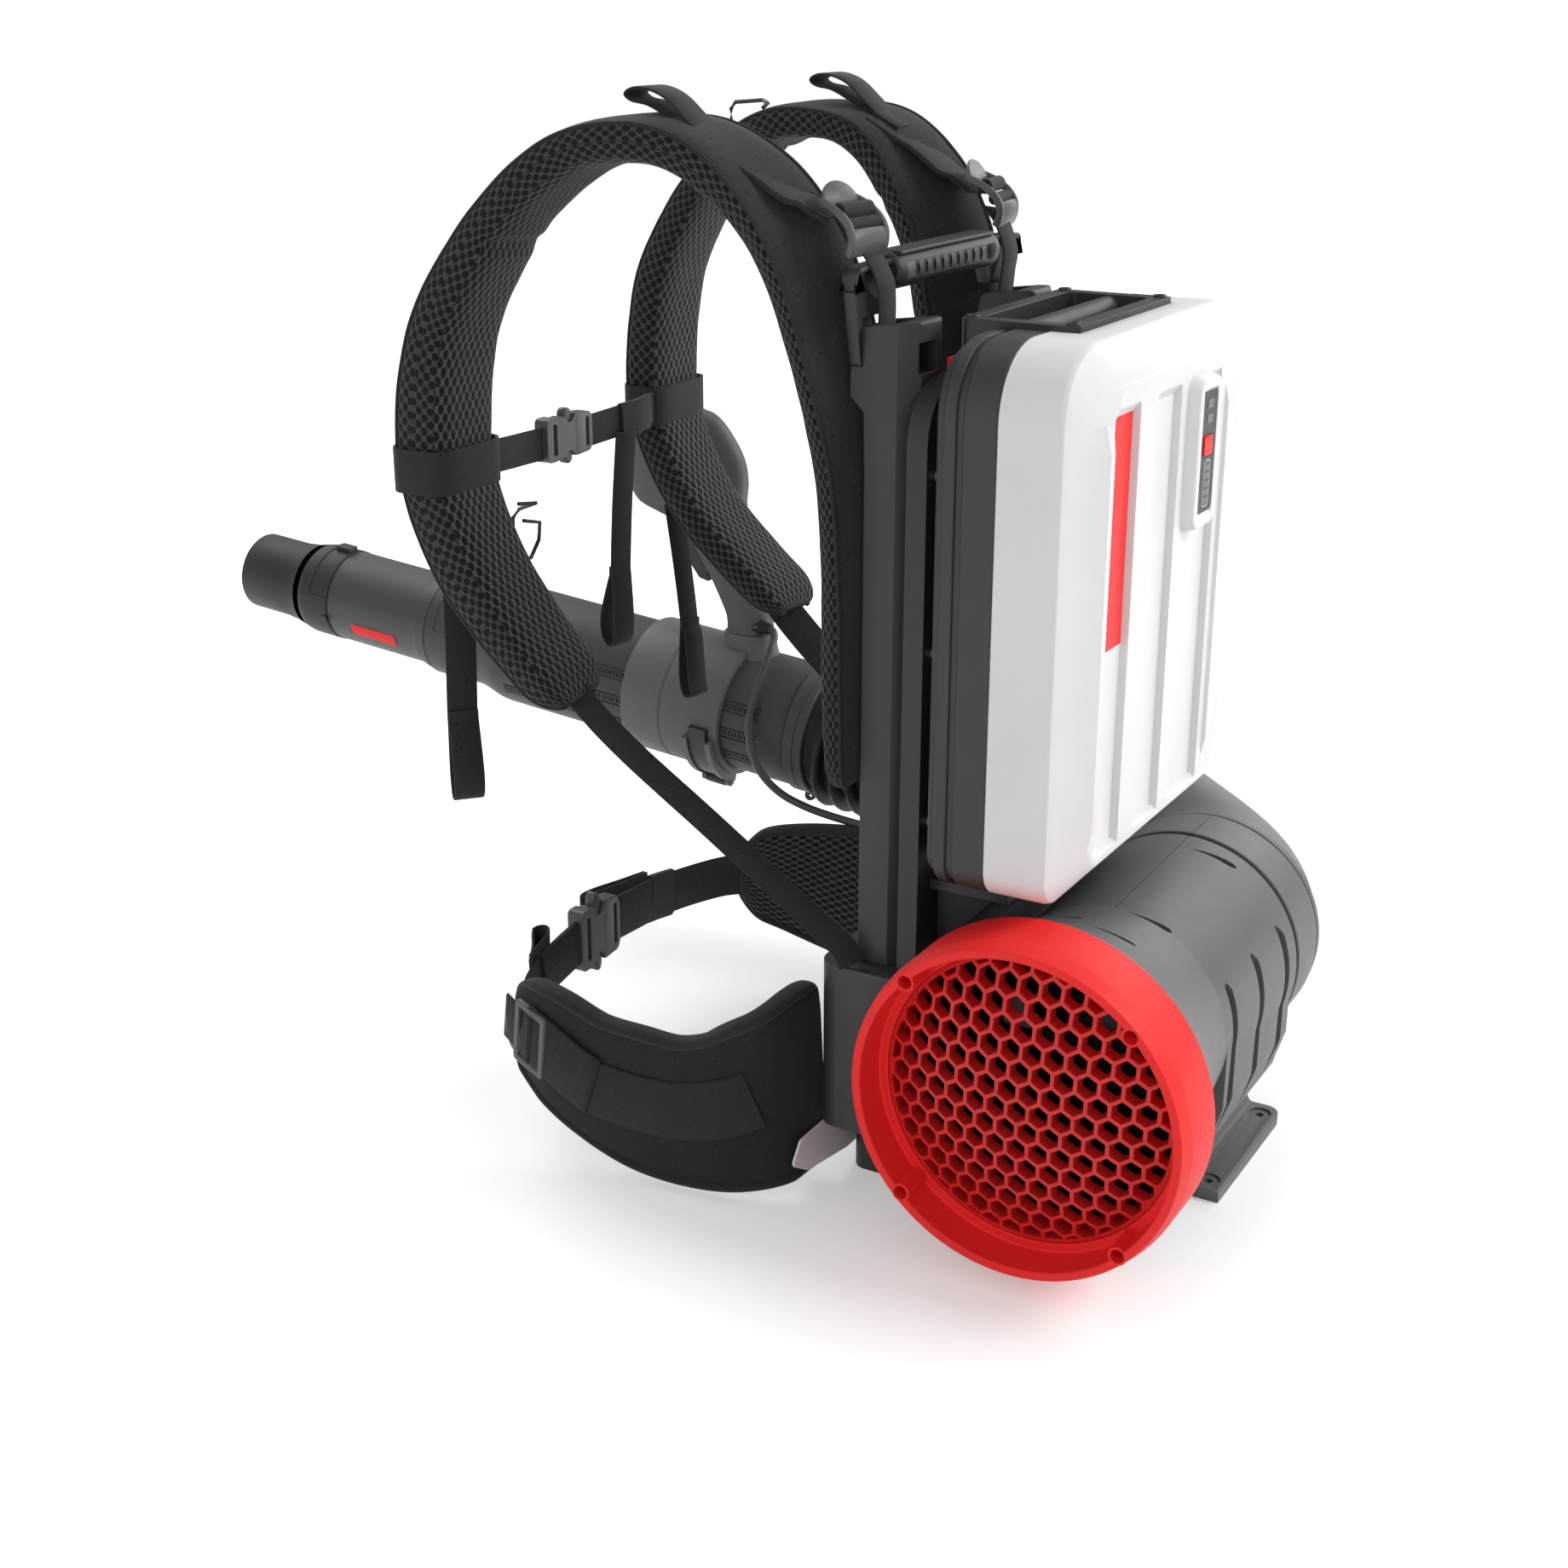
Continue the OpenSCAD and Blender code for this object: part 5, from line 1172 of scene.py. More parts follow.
def bellows():
    """Ribbed hose on a sagging curve between the elbow and the tube, with a clamp at each end."""
    end = at_tube(TUBE_REAR - 2)
    curve = [BELLOWS_START, BELLOWS_START + ELBOW_DIR * 100 - Z * 15, end - TUBE_DIR * 110 - Z * 19, end]
    sides, ribs, first, last = 96, 18, 0.06, 0.93
    rib_r, valley_r, bore_r = 61.5, 51.6, 50.2

    def ring(t, radius):
        d = (bezier(curve, min(t + 0.01, 1)) - bezier(curve, max(t - 0.01, 0))).normalized()
        return circle_ring(bezier(curve, t), X, d.cross(X), radius, sides)

    rings = [ring(0.0, 58), ring(first * 0.8, 58), ring(first, valley_r)]
    swell = ((0.06, 0.0), (0.12, 0.75), (0.2, 0.95), (0.32, 1.0), (0.44, 0.95), (0.52, 0.75), (0.58, 0.0),
             (0.8, 0.0))
    for k in range(ribs):
        for spot, share in swell:
            rings.append(ring(mix(first, last, (k + spot) / ribs), mix(valley_r, rib_r, share)))
    rings += [ring(last, valley_r), ring(0.94, valley_r + 2.2), ring(1.0, valley_r + 2.2), ring(1.0, bore_r)]
    for k in range(12, -1, -1):
        rings.append(ring(k / 12, bore_r))
    obj = tidy(loft("bellows_hose", rings, loop=True))
    shade(obj, 50)
    obj.data.materials.append(RUBBER)
    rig.slot(obj, "rubber")
    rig.blend(obj, "elbow", "tube", (BELLOWS_START + ELBOW_DIR * 12) * MM, (end - TUBE_DIR * 24) * MM)
    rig.replaces(obj, "bellows")

    clamp = lathe("bellows_rear_clamp_band", [
        (62.2, -12), (64.4, -12), (65.4, -11), (65.4, -5.4), (64.4, -4.8), (64.4, -3.2), (65.4, -2.6), (65.4, 3),
        (64.4, 4),
        (62.2, 4)], BELLOWS_START, ELBOW_DIR, 96)
    screw = rod("clamp_screw", BELLOWS_START + Vector((-10, -30, 56)), BELLOWS_START + Vector((12, -30, 56)), 2.6)
    clamp = joined("rear_clamp", [clamp, screw])
    shade(clamp, 30)
    piece(clamp, "elbow", "black_plastic", BLACK, "bellows_rear_clamp")

    band = [(54.8, -20.5), (57.6, -20.5), (58.4, -19.7), (58.4, -12.5), (57.8, -12.1), (57.8, -11.5), (58.4, -11.1),
            (58.4, -1.8), (57.6, -1), (54.8, -1)]
    cuff = tube_lathe("front_cuff", [(r, TUBE_REAR + d) for r, d in band], 128)
    lug_spot = round_tube(62, 100, TUBE_REAR - 9.5)
    side = (round_tube(62, 102, TUBE_REAR - 9.5) - lug_spot).normalized()
    lug = rod("lug", lug_spot - side * 2, lug_spot + side * 2, 5)
    stem = tube_arc("stem", 56, 61.5, TUBE_REAR - 13, TUBE_REAR - 6, 98.2, 101.8)
    hole = rod("hole", lug_spot - side * 6, lug_spot + side * 6, 2.2)
    boolean(lug, [hole])
    cuff = joined("front_clamp", [cuff, lug, stem])
    shade(cuff, 30)
    piece(cuff, "tube", "dark_plastic", TUBE, "bellows_front_clamp")


GROOVE_ANGLES = (150, 175, 200, 330)
RACK_ANGLES = GROOVE_ANGLES[:3]
RACK_RUNS = ((-76, -36), (64, 205))


def rack(angle, start, end):
    """A row of small teeth in a groove along the tube."""
    points, faces = [], []
    pitch = 3.2
    count = int((end - start) / pitch)
    for k in range(count):
        a = start + k * pitch
        base = len(points)
        for distance in (a, a + pitch * 0.5):
            for radius in (TUBE_R - 1.6, TUBE_R + 0.1):
                for shift in (-2.0, 2.0):
                    points.append(round_tube(radius, angle + math.degrees(shift / TUBE_R), distance))
        faces += [tuple(base + i for i in f) for f in
                  ((0, 1, 3, 2), (4, 6, 7, 5), (0, 4, 5, 1), (2, 3, 7, 6), (0, 2, 6, 4), (1, 5, 7, 3))]
    return tidy(new_object("rack", points, faces))


def main_tube():
    """Main tube, narrowed at its front for the extension, with double grooves and racks for the handle."""
    flare, narrow, end = 216, 251, 269
    profile = [(47, -115), (49.7, -115), (49.7, -102), (54.6, -102), (55.6, -101), (TUBE_R, -99),
               (TUBE_R, flare - 4)]
    for k in range(1, 9):
        profile.append((mix(TUBE_R, 48.5, smooth_step(k / 8)), mix(flare - 4, narrow + 2, k / 8)))
    profile += [(48.5, end - 1), (48, end), (45.6, end), (45.6, end + 38), (43.1, end + 38), (43.1, narrow),
                (52, flare), (52, -94), (47, -98)]
    body = tube_lathe("main_tube_body", profile, 160)
    grooves = []
    for angle in GROOVE_ANGLES:
        for start, stop in RACK_RUNS:
            for middle in (angle - 4.6, angle + 4.6):
                grooves.append(tube_arc(
                    "groove", TUBE_R - 1.3, TUBE_R + 2, start, stop, middle - 0.9, middle + 0.9))
    teeth_at = [(angle, *run) for angle in RACK_ANGLES for run in RACK_RUNS]
    for angle, start, stop in teeth_at:
        grooves.append(tube_arc("rack_bed", TUBE_R - 1.7, TUBE_R + 2, start, stop, angle - 2.2, angle + 2.2))
    boolean(body, grooves)
    teeth = [rack(*spot) for spot in teeth_at]
    body = joined("blower_main_tube", [body] + teeth)
    shade(body, 30)
    piece(body, "tube", "dark_plastic", TUBE, "main_tube")


def collar_profile(r, z):
    """Outer side of a bayonet collar, from its rear edge to the shadow line before its cone."""
    return [(r - 2.4, z), (r - 0.4, z), (r, z + 0.6), (r, z + 31), (r - 0.3, z + 32.5)]


def bayonet_marks(name, collar_r, z):
    """Raised key, two thin rails and a stop on a bayonet collar."""
    trims = [
        tube_arc("key", collar_r - 0.5, collar_r + 4.6, z + 2, z + 19, -99, -84),
        tube_arc("rail_long", collar_r - 0.4, collar_r + 0.8, z + 22, z + 24, -170, -96),
        tube_arc("rail_end", collar_r - 0.4, collar_r + 0.8, z + 2, z + 23, -172, -170.5),
        tube_arc("stop", collar_r - 0.3, collar_r + 1.4, z - 0.2, z + 6, 158, 166),
    ]
    return shade(bevel(joined(name, trims), 0.4, 2, 40), 40)


def front_tubes():
    """Extension tube and nozzle, each with a bayonet collar at its rear and a cone in front of that."""
    z, end, collar = 269.4, 428, 49.5
    profile = collar_profile(collar, z) + [
        (collar - 3, z + 44), (45.2, z + 50), (45, z + 50.4), (44.4, z + 51.2), (44.5, end - 0.8), (44, end),
        (41.6, end), (41.6, end + 38), (39.1, end + 38), (39.1, z + 62), (collar - 2.4, z + 44)]
    body = tube_lathe("extension_body", profile, 144)
    line = [(collar - 0.6, z + 33.4), (collar + 0.12, z + 33.7), (collar - 0.6, z + 34)]
    line = tube_lathe("extension_line", line, 144)
    marks = bayonet_marks("extension_bayonet", collar, z)
    obj = shade(joined("extension_tube_body", [shade(body, 30), line, marks]), 32)
    piece(obj, "extension", "dark_plastic", TUBE, "extension_tube")
    stripe = tube_arc("extension_stripe", 44.3, 44.75, end - 84, end - 30, 148, 164)
    piece(shade(stripe), "extension", "red_plastic", RED)

    z, end, collar, tip = 428.4, 546, 45.3, 38
    profile = collar_profile(collar, z) + [
        (collar - 2.4, z + 42), (tip + 3, z + 50), (tip + 2.2, z + 53), (tip + 0.1, end - 46), (tip, end - 0.8),
        (tip - 0.7, end), (tip - 1.8, end), (tip - 2.5, end - 0.8), (tip - 2.5, z + 60), (collar - 2.4, z + 42)]
    body = tube_lathe("nozzle_body", profile, 144)
    marks = bayonet_marks("nozzle_bayonet", collar, z)
    obj = shade(joined("nozzle_tube", [shade(body, 30), marks]), 32)
    piece(obj, "nozzle", "dark_plastic", TIP, "nozzle")


elbow()
bellows()
main_tube()
front_tubes()


# ---------------------------------------------------------------- handle

GRIP_X = 252
SLEEVE_R, SLEEVE_REAR, SLEEVE_L = 62, -38, 104
LEVER_Z, LEVER_W = SLEEVE_REAR + 9, 18
PIN_AT = 108


def sleeve():
    """Sleeve that slides on the tube, with rails, lugs and a pin for the clamp lever, and the grip's foot."""
    start, end, bore = SLEEVE_REAR, SLEEVE_REAR + SLEEVE_L, TUBE_R + 0.4
    profile = [(bore, start), (SLEEVE_R - 1.6, start), (SLEEVE_R - 0.4, start + 0.6), (SLEEVE_R, start + 2),
               (SLEEVE_R, start + 60), (SLEEVE_R - 0.7, start + 60.6), (SLEEVE_R - 0.7, start + 62.2),
               (SLEEVE_R, start + 62.8),
               (SLEEVE_R, end - 2), (SLEEVE_R - 0.4, end - 0.6), (SLEEVE_R - 1.6, end), (bore, end)]
    parts = [tube_lathe("handle_sleeve", profile, 144)]
    for z in (LEVER_Z - 6, LEVER_Z + LEVER_W + 0.4):
        parts.append(tube_arc("lug_rail", SLEEVE_R - 0.5, SLEEVE_R + 7, z, z + 5.6, 103, 166))
    for z in (LEVER_Z - 5.5, LEVER_Z + LEVER_W + 0.9):
        spot = round_tube(SLEEVE_R + 7, PIN_AT, z)
        parts.append(rod("lug", spot, spot + TUBE_DIR * 4.6, 5.4, 40))
    spot = round_tube(SLEEVE_R + 8, PIN_AT, LEVER_Z - 6.4)
    parts.append(rod("pin", spot, spot + TUBE_DIR * (LEVER_W + 12.8), 2.5))
    rings = []
    for t in range(13):
        z = mix(250, 292, t / 12)
        swell = (1 - t / 12) ** 2.2
        half_x, back, front = 17.4 + 10 * swell, 440 - 15 * swell, 487 + 34 * swell
        centre = Vector((GRIP_X, (back + front) / 2, z + (0 if t else -4)))
        rings.append([centre + X * half_x * power(c, 0.72) + Y * (front - back) / 2 * power(s, 0.72)
                      for c, s in (turned(360 * k / 56) for k in range(56))])
    parts.append(tidy(loft("grip_foot", rings)))
    obj = joined("handle_sleeve_body", [shade(p, 32) for p in parts])
    shade(obj, 32)
    piece(obj, "handle", "dark_plastic", SLEEVE, "handle_carriage")


GRIP_PAIRS = [
    (443, 292.6, 484, 292.6), (443, 305, 484, 304), (444, 318, 487, 313), (455, 345, 500, 338),
    (463, 376, 515, 362),
    (469, 404, 529, 383), (467, 426, 556, 391), (470, 446, 581, 402), (481, 465, 590, 428), (495, 480, 586, 452),
    (508, 485.6, 570, 471), (520, 485, 556, 479),
]


def grip():
    """Pistol grip over sections from back to front edge, with the trigger's slot and the switch's pocket."""
    pairs = smooth_path(GRIP_PAIRS, 5)
    rings = []
    for i, (by, bz, fy, fz) in enumerate(pairs):
        back, front = Vector((GRIP_X, by, bz)), Vector((GRIP_X, fy, fz))
        t = i / (len(pairs) - 1)
        half = 17.4 + 1.2 * math.sin(math.pi * min(1, t * 1.3)) if t < 0.9 else mix(17.4, 12, (t - 0.9) / 0.1)
        centre, reach = (back + front) / 2, (front - back) / 2
        ring = []
        for k in range(64):
            c, s = turned(360 * k / 64)
            x = half * power(c, 0.75)
            if abs(x) < 0.5:
                s *= 0.985
            ring.append(centre + X * x + reach * power(s, 0.8))
        rings.append(ring)
    body = tidy(loft("grip_shell", rings))
    slot = [(478, 322), (534, 322), (556, 380), (556, 408), (512, 408), (492, 372)]
    slot = prism("slot", slot, "x", GRIP_X - 7, GRIP_X + 7)
    pocket = block("pocket", (GRIP_X - 8.2, 511.4, low("stop_switch").z - 3.4), (GRIP_X + 8.2, 538.6, 496))
    cable = rod("outlet", (GRIP_X - 12, 470, 301), (GRIP_X - 12, 420, 301), 4.4)
    boolean(body, [slot, pocket, cable])
    shade(body, 40)
    bevel(body, 0.6, 2, 40)
    piece(body, "handle", "grey_plastic", GRIP, "left_grip_shell", "right_grip_shell")
    gland = lathe("cable_gland", [(3.6, 0), (6.4, 0), (6.8, 1), (6.2, 3), (5, 9), (3.6, 12)],
                  (GRIP_X - 12, 446, 301), -Y, 40)
    piece(shade(gland, 40), "handle", "rubber", RUBBER)


def small_moving_parts():
    for node, body, slot, look, width in (
            ("throttle_trigger", "trigger", "black_plastic", BLACK, 1.6),
            ("cruise_lever", "cruise", "black_plastic", BLACK, 0.6),
            ("stop_switch", "stop", "red_plastic", RED, 1.2),
            ("clamp_lever", "lever", "black_plastic", BLACK, 0.9),
            ("battery_latch", "latch", "red_plastic", RED, 1.2),
            ("display_button", "display_key", "red_plastic", RED, 0.5)):
        piece(cad_copy(node, width, 3), body, slot, look, node)


def latch_spring():
    """Spring that shortens between the dock and the latch."""
    spring = dressed(cad_copy("latch_spring", 0), STEEL)
    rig.slot(spring, "steel")
    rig.replaces(spring, "latch_spring")
    middle = (low("latch_spring") + high("latch_spring")) / 2
    ends = [Vector((middle.x, middle.y, z)) * MM for z in (low("latch_spring").z, high("latch_spring").z)]
    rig.blend(spring, "frame", "latch", *ends)


sleeve()
grip()
small_moving_parts()
latch_spring()


# ---------------------------------------------------------------- battery

BATTERY_W, BATTERY_LOW, BATTERY_TOP = 310, low("battery_rear_shell").z, high("battery_rear_shell").z
PLATEAU_Y = -18
PLATEAU_IN, PLATEAU_TOP_IN = 34, 28
SEAM_Y = 41
CORNER_STEPS = 12
CHANNELS = ((-111, -70.2), (-42, 2.5), (22, 79))


def battery_outline(inset):
    low_r, top_r = 22 - min(inset, 8), 48 - min(inset, 16)
    a, b = BATTERY_LOW + inset, BATTERY_TOP - inset
    x = BATTERY_W / 2 - inset
    return rounded([(-x, a, low_r), (x, a, low_r), (x, b, top_r), (-x, b, top_r)], CORNER_STEPS)


def plateau_outline(inset):
    """Plateau with cut corners, with as many points as the battery's outline."""
    x = BATTERY_W / 2 - PLATEAU_IN - inset
    a, b = BATTERY_LOW + PLATEAU_TOP_IN - 8 + inset, BATTERY_TOP - PLATEAU_TOP_IN - inset
    cuts = (((-x, a + 16), (-x + 14, a)), ((x - 14, a), (x, a + 16)),
            ((x, b - 34), (x - 24, b)), ((-x + 24, b), (-x, b - 34)))
    outline = []
    for start, end in cuts:
        for k in range(CORNER_STEPS + 1):
            t = k / CORNER_STEPS
            bulge = math.sin(math.pi * t) * 1.2
            p = Vector(start).lerp(Vector(end), t)
            away = (p - Vector((0, (a + b) / 2))).normalized() * bulge
            outline.append(p + away)
    return outline


def at_y(outline, y):
    return [Vector((p[0], y, p[1])) for p in outline]


def blended(a, b, t):
    return [Vector(p).lerp(Vector(q), t) for p, q in zip(a, b)]


def tray_room():
    """Cutter for the pocket in the battery's top that holds the tray."""
    return block("tray_room", (-81.4, 20.6, 605.6), (81.4, 130, 700))


def battery_rear():
    """White cover: a plateau with cut corners between soft flanks, two ridges and three sunk channels."""
    rim, plateau = at_y(battery_outline(3), -3), at_y(plateau_outline(0), PLATEAU_Y)
    rings = [at_y(battery_outline(4.5), SEAM_Y), at_y(battery_outline(0.6), SEAM_Y),
             at_y(battery_outline(0), SEAM_Y - 0.8)]
    for inset, y in ((0, 3), (0.25, 0.8), (0.9, -1), (1.8, -2.3)):
        rings.append(at_y(battery_outline(inset), y))
    rings.append(rim)
    for t in (0.12, 0.5, 0.86, 0.94):
        rings.append(blended(rim, plateau, t))
    soft = blended(rim, plateau, 0.985)
    rings.append([p + Y * -0.1 for p in soft])
    rings.append(at_y(plateau_outline(1.6), PLATEAU_Y - 0.15))
    rings.append(at_y(plateau_outline(12), PLATEAU_Y - 0.2))
    shell = tidy(loft("battery_rear_cover", rings))
    ridges = []
    for foot_x, left, right in ((-146, -122, -113), (88, 90, 112)):
        rings = []
        for z, rise in ((304, -1), (322, 3), (568, 3), (586, -1)):
            rings.append([Vector((foot_x, -2 if foot_x < 0 else PLATEAU_Y + 2, z)),
                          Vector((left, PLATEAU_Y - rise, z)),
                          Vector((right, PLATEAU_Y - rise, z)), Vector((right + 1.5, PLATEAU_Y + 2, z))])
        ridges.append(tidy(loft("ridge", rings)))
    cutters = []
    a, b = BATTERY_LOW + PLATEAU_TOP_IN - 3, BATTERY_TOP - PLATEAU_TOP_IN - 5
    for left, right in CHANNELS:
        deep = PLATEAU_Y + 5
        rings = []
        for z, y in ((a - 6, PLATEAU_Y - 9), (a + 3, deep), (b - 14, deep), (b + 4, PLATEAU_Y - 9)):
            y_top = min(y, PLATEAU_Y) - 6
            rings.append([Vector((left - 9, y_top, z)), Vector((left + 6, y, z)),
                          Vector((right, y, z)), Vector((right + 2.5, y_top, z))])
        cutters.append(tidy(loft("channel", rings)))
    cutters.append(tray_room())
    boolean(shell, ridges, "UNION")
    boolean(shell, cutters)
    bm = bmesh.new()
    bm.from_mesh(shell.data)
    bmesh.ops.dissolve_limit(bm, angle_limit=math.radians(0.5), verts=bm.verts, edges=bm.edges)
    bm.to_mesh(shell.data)
    bm.free()
    shade(shell, 24)
    bevel(shell, 1.3, 3, 24)
    piece(shell, "battery", "white_plastic", WHITE, "battery_rear_shell")


def battery_front():
    """Dark cover with its seam grooves and the raised tongue, and the block of cells inside."""
    insets = ((4.5, 41.2), (0.8, 41.2), (0, 42.2), (0, 63.4), (0.8, 64.4), (3, 64.8), (3, 69.4), (1.7, 69.8),
              (1, 70.6),
              (1, 77.4), (1.8, 78.4), (6.4, 78.8), (7, 79.4), (7, 84.4), (8.6, 86), (40, 86.2))
    shell = tidy(loft("battery_front_cover", [at_y(battery_outline(inset), y) for inset, y in insets]))
    rings = []
    for grow, y in ((0, 84), (0, 101.4), (-1.4, 103)):
        outline = rectangle(-103 - grow, BATTERY_LOW + 24 - grow, 103 + grow, 580 + grow, 8 + grow, 20 + grow, 6)
        rings.append(at_y(outline, y))
    boolean(shell, [tidy(loft("tongue", rings))], "UNION")
    boolean(shell, [tray_room()])
    shade(shell, 28)
    piece(shell, "battery", "dark_plastic", DARK, "battery_front_shell")
    cells = block("cells_inside", (-118, 2, BATTERY_LOW + 32), (118, 78, 594))
    piece(cells, "battery", "cells", BOARD, "cell_block")


def battery_top():
    """Tray with its carry bar, and the four screws that hold it."""
    piece(cad_copy("battery_tray", 1.2, 3), "battery", "black_plastic", BLACK, "battery_tray")
    head = [(0.4, 0.2), (2.2, 0.2), (2.6, 1.2), (4.2, 1.6), (4.6, 1.0), (4.6, -0.4), (0.4, -0.4)]
    heads = [lathe("head", head, (x, y, 638), Z, 32) for x in (-74.5, 74.5) for y in (28, 98)]
    piece(shade(joined("tray_screws", heads), 40), "battery", "steel", BLACK)


DISPLAY_BOX, WINDOW_BOX, KEY_BOX = (16.5, 491.8, 58.5, 593.8), (25.5, 502, 51, 585), (28, 541, 44, 555)
DISPLAY_PROUD = 9
SQUARE_MARKS = ((33, 563, 43, 569), (33, 573, 43, 579))
SYMBOL_BOX, SYMBOL_CAP = (33, 506.6, 43, 536.4), (36, 536.4, 40, 537.2)
SYMBOL_BAR, BAR_PITCH = (34, 507.8, 42, 512), 5.7


def grown(box, by, radius, steps=10):
    """Rounded rectangle a little larger than a box of (x0, z0, x1, z1)."""
    x0, z0, x1, z1 = box
    return rectangle(x0 - by, z0 - by, x1 + by, z1 + by, radius, radius, steps)


def display():
    """Proud frame on the plateau with a sunk window, the key's hole and plain marks."""
    front = PLATEAU_Y - DISPLAY_PROUD
    sections = ((-8.2, 1.4), (-7.4, 0.4), (-6.6, 0), (-2.4, 0), (-1, 0.5), (-0.2, 1.6), (0.2, 3),
                (2.2, DISPLAY_PROUD + 0.5), (2.4, DISPLAY_PROUD + 5.5))
    rim = tidy(loft("display_frame", [
        at_y(grown(DISPLAY_BOX, grow, 10 + grow, 8), front + back) for grow, back in sections]))
    boolean(rim, [prism("window_room", grown(WINDOW_BOX, 0, 3), "y", front - 4, front + 1.2),
                  prism("key_hole", grown(KEY_BOX, 0.3, 2.3), "y", front - 4, front + 8)])
    shade(rim, 30)
    piece(rim, "battery", "white_plastic", WHITE, "display_bezel")
    glass = prism("glass", grown(WINDOW_BOX, -0.1, 3), "y", front + 0.7, front + 1.7)
    boolean(glass, [prism("key_hole", grown(KEY_BOX, 0.6, 2.5), "y", front - 4, front + 8)])
    piece(shade(glass), "battery", "black_plastic", WINDOW)
    y0, y1 = front + 0.45, front + 0.8
    marks = [dressed(prism("mark", grown(box, 0, 1), "y", y0, y1), ICON) for box in SQUARE_MARKS]
    x0, z0, x1, z1 = SYMBOL_CAP
    for look, grow, step in ((ICON_LINE, 0.8, 0.0), (WINDOW, 0, 0.04)):
        for outer in (grown(SYMBOL_BOX, grow, 1.2 + grow, 4),
                      rectangle(x0 - grow, z0, x1 + grow, z1 + grow, 0.3, 0.3, 2)):
            marks.append(dressed(prism("outline", outer, "y", y0 - step, y1), look))
    x0, z0, x1, z1 = SYMBOL_BAR
    for k in range(5):
        bar = rectangle(x0, z0 + k * BAR_PITCH, x1, z1 + k * BAR_PITCH, 0.4, 0.4, 2)
        marks.append(dressed(prism("cell_mark", bar, "y", y0 - 0.08, y1), ICON))
    piece(joined("display_marks", marks), "battery", "white_plastic", None)


def battery_stripe():
    """Plain red stripe on the floor of the first channel."""
    stripe = rectangle(-98, 435, -70.8, 589.5, 0.4, 0.4, 2)
    obj = prism("battery_stripe_body", stripe, "y", PLATEAU_Y + 4.6, PLATEAU_Y + 6)
    piece(obj, "battery", "red_plastic", RED)


battery_rear()
battery_front()
battery_stripe()
battery_top()
display()


# ---------------------------------------------------------------- back frame

RAIL_TOP = high("left_rail").z


def back_frame():
    for node, slot, look, width in (
            ("base_housing", "dark_plastic", DARK, 2.2), ("base_feet", "black_plastic", BLACK, 1.4),
            ("left_rail", "dark_plastic", DARK, 1.6), ("right_rail", "dark_plastic", DARK, 1.6),
            ("dock_plate", "black_plastic", BLACK, 1.0), ("dock_connector", "black_plastic", BLACK, 0.4),
            ("frame_screws", "steel", STEEL, 0.4), ("hip_stiffener", "white_plastic", WHITE, 0.5)):
        piece(cad_copy(node, width, 3), "frame", slot, look, node)


def carry_handle():
    """Turned bar with a row of finger grooves and holes, between two wings that rise from the rails."""
    y, z, half = 161, high("carry_handle").z - 12.5, 75
    profile = [
        (0.5, -half - 2), (9.5, -half - 2), (11.5, -half - 0.6), (12, -half + 1), (12.5, -half + 6),
        (12.5, half - 6), (12, half - 1), (11.5, half + 0.6), (9.5, half + 2), (0.5, half + 2)]
    bar = lathe("grip_bar", profile, (0, y, z), X, 72)
    stretch = (Matrix.Translation((0, 0, z * MM)) @ Matrix.Diagonal((1, 1, 1.7, 1))
               @ Matrix.Translation((0, 0, -z * MM)))
    cutters = []
    for k in range(10):
        x = -54 + 12 * k
        rings = []
        for t in range(9):
            a = math.pi * t / 8
            middle = Vector((x, y - 14 * math.cos(a), z - 14.6 + 3.2 * (1 - math.sin(a)) - 1.5))
            rings.append(circle_ring(middle, X, Z, 3.6, 20))
        cutters.append(tidy(loft("groove", rings)))
        hole = rod("hole", (x, y - 16, z), (x, y - 11.4, z), 3.4, 28)
        hole.data.transform(stretch)
        cutters.append(hole)
    boolean(bar, cutters)
    shade(bar, 34)
    wing = rounded([(half - 8, z - 8, 0), (half - 8, z + 9, 0), (124, z + 7, 8), (124, z - 8, 12), (114, 606, 4),
                    (112, 606, 0), (112, RAIL_TOP + 1, 0), (half + 2, RAIL_TOP + 1, 4)])
    lip = rounded([(half - 8, z + 6, 0), (half - 8, z + 9, 0), (124, z + 7, 6), (124, z - 8, 8),
                   (120.6, z - 8, 6), (120.6, z + 3.6, 5)])
    trims = []
    for side in (1, -1):
        for obj in (prism("wing", wing, "y", y - 3, y + 5), prism("lip", lip, "y", y - 6, y + 6)):
            trims.append(mirrored(obj) if side < 0 else obj)
    trims.append(prism("flange", rectangle(-half + 4, z + 10.6, half - 4, z + 12.9, 0.5, 0.8), "y", y - 9, y + 9))
    obj = joined("carry_handle_body", [bar] + [shade(bevel(trim, 1.2, 3, 40), 40) for trim in trims])
    shade(obj, 34)
    piece(obj, "frame", "black_plastic", BLACK, "carry_handle")


back_frame()
carry_handle()


# ---------------------------------------------------------------- shoulder pads

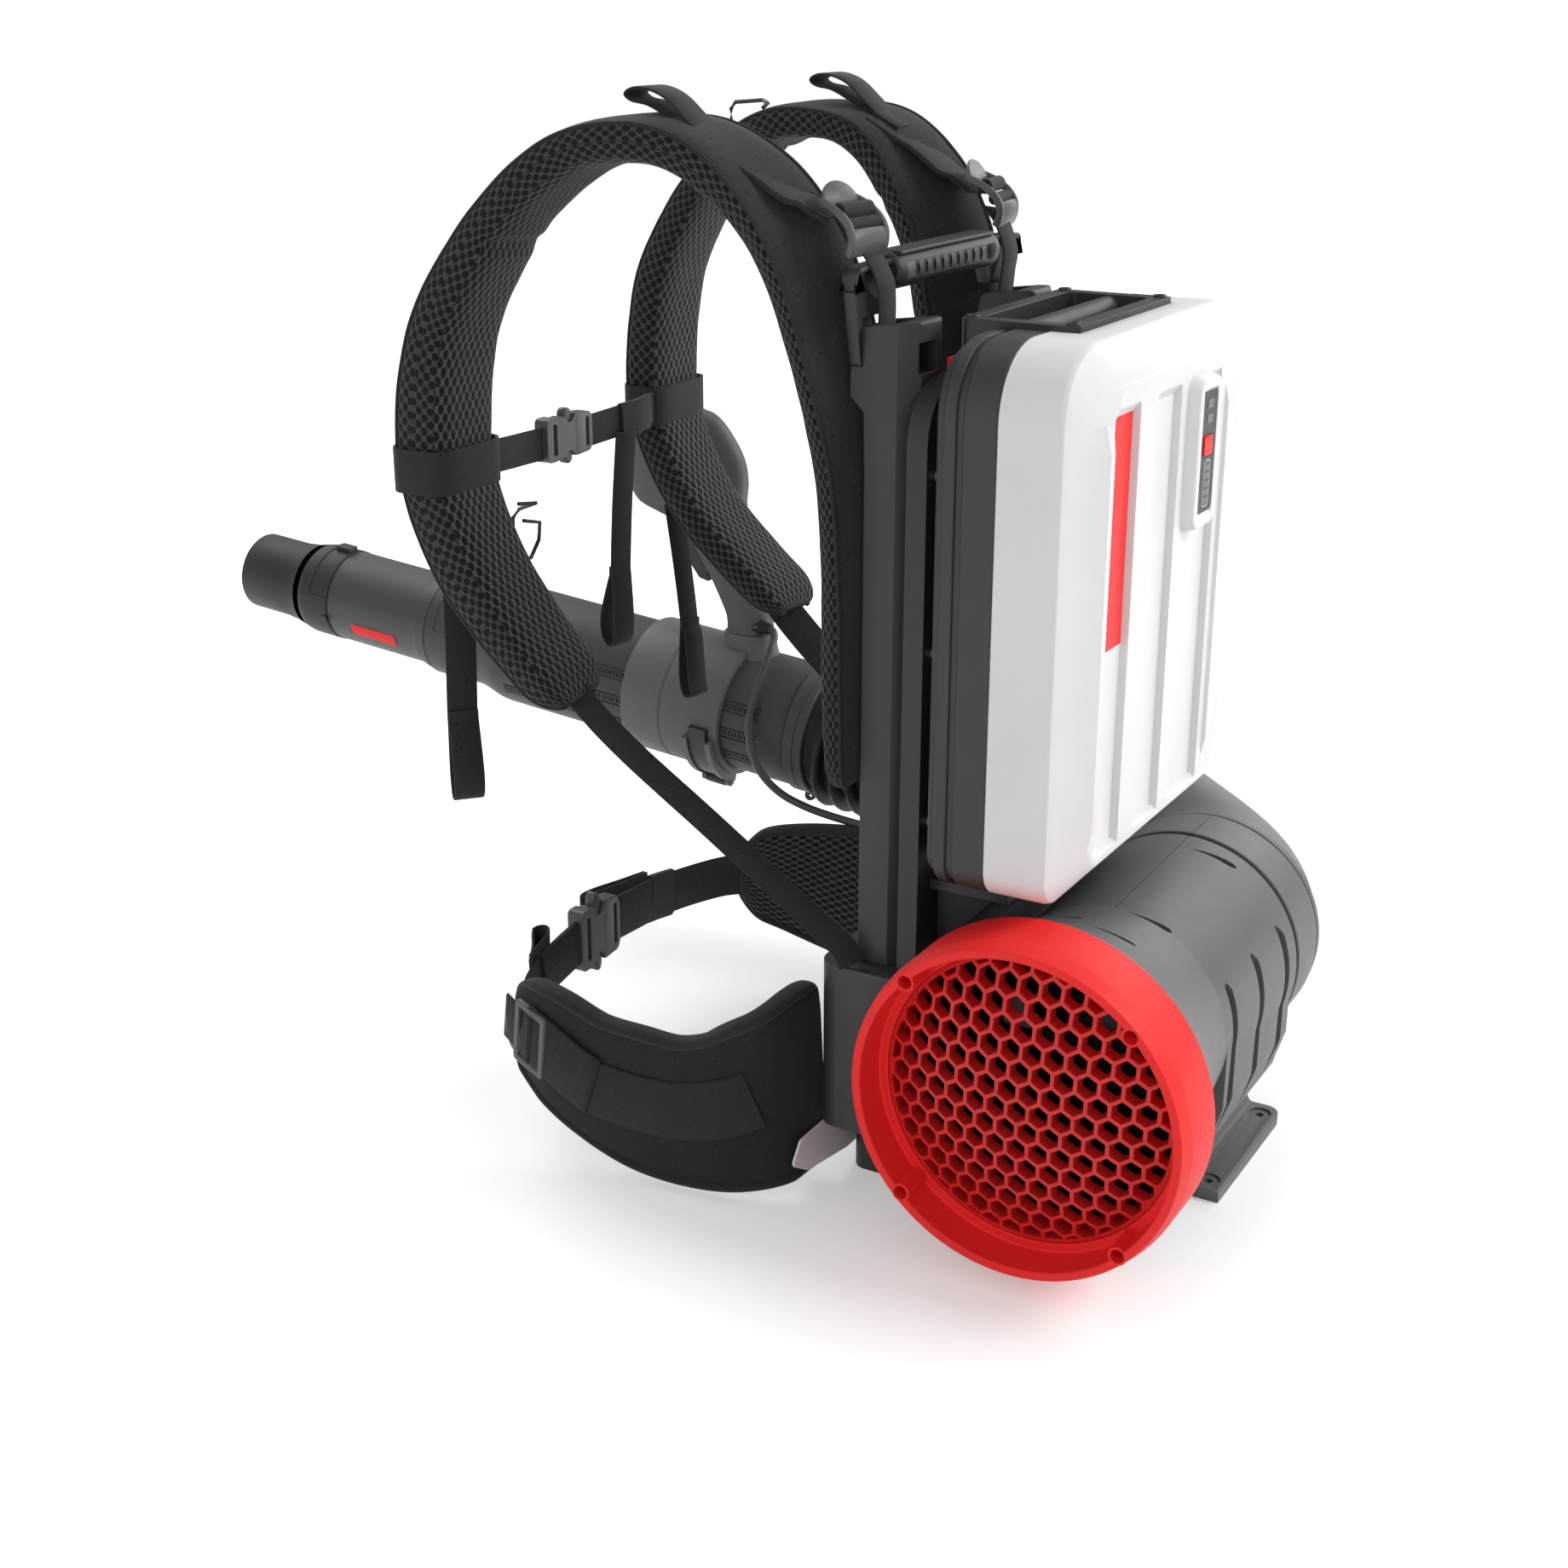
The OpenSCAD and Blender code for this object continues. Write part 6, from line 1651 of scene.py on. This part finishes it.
PAD_HALF = 36
LEFT_PAD = [
    (95, 169, 314, 16, 0), (95, 167.5, 345, 18, 4), (95, 167, 400, 20, 8), (95, 166, 460, 20, 12),
    (97, 168, 525, 19, 15), (99, 174.5, 569.5, 19, 18), (103, 183.5, 612.5, 19, 20),
    (109, 198.5, 663.5, 21, 20), (115, 223.5, 706, 25, 16), (121, 261, 735, 29, 8), (125, 300, 745, 30, 2),
    (128, 347.5, 739.5, 30, 0), (132, 384.5, 720, 31, 0), (136, 417, 691, 30, 0), (140, 443, 655, 35, 0),
    (143, 462.5, 620.5, 39, 0), (146, 472, 584, 43, 0), (147, 476.5, 544.5, 45, 0), (147, 475.5, 511, 45, 0),
    (147, 461.5, 468.5, 44, 0), (146, 440, 430.5, 41, 0), (145, 410, 395, 33, 0), (145, 383, 370, 28, 0),
    (144, 367, 356, 15, 0),
]
RIGHT_PAD = [
    (95, 169, 314, 16, -10), (95, 170, 345, 22, -20), (95, 170.5, 400, 24, -26), (95, 171, 460, 25, -30),
    (97, 174.5, 525, 25, -32), (99, 180, 570, 22, -32), (103, 192, 612.5, 26, -32), (109, 207.5, 663, 27, -30),
    (115, 232, 703, 30, -24), (121, 264.5, 732.5, 29, -12), (125, 300, 743.5, 25, -4), (128, 347.5, 741, 27, 0),
    (132, 389, 722, 26, 0), (136, 423, 693, 24, 0), (140, 450, 657, 28, 0), (143, 469, 622, 31, 0),
    (146, 479, 585, 33, 0), (147, 483, 545, 34, 0), (147, 481, 510, 34, 0), (147, 464, 466, 32, 0),
    (146, 437, 427, 29, 0), (145, 400, 393, 27, 0), (145, 370, 369, 25, 0), (144, 353, 356, 15, 0),
]
PAD_SIDES = 72
PIPING_ANGLES = (214, 326)


def finished_pad(name, parts):
    """One pad of its parts, made for the right side, on the frame and in the place of its CAD node."""
    obj = joined(name + "_cloth", parts)
    if name.startswith("left"):
        mirrored(obj)
    obj.data.shade_smooth()
    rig.ride(obj, "frame")
    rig.slot(obj, "pad_fabric")
    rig.replaces(obj, name)
    return obj


def shoulder_pad(name, route, seed, folds):
    """Long quilted pad along a route of (x, y, z, thickness, twist), with piping and folds: twill outside,
    a net of big holes round the sides and a fine net towards the wearer."""
    path = smooth_path(route, 10)
    run = distances(path)
    rings, piping = [], [[], []]
    for i, point in enumerate(path):
        d = heading(path, i)
        inward = d.cross(X).normalized()
        across = inward.cross(d).normalized()
        c, s = turned(point[4])
        across, inward = across * c + inward * s, inward * c - across * s
        tip = end_round(min(run[i], run[-1] - run[i]), 26)
        half = PAD_HALF * mix(0.5, 1, tip)
        thick = point[3] / 2 * mix(0.35, 1, tip)
        ring = []
        for k in range(PAD_SIDES):
            c, s = turned(360 * k / PAD_SIDES)
            p = place(point) + across * half * power(c, 0.55) + inward * thick * power(s, 0.55)
            if s > 0:
                for spot, width, deep in folds:
                    near = (run[i] - spot) / width
                    crease = math.exp(-near * near) - 0.35 * math.exp(-((abs(near) - 1.9) ** 2))
                    p = p - inward * deep * s * crease
            ripple = noise(Vector((run[i] * 0.045 + seed, k * 0.16, seed)))
            swell = noise(Vector((run[i] * 0.012, k * 0.05 + seed, 3.1)))
            out = (p - place(point)).normalized()
            ring.append(p + out * (0.55 * ripple + 0.7 * swell))
        rings.append(ring)
        for line, angle in zip(piping, PIPING_ANGLES):
            p = ring[round(angle / 360 * PAD_SIDES)]
            line.append(p + (p - place(point)).normalized() * 0.5)
    body = loft("pad", rings)
    for look in (COVER, SIDE_MESH, INNER_MESH):
        body.data.materials.append(look)
    skin = (len(path) - 1) * PAD_SIDES
    for index, face in enumerate(body.data.polygons):
        angle = (index % PAD_SIDES + 0.5) * 360 / PAD_SIDES
        if index < skin and PIPING_ANGLES[0] < angle < PIPING_ANGLES[1]:
            face.material_index = 0
        elif index < skin and 36 < angle < 144:
            face.material_index = 2
        else:
            face.material_index = 1
    seams = [dressed(tube("piping", line, 1.5, 10), BINDING) for line in piping]
    obj = finished_pad(name, [body] + seams)
    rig.padded(obj, fill=0.85)


shoulder_pad("left_shoulder_pad", LEFT_PAD, 2.3, ((430, 5, 4.5), (640, 6, 3.0)))
shoulder_pad("right_shoulder_pad", RIGHT_PAD, 7.9, ((400, 5, 4.0), (560, 6, 3.0)))


# ---------------------------------------------------------------- webbing and buckles

WEB_W, WEB_T = 23, 2
STERNUM_Y, STERNUM_Z = 470, 518


def set_in(obj, origin, along, out):
    """Takes a mesh made about the origin, Y along and Z out, to its place."""
    along, out = Vector(along).normalized(), Vector(out).normalized()
    turn = Matrix((along.cross(out), along, out)).transposed().to_4x4()
    obj.data.transform(Matrix.Translation(Vector(origin) * MM) @ turn)
    return obj


def both_sides(obj):
    """The piece and its mirror image."""
    twin = obj.copy()
    twin.data = obj.data.copy()
    bpy.context.scene.collection.objects.link(twin)
    return [obj, mirrored(twin)]


def web(name, points, steps, width, thick=WEB_T, across=Z):
    """Webbing on a smooth curve through a few points."""
    return strap(name, smooth_path(points, steps), width, thick, across)


def finish_webs(name, node, parts):
    obj = joined(name, [p if any(p.data.materials) else dressed(p, WEB) for p in parts])
    piece(shade(obj, 50), "frame", "webbing", WEB, node)


def sleeve_band(y, half):
    """Wide flat band sewn round a pad, which carries the sternum strap."""
    centre = Vector((147, y, STERNUM_Z - 2))
    section = ((1.2, -15.4), (2.9, -16), (3.1, -15), (3.1, 15), (2.9, 16), (1.2, 15.4))
    rings = []
    for k in range(96):
        c, s = turned(360 * k / 96)
        rings.append([centre + X * (PAD_HALF + grow) * power(c, 0.5) + Y * (half + grow) * power(s, 0.5) + Z * z
                      for grow, z in section])
    return tidy(loft("band", rings, loop=True))


def folded_tail(top, bottom, turn, behind, width=21, fold=60, open_by=15):
    """Hanging webbing end, folded back and sewn into a long loop. Turn is its twist from facing forward."""
    c, s = turned(turn)
    across, out = Vector((c, -s, 0)), Vector((-s, -c, 0)) * (-1 if behind else 1)
    top, bottom = Vector(top), Vector(bottom)
    sewn = bottom + Z * fold
    path = [top, top.lerp(sewn, 0.5) + out * 1.5, sewn + Z * 8, sewn - Z * 2 - out * 0.3,
            mix(sewn, bottom, 0.5) - out * 2.2,
            bottom + Z * 14 - out * 2, bottom + Z * 3 + out * 1, bottom + out * 5.5, bottom + Z * 3 + out * 11,
            bottom + Z * 12 + out * open_by, mix(sewn, bottom, 0.55) + out * (open_by - 1),
            sewn - Z * 8 + out * 5.5,
            sewn + out * 2.4, sewn + Z * 7 + out * 2.2]
    return web("tail", path, 5, width, across=across)


def release_buckle(socket, plug, x0, split, x1, y, z, height, thick):
    """Side-release buckle along X: a socket with two scalloped windows, and a plug whose prongs show there."""
    half = height / 2
    window_x, window_z = split - 6.5, half + 0.5
    ends = range(0, 360, 12)
    body = prism("body", rounded([
        (x0, -half * 0.98, 4), (x0 + 13, -half * 0.98, 5), (x0 + 15, -half * 0.86, 4), (split, -half, 2),
        (split, half, 2), (x0 + 15, half * 0.86, 4), (x0 + 13, half * 0.98, 5), (x0, half * 0.98, 4)], 4),
        "y", -thick / 2, thick / 2)
    cutters, prongs = [], []
    for side in (-1, 1):
        window = oval(window_x, side * window_z, 6.2, height * 0.2, ends)
        cutters.append(prism("window", window, "y", -thick, thick))
    cutters.append(block("slit", (x0 + 7.5, -thick, -half * 0.7), (x0 + 12.5, thick, half * 0.7)))
    boolean(body, cutters)
    bevel(shade(body, 30), 1.9, 4, 40)
    for side in (-1, 1):
        prong = oval(window_x, side * (window_z - 1.6), 4.9, height * 0.165, ends)
        prongs.append(bevel(shade(prism("prong", prong, "y", -thick * 0.33, thick * 0.33), 30), 1.4, 3, 40))
    end = prism("end", rounded([
        (split + 0.5, -half * 0.97, 2), (x1 - 3, -half * 0.9, 5), (x1, -half * 0.62, 4),
        (x1, half * 0.62, 4), (x1 - 3, half * 0.9, 5), (split + 0.5, half * 0.97, 2)], 4),
        "y", -thick * 0.46, thick * 0.46)
    boolean(end, [block("slit", (x1 - 8.5, -thick, -half * 0.66), (x1 - 4.5, thick, half * 0.66))])
    bevel(shade(end, 30), 1.7, 4, 40)
    end = joined(plug + "_front", [dressed(p, BUCKLE) for p in (end, *prongs)])
    for obj, node in ((dressed(body, BUCKLE), socket), (end, plug)):
        obj.name = node + "_body"
        obj.data.transform(Matrix.Translation((0, y * MM, z * MM)))
        piece(shade(obj, 32), "frame", "black_plastic", BUCKLE, node)


def sternum():
    """Chest strap: a band round each pad, webbing and buckle, and on the right a keeper and a tail."""
    left = [mirrored(sleeve_band(476, 23)),
            web("strap", [(-114, 462, 516), (-92, 463, 515), (-70, 465, 514), (-38, 466, 513)], 6, WEB_W + 2)]
    finish_webs("left_sternum_webbing", "left_sternum_strap", left)
    right = [sleeve_band(482, 17.4),
             web("keeper", [(98, 466, 515.5), (88, 464, 515), (76, 463, 514.5), (56, 464.6, 514)], 4, WEB_W + 5,
                 6.5),
             web("strap", [(112, 469.5, 516), (82, 466.5, 515), (50, 465.5, 514), (4, 466, 513)], 6, WEB_W + 2),
             folded_tail((54, 458, 506), (47, 461.5, 332), 15, True)]
    finish_webs("right_sternum_webbing", "right_sternum_strap", right)
    release_buckle("sternum_buckle_socket", "sternum_buckle_plug", -47, -11, 12, STERNUM_Y - 4, STERNUM_Z - 3, 34,
                   12)


def ladder_lock(width):
    """Curved ladder lock about the origin: side plates, a tab, an end plate, and a bar under webbing."""
    half, plate = width / 2, 3.4
    outer = smooth_path([(-20, 2.4), (-8, 5.8), (4, 6.2), (13, 2.8), (18.8, -4.4), (21, -12)], 4)
    inner = smooth_path([(15.6, -12.6), (13.4, -5), (8, -0.6), (2, 1), (-8, 0.8), (-20, -2)], 4)
    parts = [bevel(prism("side", outer + inner, "x", a, a + plate), 0.9, 3, 40) for a in (-half, half - plate)]
    lip = smooth_path([(10.6, 3.2), (14.6, 1), (18.8, -4.4), (21, -12)], 3)
    back = smooth_path([(18.6, -12.4), (16.4, -5.4), (12.6, -0.6), (9.4, 1.2)], 3)
    parts.append(bevel(prism("end", lip + back, "x", -half + 1, half - 1), 0.8, 2, 40))
    tab = oval(0, -18, half - 2.5, -12.5, range(0, 181, 10)) + [(-half + 2.5, -14), (half - 2.5, -14)]
    tab = bevel(prism("tab", tab, "z", 0.4, 2.8), 0.8, 3, 40)
    lean = (Matrix.Translation((0, -0.018, 0)) @ Matrix.Rotation(math.radians(-24), 4, "X")
            @ Matrix.Translation((0, 0.018, 0)))
    applied(tab).data.transform(lean)
    parts.append(tab)
    parts.append(rod("bar", (-half + 1, -16.5, 0.4), (half - 1, -16.5, 0.4), 2.2))
    parts = [dressed(shade(p, 35), BUCKLE) for p in parts]
    for y, z, radius in ((-5.5, 3.4, 5.2), (5, 1.2, 4.2)):
        parts.append(dressed(rod("roll", (-half + plate + 0.4, y, z), (half - plate - 0.4, y, z), radius), WEB))
    return parts


LIFTER_TILT = 38
FLAP_ROUTE = [
    (119, 270, 746, 37), (118, 250, 735.5, 38), (116, 229, 725.5, 38), (113, 209, 712.5, 37),
    (110.5, 199, 708.5, 31), (108.5, 191, 702.5, 21), (107, 185, 698, 14),
]
LOOP_ROUTE = [
    (122, 250, 740.6), (122, 263, 746.4), (122, 277, 758.4), (122, 291, 770), (122, 304, 775.4),
    (122, 316, 776), (122, 323, 772.4), (122, 318, 768.4), (122, 305, 766), (122, 290, 759), (122, 272, 749.5),
    (122, 250, 738.4),
]
LIFTER_ROUTE = [
    (104, 170, 688), (100.5, 160, 679), (96.5, 151, 661), (93, 150.5, 645), (91, 151.5, 620), (91, 149, 603),
]
LOWER_ROUTE = [
    (144, 374, 362), (143, 354, 342), (140, 322, 316), (136, 266, 277), (131, 210, 236), (128, 175, 210),
    (126, 160, 199), (126, 153, 187),
]


def bordered_flap(route):
    """Stiff flap with a round bound edge all the way along."""
    path = smooth_path(route, 6)
    edges = [[], []]
    for i, point in enumerate(path):
        d = heading(path, i)
        side = X - d * d.x
        for n, sign in enumerate((-1, 1)):
            edges[n].append(tuple(place(point) + side * sign * point[3] / 2))
    parts = [dressed(strap("flap", path, 30, 2.6, X), COVER)]
    return parts + [dressed(tube("edge", line, 2.1, 12), BINDING) for line in edges]


def straps():
    """Load lifters with flaps, loops and ladder locks, lower straps with tails, and the wire hooks."""
    parts = []
    loop = web("loop", LOOP_ROUTE, 5, 28, across=X)
    sewn = web("sewn", [(122, 270, 750), (122, 260, 745.2), (122, 249, 739.8)], 4, 29, 4.4, X)
    lifter = web("lifter", LIFTER_ROUTE, 6, WEB_W, across=X)
    for obj in (*bordered_flap(FLAP_ROUTE), loop, sewn, lifter):
        parts += both_sides(obj)
    finish_webs("load_lifter_straps", "load_lifter_webbing", parts)
    finish_webs("lower_straps", "lower_strap_webbing", [
        web("lower", LOWER_ROUTE, 6, WEB_W + 4, across=(0.56, -0.52, 0.61)),
        mirrored(web("lower", LOWER_ROUTE, 6, WEB_W - 4, across=(-0.56, -0.47, 0.67))),
        folded_tail((151, 478, 428), (149, 463, 262), 12, False, open_by=9),
        folded_tail((-151, 469, 436), (-160, 464, 268), 41, False, width=23)])
    locks = []
    c, s = turned(LIFTER_TILT)
    lean = Matrix.Rotation(math.radians(8), 3, "Z")
    for obj in ladder_lock(40):
        set_in(applied(obj), (104, 168, 698), lean @ Vector((0, -c, -s)), lean @ Vector((0, -s, c)))
        locks += both_sides(obj)
    piece(shade(joined("lifter_ladder_locks", locks), 35), "frame", "black_plastic", BUCKLE, "lifter_buckles")
    piece(cad_copy("wire_hooks", 0), "frame", "steel", WIRE, "wire_hooks")


sternum()
straps()


# ---------------------------------------------------------------- hip belt

LEFT_HIP = [
    (104, 192, 91, 74), (132, 193, 88, 75), (158, 203, 81, 69), (174, 228, 71, 62), (181, 262, 66, 58),
    (183, 300, 68, 57),
    (182, 340, 75, 52), (178, 378, 89, 48), (170, 406, 97, 40), (163, 422, 101, 29),
]
RIGHT_HIP = [
    (104, 192, 94, 62), (132, 193, 94, 64), (158, 203, 94, 64), (174, 228, 93, 64), (181, 262, 92, 64),
    (183, 300, 92, 62),
    (182, 340, 94, 57), (178, 378, 96, 49), (170, 406, 97, 40), (163, 422, 98, 26),
]
HIP_T = 17
HIP_SIDES = 80


def hip_pad(name, route, seed):
    """Padded wing of the hip belt along a route of (x, y, z, half height), with bound and rolled edges."""
    path = smooth_path(route, 10)
    run = distances(path)
    rings, edges = [], [[], []]
    for i, point in enumerate(path):
        d = heading(path, i)
        out = d.cross(Z).normalized()
        up = out.cross(d).normalized()
        tip = end_round(min(run[i], run[-1] - run[i]), 22)
        half, thick = point[3] * mix(0.72, 1, tip), HIP_T / 2 * mix(0.45, 1, tip)
        ring = []
        for k in range(HIP_SIDES):
            c, s = turned(360 * k / HIP_SIDES)
            p = place(point) + up * half * power(c, 0.5) + out * thick * power(s, 0.5)
            ripple = noise(Vector((run[i] * 0.04 + seed, k * 0.12, seed)))
            swell = noise(Vector((run[i] * 0.012, k * 0.05 + seed, 1.7)))
            ring.append(p + (out if s > 0 else -out) * (0.5 * ripple + 0.7 * swell) * abs(s))
        rings.append(ring)
        for n, k in enumerate((0, HIP_SIDES // 2)):
            edges[n].append(ring[k])
    body = loft("hip", rings)
    for look in (HIP_COVER, INNER_MESH):
        body.data.materials.append(look)
    for index in range((len(path) - 1) * HIP_SIDES):
        angle = (index % HIP_SIDES + 0.5) * 360 / HIP_SIDES
        body.data.polygons[index].material_index = 1 if 196 < angle < 344 else 0
    bands = [tube("binding", line, 1.0, 14) for line in edges]
    for line, sign in zip(edges, (1, -1)):
        rings = []
        for i, p in enumerate(line):
            d = heading(path, i)
            out = d.cross(Z).normalized()
            up = out.cross(d).normalized() * sign
            taper = mix(0.45, 1, min(1, min(run[i], run[-1] - run[i]) / 22))
            rings.append([p + up * (4.4 * c - 2.6) + out * 8.6 * power(s, 0.7) * taper
                          for c, s in (turned(360 * k / 16) for k in range(16))])
        bands.append(loft("rolled_edge", rings))
    obj = finished_pad(name, [body] + [dressed(band, BINDING) for band in bands])
    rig.padded(obj, fill=0.7)


HIP_LEFT = [(-164, 414, 97), (-150, 426, 95), (-132, 437, 95), (-104, 447, 96), (-74, 451, 100), (-40, 452, 105)]
HIP_RIGHT = [(0, 452, 105), (46, 454, 102), (84, 453, 98), (120, 446, 96), (150, 430, 97), (166, 412, 97)]
WAIST_Y, WAIST_Z = 452, 105
HIP_WEB = 38


def hip_panel(start, stop, width, proud, drop):
    """Webbing sewn to the left pad's outside between two points of its route, given as shares of it."""
    path = smooth_path(LEFT_HIP, 10)
    line = []
    last = len(path) - 1
    for k in range(25):
        i = min(last, round(mix(start, stop, k / 24) * last))
        out = heading(path, i).cross(Z).normalized()
        line.append(tuple(place(path[i]) + out * (HIP_T / 2 + proud) + Z * mix(drop[0], drop[1], k / 24)))
    return mirrored(strap("panel", line, width, 2.4, Z))


def hip_lock():
    """Flat ladder lock at the left pad's front end, with a half-round tab and webbing in its windows."""
    half = 27
    plate = prism("plate", rounded([(-half, -21, 3), (half, -21, 3), (half, 17, 4), (-half, 17, 4)], 4), "z", -2.6,
                  2.6)
    boolean(plate, [block("window", (-half + 6, y, -9), (half - 6, y + 10, 9)) for y in (-15.5, 1)])
    parts = [bevel(shade(plate, 30), 1.3, 3, 40)]
    tab = prism("tab", oval(0, 15, half - 5, 15, range(0, 181, 10)), "z", -1.4, 1.4)
    parts.append(bevel(shade(tab, 30), 0.8, 3, 40))
    parts = [dressed(p, BUCKLE) for p in parts]
    parts.append(dressed(rod("roll", (-half + 7, -2.4, 0), (half - 7, -2.4, 0), 4.6), WEB))
    parts.append(dressed(rod("roll", (-half + 7, 13.5, -1.5), (half - 7, 13.5, -1.5), 3.6), WEB))
    along = Vector((0.33, 0.93, 0.14)).normalized()
    out = along.cross(Z).normalized() * -1
    return [set_in(applied(p), (-184, 397.5, 93), along, out) for p in parts]


def hip_belt():
    """Two padded wings, the webbing with its folds on either side of the buckle, and the buckle."""
    hip_pad("left_hip_pad", LEFT_HIP, 4.4)
    hip_pad("right_hip_pad", RIGHT_HIP, 9.2)
    left_fold = [(-116, 445, 100), (-102, 453, 103), (-88, 463, 106), (-81, 465.5, 107), (-76, 462, 108),
                 (-77, 456, 108), (-88, 451.5, 105), (-110, 448, 101)]
    left = [web("belt", HIP_LEFT, 6, HIP_WEB),
            web("doubled", [(-98, 447.4, 96.6), (-74, 449, 100), (-44, 450.6, 104.4)], 6, HIP_WEB + 1, 5.5),
            web("fold", left_fold, 6, HIP_WEB + 5),
            hip_panel(0.27, 0.66, 46, 1.4, (10, -2)), hip_panel(0.64, 0.84, 50, 3.6, (0, 5)),
            hip_panel(0.80, 0.99, 40, 3.0, (1, 0))]
    finish_webs("left_hip_belt", "left_hip_webbing", left + hip_lock())
    right_fold = [(64, 456, 105), (34, 457.5, 107), (8, 460, 109), (-10, 463, 110), (-16, 466, 110),
                  (-11, 469, 110),
                  (6, 468.5, 109), (36, 463, 107), (64, 459, 105)]
    keeper = web("keeper", [(66, 455.4, 100.4), (80, 454.8, 98.6), (97, 452, 97)], 4, HIP_WEB + 5, 8.5)
    right = [web("belt", HIP_RIGHT, 6, HIP_WEB), web("fold", right_fold, 6, HIP_WEB + 5), dressed(keeper, KEEPER),
             web("doubled", [(12, 450.6, 105), (40, 451.6, 102.6), (64, 452.6, 100.5)], 4, HIP_WEB + 1, 4.6)]
    finish_webs("right_hip_belt", "right_hip_webbing", right)
    release_buckle("hip_buckle_socket", "hip_buckle_plug", -46, -14, 9, WAIST_Y, WAIST_Z, 54, 14)


hip_belt()


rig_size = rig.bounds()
json.dump({"cad": [list(p) for p in cad_box], "visual": [list(p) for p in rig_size]}, open("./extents.json", "w"))
